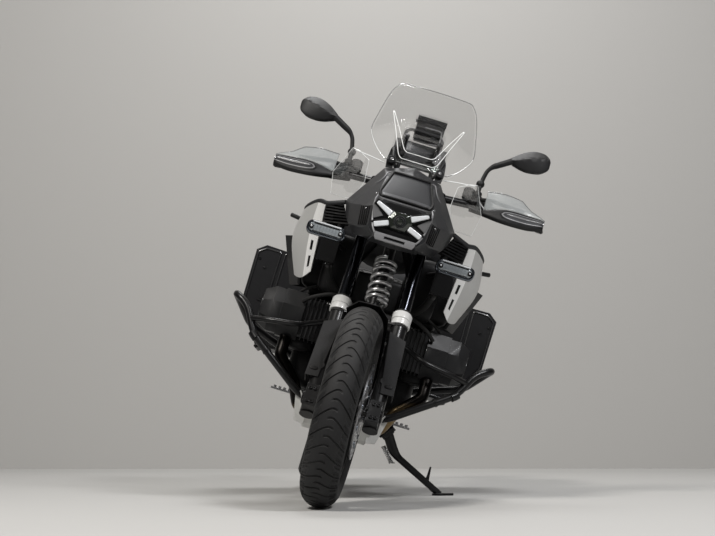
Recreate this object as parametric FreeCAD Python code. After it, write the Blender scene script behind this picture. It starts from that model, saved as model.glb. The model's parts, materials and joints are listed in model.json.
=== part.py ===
import FreeCAD, Part
import math
import os
from functools import lru_cache

# Adventure motorcycle with a flat-twin engine, parked on its side stand.
# Machine frame while modelling: +X to the rider's left, +Y to the back, +Z up,
# origin on the floor under the front axle, machine upright and steering straight.
# Steering frame: +Z up the steering axis, origin beside the front axle.
# At the end everything is leaned onto the side stand and moved so that the origin
# lies under the middle of the whole machine. Lengths are millimetres.

# Driving sizes of the rolling machine
WHEELBASE = 1518.0
FRONT_TYRE_RADIUS = 325.0
FRONT_TYRE_WIDTH = 122.0
FRONT_CROWN_RADIUS = 63.0
FRONT_RIM_RADIUS = 241.0
FRONT_BEAD_HALF_WIDTH = 38.0
REAR_TYRE_RADIUS = 318.0
REAR_TYRE_WIDTH = 170.0
REAR_CROWN_RADIUS = 95.0
REAR_RIM_RADIUS = 216.0
REAR_BEAD_HALF_WIDTH = 57.0
RAKE_DEG = 26.2
TRAIL = 112.0
LEAN_DEG = 17.0
STEER_AT_REST_DEG = -5.0

# Shared clearances and overruns
OVERRUN = 3.0
RUNNING_CLEARANCE = 0.05
SEAT_GAP = 0.3

V = FreeCAD.Vector
ORIGIN = V(0, 0, 0)
X_AXIS = V(1, 0, 0)
Y_AXIS = V(0, 1, 0)
Z_AXIS = V(0, 0, 1)
HALF = 0.5
FULL_TURN = 360.0
ROUND_SIDES = 16
RAKE = math.radians(RAKE_DEG)
STEER_OFFSET = FRONT_TYRE_RADIUS * math.sin(RAKE) - TRAIL * math.cos(RAKE)
STEER_FOOT_Y = STEER_OFFSET * math.cos(RAKE)
STEER_FOOT_Z = FRONT_TYRE_RADIUS - STEER_OFFSET * math.sin(RAKE)
STEERING_FRAME = FreeCAD.Placement(
    V(0, STEER_FOOT_Y, STEER_FOOT_Z), FreeCAD.Rotation(X_AXIS, -RAKE_DEG)
)
STEERED = FreeCAD.Placement(ORIGIN, FreeCAD.Rotation(Z_AXIS, STEER_AT_REST_DEG))


# General shape helpers


def between(low, high, share):
    """The value at a share of the way from low to high."""
    return low + (high - low) * share


def unit(vector):
    """A copy of the vector with length one."""
    return vector.multiply(1.0 / vector.Length) if vector.Length else vector


def direction(start, end):
    """Unit vector from one point to another."""
    return unit(end.sub(start))


def rod(start, end, radius):
    """Round bar between two points."""
    return Part.makeCylinder(radius, end.sub(start).Length, start, direction(start, end))


def block(low, high):
    """Box from its lowest to its highest corner."""
    size = high.sub(low)
    return Part.makeBox(size.x, size.y, size.z, low)


def closed_wire(points):
    """Straight-sided closed wire."""
    return Part.makePolygon(list(points) + [points[0]])


def prism(points, sweep):
    """Flat outline pushed along a vector."""
    return Part.Face(closed_wire(points)).extrude(sweep)


def corner_cut(before, corner, after, radius):
    """Two tangent points and the middle point of the arc that rounds a corner."""
    back = direction(corner, before)
    ahead = direction(corner, after)
    half_angle = back.getAngle(ahead) / 2
    reach = radius / math.tan(half_angle)
    bisector = unit(back.add(ahead))
    middle = corner.add(bisector.multiply(radius / math.sin(half_angle) - radius))
    start = corner.add(V(back).multiply(reach))
    end = corner.add(V(ahead).multiply(reach))
    return start, middle, end


def rounded_wire(points, radius):
    """Closed outline whose corners are arcs of one radius."""
    count = len(points)
    arcs = [
        corner_cut(points[i - 1], points[i], points[(i + 1) % count], radius)
        for i in range(count)
    ]
    edges = []
    for i, (start, middle, end) in enumerate(arcs):
        edges.append(Part.Arc(start, middle, end).toShape())
        following = arcs[(i + 1) % count][0]
        if end.distanceToPoint(following) > RUNNING_CLEARANCE:
            edges.append(Part.makeLine(end, following))
    return Part.Wire(edges)


def rounded_prism(points, radius, sweep):
    """Flat outline with rounded corners, pushed along a vector."""
    return Part.Face(rounded_wire(points, radius)).extrude(sweep)


def bent_path(points, bend):
    """Open path of straight runs joined by tangent arcs."""
    edges = []
    last = points[0]
    for i in range(1, len(points) - 1):
        start, middle, end = corner_cut(points[i - 1], points[i], points[i + 1], bend)
        edges.append(Part.makeLine(last, start))
        edges.append(Part.Arc(start, middle, end).toShape())
        last = end
    edges.append(Part.makeLine(last, points[-1]))
    return Part.Wire(edges)


def bent_tube(points, radius, bend):
    """Round tube along straight runs joined by arcs."""
    path = bent_path(points, bend)
    ring = Part.Wire(Part.makeCircle(radius, points[0], direction(points[0], points[1])))
    return path.makePipeShell([ring], True, False)


def loft(wires, ruled=False):
    """Solid through a row of closed wires."""
    return Part.makeLoft(wires, True, ruled)


def round_section(centre, half_width, half_height, square, normal_is_y=True):
    """Many-sided section between an ellipse and a rectangle, across Y or across X."""
    points = []
    for i in range(ROUND_SIDES):
        turn = 2 * math.pi * (i + HALF) / ROUND_SIDES
        c, s = math.cos(turn), math.sin(turn)
        across = half_width * math.copysign(abs(c) ** (2 / square), c)
        up = half_height * math.copysign(abs(s) ** (2 / square), s)
        offset = V(across, 0, up) if normal_is_y else V(0, across, up)
        points.append(centre.add(offset))
    return closed_wire(points)


def turned(points, axis=X_AXIS, centre=ORIGIN):
    """Closed profile turned once about an axis."""
    return Part.Face(closed_wire(points)).revolve(centre, axis, FULL_TURN)


def moved(shape, offset):
    """Copy of a shape, shifted."""
    copy = shape.copy()
    copy.translate(offset)
    return copy


def rotated(shape, centre, axis, degrees):
    """Copy of a shape, turned."""
    copy = shape.copy()
    copy.rotate(centre, axis, degrees)
    return copy


def placed(shape, placement):
    """Copy of a shape, moved by a placement."""
    copy = shape.copy()
    copy.Placement = placement.multiply(copy.Placement)
    return copy


def from_steering(shape):
    """Steering-frame shape seen from the machine, with the steering straight."""
    return placed(shape, STEERING_FRAME)


def mirrored(shape):
    """Copy on the other side of the machine's centre plane."""
    return shape.mirror(ORIGIN, X_AXIS)


def pair(shape):
    """A left-hand shape and its mirror image, as two solids."""
    return Part.makeCompound([shape, mirrored(shape)])


def fused(shapes):
    """One solid out of several that meet."""
    first = shapes[0]
    return first.multiFuse(shapes[1:]).removeSplitter() if len(shapes) > 1 else first


def spread(shares, low, high):
    """Points given as shares of the way from one corner to the other."""
    return [
        V(between(low.x, high.x, a), between(low.y, high.y, b), between(low.z, high.z, c))
        for a, b, c in shares
    ]


# Wheels: turned about X through the origin, then moved to the axle

RIM_FLANGE_HEIGHT = 13.0
RIM_FLANGE_THICKNESS = 6.0
RIM_WALL = 7.0
RIM_WELL_DEPTH = 20.0
RIM_WELL_SHARE = 0.55
TYRE_SIDE_BULGE = 2.0
TYRE_CROWN_STEPS = 8


def tyre(radius, width, crown, rim_radius, bead_half_width):
    """Tyre: round crown, slightly bulging side walls and a foot that hugs the rim flange."""
    half = width * HALF
    crown_angle = math.asin(half / crown)
    ring = radius - crown
    shoulder = V(half, 0, ring + crown * math.cos(crown_angle))
    flange_top = rim_radius + RIM_FLANGE_HEIGHT
    flange_out = bead_half_width + RIM_FLANGE_THICKNESS
    low = V(flange_out, 0, flange_top)
    step = V(bead_half_width, 0, flange_top)
    foot = V(bead_half_width, 0, rim_radius)
    right = [V(half - TYRE_SIDE_BULGE, 0, between(low.z, shoulder.z, HALF)), low, step, foot]
    crown_points = []
    for i in range(TYRE_CROWN_STEPS + 1):
        angle = between(-crown_angle, crown_angle, i / TYRE_CROWN_STEPS)
        crown_points.append(V(crown * math.sin(angle), 0, ring + crown * math.cos(angle)))
    left = [V(-p.x, 0, p.z) for p in reversed(right)]
    return turned(crown_points + right + left)


def rim_barrel(rim_radius, bead_half_width):
    """Rim: two flanges, bead seats and a sunk well, as one turned wall."""
    well = bead_half_width * RIM_WELL_SHARE
    out = bead_half_width + RIM_FLANGE_THICKNESS
    right = [
        (bead_half_width, rim_radius),
        (bead_half_width, rim_radius + RIM_FLANGE_HEIGHT),
        (out, rim_radius + RIM_FLANGE_HEIGHT),
        (out, rim_radius - RIM_WALL),
        (well, rim_radius - RIM_WELL_DEPTH - RIM_WALL),
    ]
    left = [(-x, r) for x, r in reversed(right)]
    outer = [
        (-bead_half_width + RIM_FLANGE_THICKNESS, rim_radius - SEAT_GAP),
        (-well, rim_radius - RIM_WELL_DEPTH),
        (well, rim_radius - RIM_WELL_DEPTH),
        (bead_half_width - RIM_FLANGE_THICKNESS, rim_radius - SEAT_GAP),
    ]
    return turned([V(x, 0, r) for x, r in right + left + outer])


SPOKE_PAIRS = 5
SPOKE_RIM_WIDTH = 17.0
SPOKE_HUB_WIDTH = 24.0
SPOKE_SPREAD_DEG = 13.0
SPOKE_THICKNESS = 26.0


def spokes(hub_radius, rim_radius, centre_x):
    """Five forked pairs of tapered spokes from the hub to the rim well."""
    reach = rim_radius - RIM_WELL_DEPTH - RIM_WALL * HALF
    root = hub_radius * HALF
    bars = []
    for i in range(SPOKE_PAIRS):
        for side in (-1, 1):
            lean = math.radians(side * SPOKE_SPREAD_DEG)
            tip = (reach * math.sin(lean), reach * math.cos(lean))
            shape = prism(
                [
                    V(0, -SPOKE_HUB_WIDTH * HALF, root),
                    V(0, SPOKE_HUB_WIDTH * HALF, root),
                    V(0, tip[0] + SPOKE_RIM_WIDTH * HALF, tip[1]),
                    V(0, tip[0] - SPOKE_RIM_WIDTH * HALF, tip[1]),
                ],
                V(SPOKE_THICKNESS, 0, 0),
            )
            shape.translate(V(centre_x - SPOKE_THICKNESS * HALF, 0, 0))
            bars.append(rotated(shape, ORIGIN, X_AXIS, FULL_TURN * i / SPOKE_PAIRS))
    return bars


FRONT_AXLE_RADIUS = 12.0
FRONT_AXLE_BORE = 8.0
FRONT_HUB_RADIUS = 34.0
FRONT_HUB_HALF_LENGTH = 52.0
DISC_RADIUS = 155.0
DISC_INNER_RADIUS = 119.0
DISC_THICKNESS = 5.0
DISC_CENTRE_X = 64.0
DISC_CARRIER_RADIUS = 44.0
DISC_WINDOW_RADIUS = 21.0
DISC_WINDOWS = 6


def front_wheel_rim():
    """Front wheel without its tyre."""
    hub = Part.makeCylinder(
        FRONT_HUB_RADIUS,
        2 * FRONT_HUB_HALF_LENGTH,
        V(-FRONT_HUB_HALF_LENGTH, 0, 0),
        X_AXIS,
    )
    solid = fused(
        [rim_barrel(FRONT_RIM_RADIUS, FRONT_BEAD_HALF_WIDTH), hub]
        + spokes(FRONT_HUB_RADIUS, FRONT_RIM_RADIUS, 0)
    )
    bore = Part.makeCylinder(
        FRONT_AXLE_RADIUS + RUNNING_CLEARANCE,
        2 * (FRONT_HUB_HALF_LENGTH + OVERRUN),
        V(-FRONT_HUB_HALF_LENGTH - OVERRUN, 0, 0),
        X_AXIS,
    )
    return solid.cut(bore)


def brake_disc(outer, inner, carrier_inner, thickness, x):
    """Brake disc with its windowed carrier, centred on one plane."""
    start = V(x - thickness * HALF, 0, 0)
    plate = Part.makeCylinder(outer, thickness, start, X_AXIS)
    hole = Part.makeCylinder(carrier_inner, thickness, start, X_AXIS)
    plate = plate.cut(hole)
    middle = between(carrier_inner, inner, HALF)
    for i in range(DISC_WINDOWS):
        turn = 2 * math.pi * i / DISC_WINDOWS
        centre = V(start.x - OVERRUN, middle * math.sin(turn), middle * math.cos(turn))
        window = Part.makeCylinder(
            min(DISC_WINDOW_RADIUS, (inner - carrier_inner) * HALF - OVERRUN),
            thickness + 2 * OVERRUN,
            centre,
            X_AXIS,
        )
        plate = plate.cut(window)
    return plate


def front_discs():
    """Two front brake discs, each with a boss that seats on the hub's end."""
    plate = brake_disc(
        DISC_RADIUS, DISC_INNER_RADIUS, FRONT_HUB_RADIUS * HALF, DISC_THICKNESS, DISC_CENTRE_X
    )
    boss = Part.makeCylinder(
        DISC_CARRIER_RADIUS,
        DISC_CENTRE_X - DISC_THICKNESS * HALF - FRONT_HUB_HALF_LENGTH,
        V(FRONT_HUB_HALF_LENGTH, 0, 0),
        X_AXIS,
    )
    bore = Part.makeCylinder(
        FRONT_AXLE_RADIUS + RUNNING_CLEARANCE,
        DISC_CENTRE_X,
        V(FRONT_HUB_HALF_LENGTH - OVERRUN, 0, 0),
        X_AXIS,
    )
    return pair(plate.fuse(boss).cut(bore).removeSplitter())


REAR_HUB_RADIUS = 56.0
REAR_HUB_LEFT = 26.0
REAR_HUB_RIGHT = 46.0
REAR_HUB_BORE_RADIUS = 24.0
REAR_SPOKE_X = -14.0
REAR_DISC_RADIUS = 142.0
REAR_DISC_INNER_RADIUS = 108.0
REAR_DISC_THICKNESS = 5.0


def rear_wheel_rim():
    """Rear wheel without its tyre: an open-centred hub carried from the left only."""
    hub = Part.makeCylinder(
        REAR_HUB_RADIUS, REAR_HUB_LEFT + REAR_HUB_RIGHT, V(-REAR_HUB_RIGHT, 0, 0), X_AXIS
    )
    solid = fused(
        [rim_barrel(REAR_RIM_RADIUS, REAR_BEAD_HALF_WIDTH), hub]
        + spokes(REAR_HUB_RADIUS, REAR_RIM_RADIUS, REAR_SPOKE_X)
    )
    bore = Part.makeCylinder(
        REAR_HUB_BORE_RADIUS + RUNNING_CLEARANCE,
        REAR_HUB_LEFT + REAR_HUB_RIGHT + 2 * OVERRUN,
        V(-REAR_HUB_RIGHT - OVERRUN, 0, 0),
        X_AXIS,
    )
    return solid.cut(bore)


def rear_disc():
    """Rear brake disc on the left end of the hub."""
    x = REAR_HUB_LEFT + REAR_DISC_THICKNESS * HALF
    return brake_disc(
        REAR_DISC_RADIUS,
        REAR_DISC_INNER_RADIUS,
        REAR_HUB_BORE_RADIUS + RUNNING_CLEARANCE,
        REAR_DISC_THICKNESS,
        x,
    )


# Front end, in the steering frame

FORK_HALF_SPACING = 103.0
FORK_OFFSET = -10.0
SLIDER_RADIUS = 26.0
SLIDER_BOTTOM = -42.0
COLLAR_BOTTOM = 352.0
COLLAR_TOP = 404.0
COLLAR_RADIUS = 33.0
COLLAR_STEP = 2.5
FORK_TUBE_RADIUS = 21.0
TOP_BRIDGE_BOTTOM = 878.0
TOP_BRIDGE_THICKNESS = 22.0
TOP_BRIDGE_REACH = 30.0
LOWER_BRIDGE_BOTTOM = 346.0
LOWER_BRIDGE_THICKNESS = 28.0
LOWER_BRIDGE_DEPTH = 44.0
AXLE_CLAMP_HALF_WIDTH = 21.0
AXLE_CLAMP_HALF_HEIGHT = 38.0
AXLE_CLAMP_FRONT = 30.0
STEERING_PIN_RADIUS = 14.0
STEERING_PIN_LENGTH = 44.0
BALL_STUD_RADIUS = 10.0
BALL_STUD_LENGTH = 34.0


@lru_cache(None)
def fork_lower():
    """Lower fork legs with axle clamps, hollow axle, the bridge between them and its ball stud."""
    leg = Part.makeCylinder(
        SLIDER_RADIUS,
        COLLAR_BOTTOM - SLIDER_BOTTOM,
        V(FORK_HALF_SPACING, FORK_OFFSET, SLIDER_BOTTOM),
        Z_AXIS,
    )
    clamp = block(
        V(
            FORK_HALF_SPACING - AXLE_CLAMP_HALF_WIDTH,
            -STEER_OFFSET - AXLE_CLAMP_FRONT,
            -AXLE_CLAMP_HALF_HEIGHT,
        ),
        V(FORK_HALF_SPACING + AXLE_CLAMP_HALF_WIDTH, FORK_OFFSET, AXLE_CLAMP_HALF_HEIGHT),
    )
    bridge = block(
        V(-FORK_HALF_SPACING, FORK_OFFSET - LOWER_BRIDGE_DEPTH * HALF, LOWER_BRIDGE_BOTTOM),
        V(
            FORK_HALF_SPACING,
            FORK_OFFSET + LOWER_BRIDGE_DEPTH * HALF,
            COLLAR_BOTTOM,
        ),
    )
    saddle = block(
        V(
            -FORK_HALF_SPACING + COLLAR_RADIUS + OVERRUN,
            FORK_OFFSET - LOWER_BRIDGE_DEPTH * HALF,
            LOWER_BRIDGE_BOTTOM,
        ),
        V(
            FORK_HALF_SPACING - COLLAR_RADIUS - OVERRUN,
            FORK_OFFSET + LOWER_BRIDGE_DEPTH * HALF,
            LOWER_BRIDGE_BOTTOM + LOWER_BRIDGE_THICKNESS,
        ),
    )
    stud = Part.makeCylinder(
        BALL_STUD_RADIUS,
        BALL_STUD_LENGTH + OVERRUN,
        V(0, 0, LOWER_BRIDGE_BOTTOM + LOWER_BRIDGE_THICKNESS - OVERRUN),
        Z_AXIS,
    )
    half_axle = FORK_HALF_SPACING + AXLE_CLAMP_HALF_WIDTH + OVERRUN
    axle = Part.makeCylinder(
        FRONT_AXLE_RADIUS, 2 * half_axle, V(-half_axle, -STEER_OFFSET, 0), X_AXIS
    )
    bore = Part.makeCylinder(
        FRONT_AXLE_BORE, 2 * (half_axle + OVERRUN), V(-half_axle - OVERRUN, -STEER_OFFSET, 0), X_AXIS
    )
    solid = fused([leg, clamp, mirrored(leg), mirrored(clamp), bridge, saddle, stud, axle])
    return solid.cut(bore)


def fork_collars():
    """Stepped bright collars on top of the lower legs."""
    foot = V(FORK_HALF_SPACING, FORK_OFFSET, COLLAR_BOTTOM)
    step_height = (COLLAR_TOP - COLLAR_BOTTOM) * HALF
    lower = Part.makeCylinder(COLLAR_RADIUS, step_height, foot, Z_AXIS)
    upper = Part.makeCylinder(
        COLLAR_RADIUS - COLLAR_STEP, step_height, foot.add(V(0, 0, step_height)), Z_AXIS
    )
    return pair(lower.fuse(upper).removeSplitter())


def fork_upper():
    """Upper fork tubes under the top bridge, with the steering pin below it."""
    tube = Part.makeCylinder(
        FORK_TUBE_RADIUS,
        TOP_BRIDGE_BOTTOM - COLLAR_TOP + OVERRUN,
        V(FORK_HALF_SPACING, FORK_OFFSET, COLLAR_TOP),
        Z_AXIS,
    )
    side = FORK_HALF_SPACING + TOP_BRIDGE_REACH
    front = FORK_OFFSET - TOP_BRIDGE_REACH
    back = TOP_BRIDGE_REACH * 2
    plate = rounded_prism(
        [
            V(-side, front, TOP_BRIDGE_BOTTOM),
            V(side, front, TOP_BRIDGE_BOTTOM),
            V(side, TOP_BRIDGE_REACH * HALF, TOP_BRIDGE_BOTTOM),
            V(side * HALF, back, TOP_BRIDGE_BOTTOM),
            V(-side * HALF, back, TOP_BRIDGE_BOTTOM),
            V(-side, TOP_BRIDGE_REACH * HALF, TOP_BRIDGE_BOTTOM),
        ],
        TOP_BRIDGE_REACH * HALF,
        V(0, 0, TOP_BRIDGE_THICKNESS),
    )
    pin = Part.makeCylinder(
        STEERING_PIN_RADIUS,
        STEERING_PIN_LENGTH + OVERRUN,
        V(0, 0, TOP_BRIDGE_BOTTOM - STEERING_PIN_LENGTH),
        Z_AXIS,
    )
    return fused([tube, mirrored(tube), plate, pin])


MUDGUARD_GAP = 13.0
MUDGUARD_THICKNESS = 3.0
MUDGUARD_HALF_WIDTH = 69.0
MUDGUARD_FRONT_DEG = 24.0
MUDGUARD_BACK_DEG = 62.0
FORK_GUARD_BOTTOM = 84.0
FORK_GUARD_TOP = 312.0
FORK_GUARD_THICKNESS = 4.0
FORK_GUARD_TOP_INNER = 80.0
FORK_GUARD_TOP_OUTER = 138.0
FORK_GUARD_LOW_INNER = 104.0
FORK_GUARD_LOW_OUTER = 146.0
FORK_GUARD_SIDE_DEPTH = 46.0
FORK_GUARD_PAD_SHARES = (0.2, 0.8)


def mudguard():
    """Arched front mudguard, with bosses up to the lower bridge."""
    inner = FRONT_TYRE_RADIUS + MUDGUARD_GAP
    outer = inner + MUDGUARD_THICKNESS
    half = MUDGUARD_HALF_WIDTH
    drop = FRONT_CROWN_RADIUS * HALF
    low = inner - drop
    profile = [
        V(-half, 0, low),
        V(-half * HALF, 0, inner),
        V(half * HALF, 0, inner),
        V(half, 0, low),
        V(half, 0, low + MUDGUARD_THICKNESS),
        V(half * HALF, 0, outer),
        V(-half * HALF, 0, outer),
        V(-half, 0, low + MUDGUARD_THICKNESS),
    ]
    sweep = MUDGUARD_FRONT_DEG + MUDGUARD_BACK_DEG
    arch = Part.Face(closed_wire(profile)).revolve(ORIGIN, X_AXIS, sweep)
    arch.rotate(ORIGIN, X_AXIS, -MUDGUARD_BACK_DEG)
    arch.translate(V(0, -STEER_OFFSET, 0))
    boss_half = LOWER_BRIDGE_DEPTH * HALF * HALF
    boss = block(
        V(-half * HALF, FORK_OFFSET - boss_half, inner - drop),
        V(half * HALF, FORK_OFFSET + boss_half, LOWER_BRIDGE_BOTTOM),
    )
    room = Part.makeCylinder(
        inner + MUDGUARD_THICKNESS * HALF, 2 * half, V(-half, -STEER_OFFSET, 0), X_AXIS
    )
    return arch.fuse(boss.cut(room)).removeSplitter()


def fork_guards():
    """Flat dark shields in front of the lower legs, each with a side wall back to its leg."""
    face_y = FORK_OFFSET - SLIDER_RADIUS - FORK_GUARD_THICKNESS
    top_edge = FORK_GUARD_TOP - FORK_GUARD_SIDE_DEPTH * HALF
    back_y = face_y + FORK_GUARD_SIDE_DEPTH
    guard = folded_sheet(
        [
            [
                V(FORK_GUARD_TOP_INNER, face_y, FORK_GUARD_TOP),
                V(FORK_GUARD_LOW_INNER, face_y, FORK_GUARD_BOTTOM),
            ],
            [V(FORK_GUARD_TOP_OUTER, face_y, top_edge), V(FORK_GUARD_LOW_OUTER, face_y, FORK_GUARD_BOTTOM)],
            [V(FORK_GUARD_TOP_OUTER, back_y, top_edge), V(FORK_GUARD_LOW_OUTER, back_y, FORK_GUARD_BOTTOM)],
        ],
        V(-FORK_GUARD_THICKNESS, FORK_GUARD_THICKNESS, 0),
    )
    pads = [
        Part.makeCylinder(
            SLIDER_RADIUS * HALF,
            FORK_GUARD_THICKNESS + SLIDER_RADIUS,
            V(FORK_HALF_SPACING + OVERRUN, face_y, between(FORK_GUARD_BOTTOM, FORK_GUARD_TOP, share)),
            Y_AXIS,
        )
        for share in FORK_GUARD_PAD_SHARES
    ]
    return pair(fused([guard] + pads).cut(fork_lower()))


CALIPER_INNER_X = 40.0
CALIPER_OUTER_X = 92.0
CALIPER_FRONT = 20.0
CALIPER_DEPTH = 62.0
CALIPER_BOTTOM = 20.0
CALIPER_HEIGHT = 104.0
CALIPER_CHAMFER = 14.0
DISC_SLOT_CLEARANCE = 4.0


def front_calipers():
    """Radial brake calipers behind the legs, slotted for the discs and lugged to the legs."""
    front, back = CALIPER_FRONT, CALIPER_FRONT + CALIPER_DEPTH
    bottom, top = CALIPER_BOTTOM, CALIPER_BOTTOM + CALIPER_HEIGHT
    body = prism(
        [
            V(CALIPER_INNER_X, front, bottom),
            V(CALIPER_INNER_X, back - CALIPER_CHAMFER, bottom),
            V(CALIPER_INNER_X, back, bottom + CALIPER_CHAMFER),
            V(CALIPER_INNER_X, back, top - CALIPER_CHAMFER),
            V(CALIPER_INNER_X, back - CALIPER_CHAMFER, top),
            V(CALIPER_INNER_X, front, top),
        ],
        V(CALIPER_OUTER_X - CALIPER_INNER_X, 0, 0),
    )
    half_slot = DISC_THICKNESS * HALF + DISC_SLOT_CLEARANCE
    slot = Part.makeCylinder(
        DISC_RADIUS + DISC_SLOT_CLEARANCE,
        2 * half_slot,
        V(DISC_CENTRE_X - half_slot, -STEER_OFFSET, 0),
        X_AXIS,
    )
    lug = block(
        V(FORK_HALF_SPACING - SLIDER_RADIUS * HALF, FORK_OFFSET, bottom + CALIPER_CHAMFER),
        V(FORK_HALF_SPACING + SLIDER_RADIUS * HALF, back - CALIPER_CHAMFER, top - CALIPER_CHAMFER),
    )
    bridge = block(
        V(CALIPER_OUTER_X - OVERRUN, front, bottom + CALIPER_CHAMFER),
        V(FORK_HALF_SPACING, back - CALIPER_CHAMFER, top - CALIPER_CHAMFER),
    )
    return pair(fused([body, lug, bridge]).cut(slot).cut(fork_lower()))


# Handlebar and what it carries, in the steering frame

BAR_RADIUS = 14.0
BAR_CLAMP_HALF_SPACING = 52.0
BAR_CLAMP_BACK = 52.0
BAR_CLAMP_HEIGHT = 940.0
BAR_RISE = 34.0
BAR_BEND_X = 165.0
BAR_GRIP_START_X = 250.0
BAR_END_X = 424.0
BAR_END_BACK = 128.0
BAR_GRIP_BACK = 96.0
BAR_BEND_RADIUS = 60.0
RISER_HALF_WIDTH = 17.0
RISER_DEPTH = 42.0
GRIP_RADIUS = 17.5
GRIP_START_X = 292.0
SWITCH_START_X = 222.0
SWITCH_RADIUS = 27.0
BAR_WEIGHT_LENGTH = 18.0


def grip_point(x):
    """Point on the straight outer stretch of the left handlebar."""
    share = (x - BAR_GRIP_START_X) / (BAR_END_X - BAR_GRIP_START_X)
    return V(
        x, between(BAR_GRIP_BACK, BAR_END_BACK, share), BAR_CLAMP_HEIGHT + BAR_RISE
    )


@lru_cache(None)
def handlebar():
    """Bent handlebar and the two risers that clamp it to the top bridge."""
    middle = V(0, BAR_CLAMP_BACK, BAR_CLAMP_HEIGHT)
    bend = V(BAR_BEND_X * HALF + RISER_HALF_WIDTH, BAR_CLAMP_BACK, BAR_CLAMP_HEIGHT)
    left = bent_tube(
        [middle, bend, grip_point(BAR_GRIP_START_X), grip_point(BAR_END_X)],
        BAR_RADIUS,
        BAR_BEND_RADIUS,
    )
    top = BAR_CLAMP_HEIGHT + BAR_RADIUS + OVERRUN
    riser = block(
        V(
            BAR_CLAMP_HALF_SPACING - RISER_HALF_WIDTH,
            BAR_CLAMP_BACK - RISER_DEPTH * HALF,
            TOP_BRIDGE_BOTTOM + TOP_BRIDGE_THICKNESS,
        ),
        V(
            BAR_CLAMP_HALF_SPACING + RISER_HALF_WIDTH,
            BAR_CLAMP_BACK + RISER_DEPTH * HALF,
            top,
        ),
    )
    return fused([left, mirrored(left), riser, mirrored(riser)])


def grip_solids():
    """Left rubber grip around the bar and the bar-end weight."""
    grip = rod(grip_point(GRIP_START_X), grip_point(BAR_END_X), GRIP_RADIUS)
    weight = rod(
        grip_point(BAR_END_X), grip_point(BAR_END_X + BAR_WEIGHT_LENGTH), GRIP_RADIUS
    )
    bar = rod(
        grip_point(GRIP_START_X - OVERRUN), grip_point(BAR_END_X), BAR_RADIUS
    )
    return [grip.cut(bar), weight]


LEVER_PIVOT_X = 246.0
LEVER_END_X = 410.0
LEVER_AHEAD = 62.0
LEVER_RADIUS = 7.0
LEVER_BEND = 20.0
RESERVOIR_RADIUS = 21.0
RESERVOIR_HEIGHT = 34.0
RESERVOIR_X = 205.0
MIRROR_STEM_X = 236.0
MIRROR_STEM_RADIUS = 7.0
MIRROR_POST_RADIUS = 11.0
MIRROR_BALL_RADIUS = 15.0
MIRROR_BALL_RISE = 72.0
MIRROR_BALL_HEIGHT = BAR_CLAMP_HEIGHT + BAR_RISE + MIRROR_BALL_RISE
MIRROR_BACK = 60.0


@lru_cache(None)
def hand_controls():
    """Grips, switch housings, levers and fluid reservoirs on the bar."""
    housing = rod(grip_point(SWITCH_START_X), grip_point(GRIP_START_X), SWITCH_RADIUS)
    height = BAR_CLAMP_HEIGHT + BAR_RISE
    perch = V(LEVER_PIVOT_X, grip_point(LEVER_PIVOT_X).y - SWITCH_RADIUS * HALF, height)
    knuckle = V(LEVER_PIVOT_X, perch.y - LEVER_AHEAD * HALF, height)
    bend = V(GRIP_START_X, grip_point(GRIP_START_X).y - LEVER_AHEAD, height)
    tip = V(LEVER_END_X, grip_point(LEVER_END_X).y - LEVER_AHEAD, height)
    arm = rod(perch, knuckle, LEVER_RADIUS * 2)
    lever = bent_tube([knuckle, bend, tip], LEVER_RADIUS, LEVER_BEND)
    cup_foot = V(RESERVOIR_X, grip_point(RESERVOIR_X).y - SWITCH_RADIUS, height)
    neck = rod(
        cup_foot, V(SWITCH_START_X + SWITCH_RADIUS * HALF, perch.y, height), RESERVOIR_RADIUS * HALF
    )
    cup = Part.makeCylinder(RESERVOIR_RADIUS, RESERVOIR_HEIGHT, cup_foot, Z_AXIS)
    left = fused([housing, arm, lever, neck, cup] + grip_solids()).cut(handlebar())
    return pair(left)


MIRROR_INNER_X = 318.0
MIRROR_OUTER_X = 458.0
MIRROR_HEAD_BACK = 8.0
MIRROR_HEAD_RISE = 112.0
MIRROR_HEAD_HEIGHT = MIRROR_BALL_HEIGHT + MIRROR_HEAD_RISE
MIRROR_HEAD_HALF_HEIGHT = 46.0
MIRROR_HEAD_HALF_DEPTH = 24.0
MIRROR_STEM_BEND = 24.0
MIRROR_SQUARE = 2.2
MIRROR_STATION_SHARES = (
    (0.0, 0.22, 0.35, -0.30),
    (0.18, 0.62, 0.75, -0.18),
    (0.5, 0.98, 1.0, 0.0),
    (0.8, 0.86, 0.85, 0.08),
    (1.0, 0.38, 0.4, 0.05),
)


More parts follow.
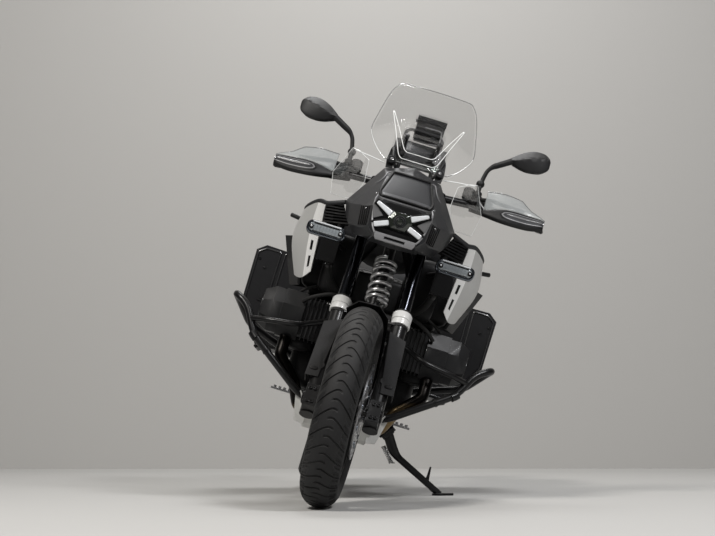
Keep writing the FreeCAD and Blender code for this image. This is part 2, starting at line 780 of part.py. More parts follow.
def mirrors():
    """Round-backed mirror heads on bent stems that rise from ball joints on the bar."""
    foot = V(MIRROR_STEM_X, grip_point(MIRROR_STEM_X).y, BAR_CLAMP_HEIGHT + BAR_RISE)
    base = foot.add(V(0, 0, SWITCH_RADIUS - OVERRUN))
    ball = V(MIRROR_STEM_X, MIRROR_BACK, MIRROR_BALL_HEIGHT)
    lift = between(MIRROR_BALL_HEIGHT, MIRROR_HEAD_HEIGHT, HALF)
    elbow = V(MIRROR_STEM_X + MIRROR_BALL_RADIUS, between(MIRROR_BACK, MIRROR_HEAD_BACK, HALF), lift)
    head_start = V(
        MIRROR_INNER_X + OVERRUN,
        MIRROR_HEAD_BACK,
        MIRROR_HEAD_HEIGHT - MIRROR_HEAD_HALF_HEIGHT * HALF,
    )
    post = rod(base, ball, MIRROR_POST_RADIUS)
    stem = bent_tube([ball, elbow, head_start], MIRROR_STEM_RADIUS, MIRROR_STEM_BEND)
    joint = Part.makeSphere(MIRROR_BALL_RADIUS, ball)
    wires = []
    for along, tall, deep, lift_share in MIRROR_STATION_SHARES:
        centre = V(
            between(MIRROR_INNER_X, MIRROR_OUTER_X, along),
            MIRROR_HEAD_BACK,
            MIRROR_HEAD_HEIGHT + MIRROR_HEAD_HALF_HEIGHT * lift_share,
        )
        wires.append(
            round_section(
                centre,
                MIRROR_HEAD_HALF_DEPTH * deep,
                MIRROR_HEAD_HALF_HEIGHT * tall,
                MIRROR_SQUARE,
                normal_is_y=False,
            )
        )
    head = loft(wires, ruled=True)
    return pair(fused([post, joint, stem, head]).cut(hand_controls()))


GUARD_INNER_X = 270.0
GUARD_OUTER_X = 486.0
GUARD_FRONT = -2.0
GUARD_BACK = 130.0
GUARD_DROP = 106.0
GUARD_HEIGHT = 68.0
GUARD_BOTTOM = BAR_CLAMP_HEIGHT + BAR_RISE - GUARD_DROP
GUARD_TOP = GUARD_BOTTOM + GUARD_HEIGHT
GUARD_THICKNESS = 12.0
GUARD_SCREEN_HEIGHT = 34.0
GUARD_SCREEN_THICKNESS = 4.0
GUARD_SECTION_SHARES = (
    (0.0, 0.10, 0.30, 0.62),
    (0.34, 0.0, 0.0, 0.86),
    (0.72, 0.12, 0.12, 1.0),
    (0.97, 0.24, 0.34, 1.0),
    (1.0, 0.58, 0.44, 0.94),
)
GUARD_SCREEN_SHARES = (0.45, 1.0, 0.9, 0.3, 0.1)
GUARD_SCREEN_LEAN = 12.0
GUARD_HOLD_SHARES = (0.04, 0.16)


def guard_point(along, back, up):
    """Point of the left hand guard from shares of its box."""
    return V(
        between(GUARD_INNER_X, GUARD_OUTER_X, along),
        between(GUARD_FRONT, GUARD_BACK, back),
        between(GUARD_BOTTOM, GUARD_TOP, up),
    )


def hand_guards():
    """Closed shields in front of the grips that wrap back to the bar ends."""
    sections = []
    for along, back, low, high in GUARD_SECTION_SHARES:
        foot = guard_point(along, back, low)
        head = guard_point(along, back, high)
        inward = V(-GUARD_THICKNESS * along, GUARD_THICKNESS, 0)
        sections.append(closed_wire([foot, head, head.add(inward), foot.add(inward)]))
    shield = loft(sections, ruled=True)
    bar_end = grip_point(BAR_END_X + BAR_WEIGHT_LENGTH)
    along, back, low, high = GUARD_SECTION_SHARES[-1]
    outer = guard_point(along, back, between(low, high, HALF))
    arm = rod(bar_end, outer, GUARD_THICKNESS * HALF)
    root = guard_point(GUARD_HOLD_SHARES[0], GUARD_HOLD_SHARES[1], HALF)
    hold = rod(root, grip_point(LEVER_PIVOT_X + LEVER_RADIUS * 2), GUARD_THICKNESS * HALF)
    screens = []
    for (along, back, low, high), tall in zip(GUARD_SECTION_SHARES, GUARD_SCREEN_SHARES):
        foot = guard_point(along, back, high)
        head = foot.add(V(0, GUARD_SCREEN_LEAN * tall, GUARD_SCREEN_HEIGHT * tall))
        inward = V(-GUARD_SCREEN_THICKNESS * along, GUARD_SCREEN_THICKNESS, 0)
        screens.append(closed_wire([foot, head, head.add(inward), foot.add(inward)]))
    guard = fused([shield, arm, hold]).cut(hand_controls()).cut(handlebar())
    screen = loft(screens, ruled=True).cut(guard)
    return Part.makeCompound([guard, mirrored(guard), screen, mirrored(screen)])


# The places of the chassis parts, in the machine frame


def steering_point(x, back, up):
    """Machine-frame point from steering-frame coordinates."""
    foot = V(0, STEER_FOOT_Y, STEER_FOOT_Z)
    return foot.add(
        V(
            x,
            back * math.cos(RAKE) + up * math.sin(RAKE),
            up * math.cos(RAKE) - back * math.sin(RAKE),
        )
    )


def station_loft(shares, low, high, square):
    """Smooth body along Y: rows of along, bottom, top and half-width shares of a box."""
    wires = []
    for along, bottom, top, wide in shares:
        z_low, z_high = between(low.z, high.z, bottom), between(low.z, high.z, top)
        centre = V(0, between(low.y, high.y, along), between(z_low, z_high, HALF))
        wires.append(round_section(centre, high.x * wide, (z_high - z_low) * HALF, square))
    return loft(wires, ruled=True)


def facet_loft(rows, low, high):
    """Faceted body: each row is one closed polygon of box shares on the left, then mirrored."""
    sections = []
    for row in rows:
        left = spread(row, low, high)
        right = [V(-p.x, p.y, p.z) for p in reversed(left) if p.x > 0]
        sections.append(closed_wire(left + right))
    return loft(sections, ruled=True)


def folded_sheet(outside, inward):
    """Thin folded panel over rows of points, thickened along one vector."""
    inside = [[p.add(inward) for p in row] for row in outside]
    rows, columns = len(outside), len(outside[0])
    cells = []
    for grid in (outside, inside):
        for i in range(rows - 1):
            for j in range(columns - 1):
                a, b = grid[i][j], grid[i + 1][j]
                c, d = grid[i + 1][j + 1], grid[i][j + 1]
                cells += [(a, b, c), (a, c, d)]
    for i in range(rows - 1):
        for j in (0, columns - 1):
            cells.append((outside[i][j], outside[i + 1][j], inside[i + 1][j], inside[i][j]))
    for j in range(columns - 1):
        for i in (0, rows - 1):
            cells.append((outside[i][j], outside[i][j + 1], inside[i][j + 1], inside[i][j]))
    solid = Part.Solid(Part.makeShell([Part.Face(closed_wire(cell)) for cell in cells]))
    solid.fix(RUNNING_CLEARANCE, RUNNING_CLEARANCE, RUNNING_CLEARANCE)
    return solid if solid.Volume > 0 else solid.reversed()


def share_sheet(rows, low, high, inward):
    """Folded panel from rows of box shares."""
    return folded_sheet([spread(row, low, high) for row in rows], inward)


HEAD_TUBE_RADIUS = 30.0
HEAD_TUBE_TOP = 874.0
HEAD_TUBE_BOTTOM = 836.0
GUSSET_HALF_WIDTH = 26.0
GUSSET_BACK = 92.0
GUSSET_BOTTOM = 752.0
GUSSET_MIDDLE = 800.0
FRAME_TUBE_RADIUS = 17.0
FRAME_BEND = 70.0
FRAME_HALF_WIDTH = 100.0
FRAME_RAIL_FRONT_Y = 590.0
FRAME_RAIL_BACK_Y = 760.0
FRAME_RAIL_TOP_Z = 861.7
FRAME_BACK_Y = 866.0
FRAME_BACK_Z = 778.0
FRAME_DOWN_Y = 560.0
CARRIER_HALF_WIDTH = 16.0
CARRIER_FRONT_Y = 288.0
CARRIER_FRONT_Z = 1090.0
CARRIER_DEPTH = 30.0
STAY_RADIUS = 7.0
STAY_X = 58.0
STAY_BEND = 30.0
STAY_MIDDLE_Y = 352.0
STAY_MIDDLE_Z = 1190.0
STAY_TOP_Y = 384.0
STAY_TOP_Z = 1290.0
STAY_PAD_RADIUS = 9.0
STAY_PAD_HEIGHTS = (1215.0, 1280.0)
CYLINDER_DECK_Z = 690.0


@lru_cache(None)
def main_frame():
    """Bearing housing for the steering, gusset, main tubes and the carrier of the nose."""
    housing = Part.makeCylinder(
        HEAD_TUBE_RADIUS, HEAD_TUBE_TOP - HEAD_TUBE_BOTTOM, V(0, 0, HEAD_TUBE_BOTTOM), Z_AXIS
    )
    gusset = prism(
        [
            V(-GUSSET_HALF_WIDTH, 0, HEAD_TUBE_TOP),
            V(-GUSSET_HALF_WIDTH, GUSSET_BACK, GUSSET_MIDDLE + HEAD_TUBE_RADIUS),
            V(-GUSSET_HALF_WIDTH, GUSSET_BACK, GUSSET_BOTTOM),
            V(-GUSSET_HALF_WIDTH, -HEAD_TUBE_RADIUS * HALF, GUSSET_BOTTOM + HEAD_TUBE_RADIUS),
            V(-GUSSET_HALF_WIDTH, -HEAD_TUBE_RADIUS * HALF, HEAD_TUBE_BOTTOM),
        ],
        V(2 * GUSSET_HALF_WIDTH, 0, 0),
    )
    head = from_steering(housing.fuse(gusset))
    rail_z = FRAME_RAIL_TOP_Z - FRAME_TUBE_RADIUS
    upper = bent_tube(
        [
            steering_point(GUSSET_HALF_WIDTH * HALF, GUSSET_BACK * HALF, GUSSET_MIDDLE),
            V(FRAME_HALF_WIDTH, FRAME_RAIL_FRONT_Y, rail_z),
            V(FRAME_HALF_WIDTH, FRAME_RAIL_BACK_Y, rail_z),
            V(FRAME_HALF_WIDTH, FRAME_BACK_Y, FRAME_BACK_Z),
            V(FRAME_HALF_WIDTH, FRAME_BACK_Y, CYLINDER_DECK_Z - FRAME_TUBE_RADIUS),
        ],
        FRAME_TUBE_RADIUS,
        FRAME_BEND,
    )
    down = rod(
        V(FRAME_HALF_WIDTH, FRAME_RAIL_FRONT_Y, rail_z),
        V(FRAME_HALF_WIDTH, FRAME_DOWN_Y, CYLINDER_DECK_Z),
        FRAME_TUBE_RADIUS,
    )
    spine_root = steering_point(0, -HEAD_TUBE_RADIUS * HALF, HEAD_TUBE_TOP - CARRIER_DEPTH)
    spine = loft(
        [
            closed_wire(
                [
                    V(-CARRIER_HALF_WIDTH, p.y, p.z - CARRIER_DEPTH * HALF),
                    V(CARRIER_HALF_WIDTH, p.y, p.z - CARRIER_DEPTH * HALF),
                    V(CARRIER_HALF_WIDTH, p.y, p.z + CARRIER_DEPTH * HALF),
                    V(-CARRIER_HALF_WIDTH, p.y, p.z + CARRIER_DEPTH * HALF),
                ]
            )
            for p in (V(0, CARRIER_FRONT_Y, CARRIER_FRONT_Z), spine_root)
        ],
        ruled=True,
    )
    stay = bent_tube(
        [
            V(0, CARRIER_FRONT_Y + 2 * STAY_RADIUS, CARRIER_FRONT_Z),
            V(STAY_X, CARRIER_FRONT_Y + 2 * STAY_RADIUS, CARRIER_FRONT_Z),
            V(STAY_X, STAY_MIDDLE_Y, STAY_MIDDLE_Z),
            V(STAY_X, STAY_TOP_Y, STAY_TOP_Z),
        ],
        STAY_RADIUS,
        STAY_BEND,
    )
    pads = []
    for z in STAY_PAD_HEIGHTS:
        share = (z - STAY_MIDDLE_Z) / (STAY_TOP_Z - STAY_MIDDLE_Z)
        y = between(STAY_MIDDLE_Y, STAY_TOP_Y, share)
        pads.append(rod(V(STAY_X, screen_centre_y(z) - STAY_RADIUS, z), V(STAY_X, y, z), STAY_PAD_RADIUS))
    pads = [pad.cut(windshield_blank()) for pad in pads]
    left = [upper, down, stay] + [max(p.Solids, key=lambda s: s.BoundBox.YMax) for p in pads]
    solid = fused([head, spine] + left + [mirrored(s) for s in left])
    bore = from_steering(
        Part.makeCylinder(
            STEERING_PIN_RADIUS + RUNNING_CLEARANCE,
            HEAD_TUBE_TOP,
            V(0, 0, HEAD_TUBE_TOP - STEERING_PIN_LENGTH - OVERRUN),
            Z_AXIS,
        )
    )
    return solid.cut(bore).cut(crankcase())


SUBFRAME_RADIUS = 14.0
SUBFRAME_MIDDLE_Y = 1190.0
SUBFRAME_MIDDLE_Z = 812.0
SUBFRAME_BACK_Y = 1560.0
SUBFRAME_BACK_Z = 884.0
SUBFRAME_HALF_WIDTH = 96.0
SUBFRAME_BRACE_FOOT_Y = 935.0
SUBFRAME_BRACE_FOOT_Z = 560.0
SUBFRAME_CROSS_YS = (905.0, 1190.0, 1540.0)
TAIL_HALF_WIDTH = 66.0
TAIL_BACK_Y = 1752.0
TAIL_BOTTOM_Z = 868.0
TAIL_TOP_Z = 916.0
CASE_RAIL_RADIUS = 9.0


def rail_z(y):
    """Height of the seat rails' centre line."""
    if y < SUBFRAME_MIDDLE_Y:
        share = (y - FRAME_BACK_Y) / (SUBFRAME_MIDDLE_Y - FRAME_BACK_Y)
        return between(FRAME_BACK_Z, SUBFRAME_MIDDLE_Z, share)
    share = (y - SUBFRAME_MIDDLE_Y) / (SUBFRAME_BACK_Y - SUBFRAME_MIDDLE_Y)
    return between(SUBFRAME_MIDDLE_Z, SUBFRAME_BACK_Z, share)


@lru_cache(None)
def rear_subframe():
    """Seat rails, braces, cross tubes, tail box and the holders of the side cases."""
    x = SUBFRAME_HALF_WIDTH
    start = V(x, FRAME_BACK_Y + FRAME_TUBE_RADIUS, rail_z(FRAME_BACK_Y + FRAME_TUBE_RADIUS))
    rail = bent_tube(
        [start, V(x, SUBFRAME_MIDDLE_Y, SUBFRAME_MIDDLE_Z), V(x, SUBFRAME_BACK_Y, SUBFRAME_BACK_Z)],
        SUBFRAME_RADIUS,
        FRAME_BEND,
    )
    foot = V(x, SUBFRAME_BRACE_FOOT_Y, SUBFRAME_BRACE_FOOT_Z)
    brace = rod(foot, V(x, SUBFRAME_MIDDLE_Y, SUBFRAME_MIDDLE_Z), SUBFRAME_RADIUS)
    boss_end = V(x + SUBFRAME_RADIUS, foot.y, foot.z)
    boss = rod(V(CRANKCASE_HALF_WIDTH * HALF, foot.y, foot.z), boss_end, SUBFRAME_RADIUS)
    left = [rail, brace, boss]
    for holder_y in (CASE_FRONT_Y + CASE_LENGTH / 4, CASE_BACK_Y - CASE_LENGTH / 4):
        z = rail_z(holder_y)
        left.append(rod(V(x, holder_y, z), V(CASE_INNER_X, holder_y, z), CASE_RAIL_RADIUS))
    solid = [rod(V(-x, y, rail_z(y)), V(x, y, rail_z(y)), SUBFRAME_RADIUS) for y in SUBFRAME_CROSS_YS]
    tail = prism(
        [
            V(-TAIL_HALF_WIDTH, SUBFRAME_BACK_Y - SUBFRAME_RADIUS * 3, TAIL_BOTTOM_Z),
            V(-TAIL_HALF_WIDTH, TAIL_BACK_Y, TAIL_BOTTOM_Z + SUBFRAME_RADIUS),
            V(-TAIL_HALF_WIDTH, TAIL_BACK_Y, TAIL_TOP_Z + SUBFRAME_RADIUS),
            V(-TAIL_HALF_WIDTH, SUBFRAME_BACK_Y - SUBFRAME_RADIUS * 3, TAIL_TOP_Z),
        ],
        V(2 * TAIL_HALF_WIDTH, 0, 0),
    )
    return fused(solid + [tail] + left + [mirrored(s) for s in left]).cut(crankcase())


CRANKCASE_FRONT_Y = 486.0
CRANKCASE_BACK_Y = 1000.0
CRANKCASE_BOTTOM_Z = 308.0
CRANKCASE_HALF_WIDTH = 118.0
CRANKCASE_CORNER = 16.0
CRANKCASE_SIDE_SHARES = (
    (0.0, 0.28), (0.0, 0.80), (0.10, 1.0), (0.74, 1.0), (0.88, 0.72),
    (1.0, 0.52), (1.0, 0.20), (0.86, 0.0), (0.14, 0.0),
)
FRONT_COVER_RADIUS = 92.0
FRONT_COVER_DEPTH = 34.0
FRONT_COVER_Z = 560.0
FRONT_COVER_TAPER = 20.0
FRONT_COVER_STEP = 5.0
SIDE_COVER_RADIUS = 74.0
SIDE_COVER_DEPTH = 10.0
SIDE_COVER_PLACE_SHARES = ((0.80, 0.42), (0.58, 0.2))


@lru_cache(None)
def crankcase():
    """Engine and gearbox castings as one housing with round covers."""
    points = [
        V(
            -CRANKCASE_HALF_WIDTH,
            between(CRANKCASE_FRONT_Y, CRANKCASE_BACK_Y, y),
            between(CRANKCASE_BOTTOM_Z, CYLINDER_DECK_Z, z),
        )
        for y, z in CRANKCASE_SIDE_SHARES
    ]
    casting = rounded_prism(points, CRANKCASE_CORNER, V(2 * CRANKCASE_HALF_WIDTH, 0, 0))
    front = Part.makeCone(
        FRONT_COVER_RADIUS,
        FRONT_COVER_RADIUS - FRONT_COVER_TAPER,
        FRONT_COVER_DEPTH,
        V(0, CRANKCASE_FRONT_Y, FRONT_COVER_Z),
        V(0, -1, 0),
    )
    hub = Part.makeCylinder(
        FRONT_COVER_RADIUS * HALF,
        FRONT_COVER_DEPTH + FRONT_COVER_STEP,
        V(0, CRANKCASE_FRONT_Y, FRONT_COVER_Z),
        V(0, -1, 0),
    )
    covers = []
    for along, up in SIDE_COVER_PLACE_SHARES:
        centre = V(
            -CRANKCASE_HALF_WIDTH - SIDE_COVER_DEPTH,
            between(CRANKCASE_FRONT_Y, CRANKCASE_BACK_Y, along),
            between(CRANKCASE_BOTTOM_Z, CYLINDER_DECK_Z, up),
        )
        width = 2 * (CRANKCASE_HALF_WIDTH + SIDE_COVER_DEPTH)
        covers.append(Part.makeCylinder(SIDE_COVER_RADIUS, width, centre, X_AXIS))
    return fused([casting, front, hub] + covers)


CYLINDER_Y = 560.0
CYLINDER_Z = 588.0
BARREL_HALF_LENGTH = 72.0
BARREL_HALF_HEIGHT = 70.0
FIN_COUNT = 6
FIN_THICKNESS = 4.0
FIN_DEPTH = 9.0
HEAD_START_X = 222.0
HEAD_END_X = 300.0
HEAD_HALF_LENGTH = 92.0
HEAD_HALF_HEIGHT = 84.0
VALVE_COVER_END_X = 372.0
VALVE_COVER_SHRINK_SHARE = 0.72
VALVE_COVER_SECTION_SHARES = (
    (-1.0, -0.45), (-1.0, 0.35), (-0.68, 1.0), (0.68, 1.0), (1.0, 0.35),
    (1.0, -0.45), (0.62, -1.0), (-0.62, -1.0),
)
COVER_LIP = 5.0
PLUG_COVER_RADIUS = 30.0


def head_section(x, share):
    """Eight-sided section of a cylinder head at one width."""
    return closed_wire(
        [
            V(x, CYLINDER_Y + HEAD_HALF_LENGTH * share * y, CYLINDER_Z + HEAD_HALF_HEIGHT * share * z)
            for y, z in VALVE_COVER_SECTION_SHARES
        ]
    )


@lru_cache(None)
def cylinders():
    """Finned barrels, cylinder heads and bevelled valve covers on both sides."""
    barrel = block(
        V(CRANKCASE_HALF_WIDTH, CYLINDER_Y - BARREL_HALF_LENGTH, CYLINDER_Z - BARREL_HALF_HEIGHT),
        V(HEAD_START_X, CYLINDER_Y + BARREL_HALF_LENGTH, CYLINDER_Z + BARREL_HALF_HEIGHT),
    )
    pitch = (HEAD_START_X - CRANKCASE_HALF_WIDTH) / (FIN_COUNT + 1)
    fin_reach = V(0, BARREL_HALF_LENGTH + FIN_DEPTH, BARREL_HALF_HEIGHT + FIN_DEPTH)
    fins = []
    for i in range(1, FIN_COUNT + 1):
        inner = V(CRANKCASE_HALF_WIDTH + pitch * i, CYLINDER_Y, CYLINDER_Z)
        outer = inner.add(V(FIN_THICKNESS, 0, 0))
        fins.append(block(inner.sub(fin_reach), outer.add(fin_reach)))
    head = loft([head_section(HEAD_START_X, 1), head_section(HEAD_END_X, 1)], ruled=True)
    lip_share = 1 - COVER_LIP / HEAD_HALF_HEIGHT
    middle_x = between(HEAD_END_X, VALVE_COVER_END_X, HALF)
    cover = loft([head_section(HEAD_END_X, lip_share), head_section(middle_x, lip_share)], ruled=True)
    cap = loft(
        [head_section(middle_x, lip_share), head_section(VALVE_COVER_END_X, VALVE_COVER_SHRINK_SHARE)],
        ruled=True,
    )
    plug_length = VALVE_COVER_END_X - middle_x + COVER_LIP
    plug = Part.makeCylinder(PLUG_COVER_RADIUS, plug_length, V(middle_x, CYLINDER_Y, CYLINDER_Z), X_AXIS)
    return pair(fused([barrel, head, cover, cap, plug] + fins))


AIRBOX_BOTTOM_GAP = 0.3
AIRBOX_TOP_Z = 812.0
AIRBOX_HALF_WIDTH = 80.0
AIRBOX_FRONT_Y = 575.0
AIRBOX_BACK_Y = 845.0
AIRBOX_CORNER = 18.0


def airbox():
    """Air filter housing between the frame tubes."""
    low, high = CYLINDER_DECK_Z + AIRBOX_BOTTOM_GAP, AIRBOX_TOP_Z
    return rounded_prism(
        [
            V(-AIRBOX_HALF_WIDTH, AIRBOX_FRONT_Y, low),
            V(-AIRBOX_HALF_WIDTH, AIRBOX_BACK_Y, low),
            V(-AIRBOX_HALF_WIDTH, AIRBOX_BACK_Y, between(low, high, HALF)),
            V(-AIRBOX_HALF_WIDTH, between(AIRBOX_FRONT_Y, AIRBOX_BACK_Y, HALF), high),
            V(-AIRBOX_HALF_WIDTH, AIRBOX_FRONT_Y, high),
        ],
        AIRBOX_CORNER,
        V(2 * AIRBOX_HALF_WIDTH, 0, 0),
    )


SKID_FRONT_Y = 418.0
SKID_BACK_Y = 840.0
SKID_BOTTOM_Z = 226.0
SKID_TOP_Z = 340.0
SKID_HALF_WIDTH = 158.0
SKID_THICKNESS = 4.0
SKID_ROW_SHARES = (
    ((0.95, 0.0, 1.0), (0.78, 0.0, 0.62), (-0.78, 0.0, 0.62), (-0.95, 0.0, 1.0)),
    ((1.0, 0.09, 0.98), (0.74, 0.09, 0.14), (-0.74, 0.09, 0.14), (-1.0, 0.09, 0.98)),
    ((1.0, 0.34, 0.86), (0.72, 0.34, 0.0), (-0.72, 0.34, 0.0), (-1.0, 0.34, 0.86)),
    ((0.86, 1.0, 0.62), (0.68, 1.0, 0.0), (-0.68, 1.0, 0.0), (-0.86, 1.0, 0.62)),
)
SKID_SLOT_COUNT = 4
SKID_SLOT_WIDTH = 12.0
SKID_SLOT_LENGTH = 70.0
SKID_POST_RADIUS = 12.0
SKID_POST_PLACES = ((36.0, 545.0), (104.0, 776.0))


@lru_cache(None)
def skid_plate():
    """Folded engine guard with a raised bow, cooling slots and its mounting posts."""
    low = V(0, SKID_FRONT_Y, SKID_BOTTOM_Z)
    high = V(SKID_HALF_WIDTH, SKID_BACK_Y, SKID_TOP_Z)
    plate = share_sheet(SKID_ROW_SHARES, low, high, V(0, 0, SKID_THICKNESS))
    pitch = SKID_HALF_WIDTH / SKID_SLOT_COUNT
    start = between(SKID_FRONT_Y, SKID_BACK_Y, HALF)
    slot_low_z = SKID_BOTTOM_Z - OVERRUN
    slot_high_z = SKID_BOTTOM_Z + SKID_THICKNESS + OVERRUN
    for i in range(SKID_SLOT_COUNT):
        x = pitch * (i - (SKID_SLOT_COUNT - 1) * HALF)
        plate = plate.cut(
            block(
                V(x - SKID_SLOT_WIDTH * HALF, start, slot_low_z),
                V(x + SKID_SLOT_WIDTH * HALF, start + SKID_SLOT_LENGTH, slot_high_z),
            )
        )
    posts = []
    for x, y in SKID_POST_PLACES:
        foot = V(x, y, SKID_BOTTOM_Z + SKID_THICKNESS * HALF)
        post = rod(foot, V(x, y, CRANKCASE_BOTTOM_Z + OVERRUN), SKID_POST_RADIUS)
        posts.extend([post, mirrored(post)])
    room = pair(header_pipe(PIPE_RADIUS + PIPE_NOTCH_GAP))
    return fused([plate.cut(room)] + posts).cut(crankcase()).cut(stand_bracket())


PIPE_RADIUS = 21.0
PIPE_BEND = 55.0
PIPE_PORT_X = 258.0
PIPE_PORT_Y = 505.0
PIPE_LOW_Z = 274.0
PIPE_DOWN_X = 184.0
PIPE_DOWN_Y = 488.0
PIPE_DOWN_Z = 366.0
PIPE_KNEE_X = 150.0
PIPE_KNEE_Y = 522.0
PIPE_NOTCH_GAP = 7.0
COLLECTOR_X = 74.0
COLLECTOR_FRONT_Y = 640.0
COLLECTOR_BACK_Y = 850.0
COLLECTOR_RADIUS = 26.0
LINK_PIPE_BACK_Y = 1085.0
LINK_PIPE_BACK_Z = 352.0
SILENCER_X = -158.0
SILENCER_FRONT_Y = 1120.0
SILENCER_BACK_Y = 1560.0
SILENCER_FRONT_Z = 372.0
SILENCER_BACK_Z = 452.0
SILENCER_HALF_WIDTH = 54.0
SILENCER_HALF_HEIGHT = 78.0
SILENCER_SECTION_SHARES = (
    (-0.55, -1.0), (0.45, -1.0), (1.0, -0.5), (0.9, 0.45), (0.3, 1.0), (-0.6, 1.0), (-1.0, 0.4), (-1.0, -0.5),
)
SILENCER_STATION_SHARES = ((0.0, 0.42), (0.1, 0.74), (0.34, 1.0), (0.92, 0.94), (1.0, 0.78))
TAIL_PIPE_RADIUS = 24.0
TAIL_PIPE_LENGTH = 30.0
TAIL_PIPE_WALL = 2.0


def header_pipe(radius):
    """Left header from the cylinder head down beside the crankcase."""
    port_z = CYLINDER_Z - HEAD_HALF_HEIGHT
    return bent_tube(
        [
            V(PIPE_PORT_X, PIPE_PORT_Y, port_z),
            V(PIPE_PORT_X, PIPE_PORT_Y - PIPE_RADIUS, port_z - PIPE_RADIUS * 3),
            V(PIPE_DOWN_X, PIPE_DOWN_Y, PIPE_DOWN_Z),
            V(PIPE_KNEE_X, PIPE_KNEE_Y, PIPE_LOW_Z + PIPE_RADIUS),
            V(COLLECTOR_X, COLLECTOR_FRONT_Y, PIPE_LOW_Z),
        ],
        radius,
        PIPE_BEND * HALF,
    )


@lru_cache(None)
def exhaust_pipes():
    """Header pipes from both heads, curled under the engine into one collector."""
    header = header_pipe(PIPE_RADIUS)
    feed = bent_tube(
        [
            V(COLLECTOR_X, COLLECTOR_FRONT_Y - PIPE_RADIUS, PIPE_LOW_Z),
            V(COLLECTOR_X, between(COLLECTOR_FRONT_Y, COLLECTOR_BACK_Y, HALF), PIPE_LOW_Z),
            V(0, COLLECTOR_BACK_Y, PIPE_LOW_Z),
        ],
        COLLECTOR_RADIUS,
        PIPE_BEND,
    )
    link = bent_tube(
        [
            V(0, COLLECTOR_BACK_Y - PIPE_RADIUS, PIPE_LOW_Z),
            V(-COLLECTOR_X, COLLECTOR_BACK_Y + COLLECTOR_X, PIPE_LOW_Z),
            V(SILENCER_X, LINK_PIPE_BACK_Y, LINK_PIPE_BACK_Z),
            V(SILENCER_X, SILENCER_FRONT_Y, SILENCER_FRONT_Z),
        ],
        COLLECTOR_RADIUS,
        PIPE_BEND * HALF,
    )
    pipes = fused([header, feed, mirrored(header), mirrored(feed), link])
    return pipes.cut(crankcase()).cut(cylinders())


def silencer():
    """Many-sided silencer on the right with an open tail pipe."""
    sections = []
    for along, size in SILENCER_STATION_SHARES:
        y = between(SILENCER_FRONT_Y, SILENCER_BACK_Y, along)
        z = between(SILENCER_FRONT_Z, SILENCER_BACK_Z, along)
        sections.append(
            closed_wire(
                [
                    V(SILENCER_X + SILENCER_HALF_WIDTH * size * a, y, z + SILENCER_HALF_HEIGHT * size * b)
                    for a, b in SILENCER_SECTION_SHARES
                ]
            )
        )
    body = loft(sections, ruled=True)
    foot = V(SILENCER_X, SILENCER_BACK_Y - TAIL_PIPE_LENGTH, SILENCER_BACK_Z)
    pipe = Part.makeCylinder(TAIL_PIPE_RADIUS, 2 * TAIL_PIPE_LENGTH, foot, Y_AXIS)
    hole = Part.makeCylinder(TAIL_PIPE_RADIUS - TAIL_PIPE_WALL, 3 * TAIL_PIPE_LENGTH, foot, Y_AXIS)
    return body.fuse(pipe).cut(hole).cut(exhaust_pipes())


TANK_FRONT_Y = 512.0
TANK_BACK_Y = 852.0
TANK_BOTTOM_Z = 862.0
TANK_TOP_Z = 1050.0
TANK_HALF_WIDTH = 205.0
TANK_SQUARE = 2.8
TANK_STATION_SHARES = (
    (0.0, 0.35, 0.72, 0.45), (0.12, 0.08, 0.86, 0.68), (0.38, 0.0, 1.0, 0.95), (0.62, 0.0, 0.95, 0.9),
    (0.86, 0.0, 0.62, 0.6), (1.0, 0.0, 0.36, 0.45),
)
FILLER_RADIUS = 36.0
FILLER_HEIGHT = 10.0
FILLER_SHARE = 0.42


@lru_cache(None)
def fuel_tank():
    """Crowned fuel tank with its filler cap."""
    low = V(0, TANK_FRONT_Y, TANK_BOTTOM_Z)
    high = V(TANK_HALF_WIDTH, TANK_BACK_Y, TANK_TOP_Z)
    body = station_loft(TANK_STATION_SHARES, low, high, TANK_SQUARE)
    cap_y = between(TANK_FRONT_Y, TANK_BACK_Y, FILLER_SHARE)
    cap = Part.makeCylinder(
        FILLER_RADIUS, 4 * FILLER_HEIGHT, V(0, cap_y, TANK_TOP_Z - 3 * FILLER_HEIGHT), Z_AXIS
    )
    return body.fuse(cap).removeSplitter().cut(main_frame())


WING_LOW = V(225.0, 330.0, 716.0)
WING_HIGH = V(340.0, 805.0, 973.0)
WING_THICKNESS = 5.0
WING_ROW_SHARES = (
    ((0.26, 0.0, 0.98), (0.22, 0.07, 0.76), (0.18, 0.14, 0.46), (0.13, 0.21, 0.11)),
    ((0.56, 0.11, 1.0), (0.6, 0.16, 0.78), (0.55, 0.2, 0.46), (0.37, 0.27, 0.0)),
    ((0.88, 0.3, 0.9), (1.0, 0.38, 0.64), (0.93, 0.38, 0.4), (0.62, 0.41, 0.04)),
    ((0.6, 0.68, 0.92), (0.84, 0.68, 0.74), (0.8, 0.68, 0.5), (0.52, 0.62, 0.16)),
    ((0.0, 1.0, 0.93), (0.1, 1.0, 0.78), (0.1, 1.0, 0.6), (0.05, 0.86, 0.36)),
)
WING_SLOT_HALF_WIDTH = 9.0
WING_SLOT_HEIGHT = 36.0
WING_SLOT_LEAN = 8.0
WING_SLOT_PLACE_SHARES = ((0.37, 0.40), (0.31, 0.17))
WING_PEG_RADIUS = 8.0
WING_PEG_OUTER_X = 300.0
WING_PEG_INNER_X = 172.0
WING_PEG_PLACES = ((640.0, 930.0), (420.0, 930.0))


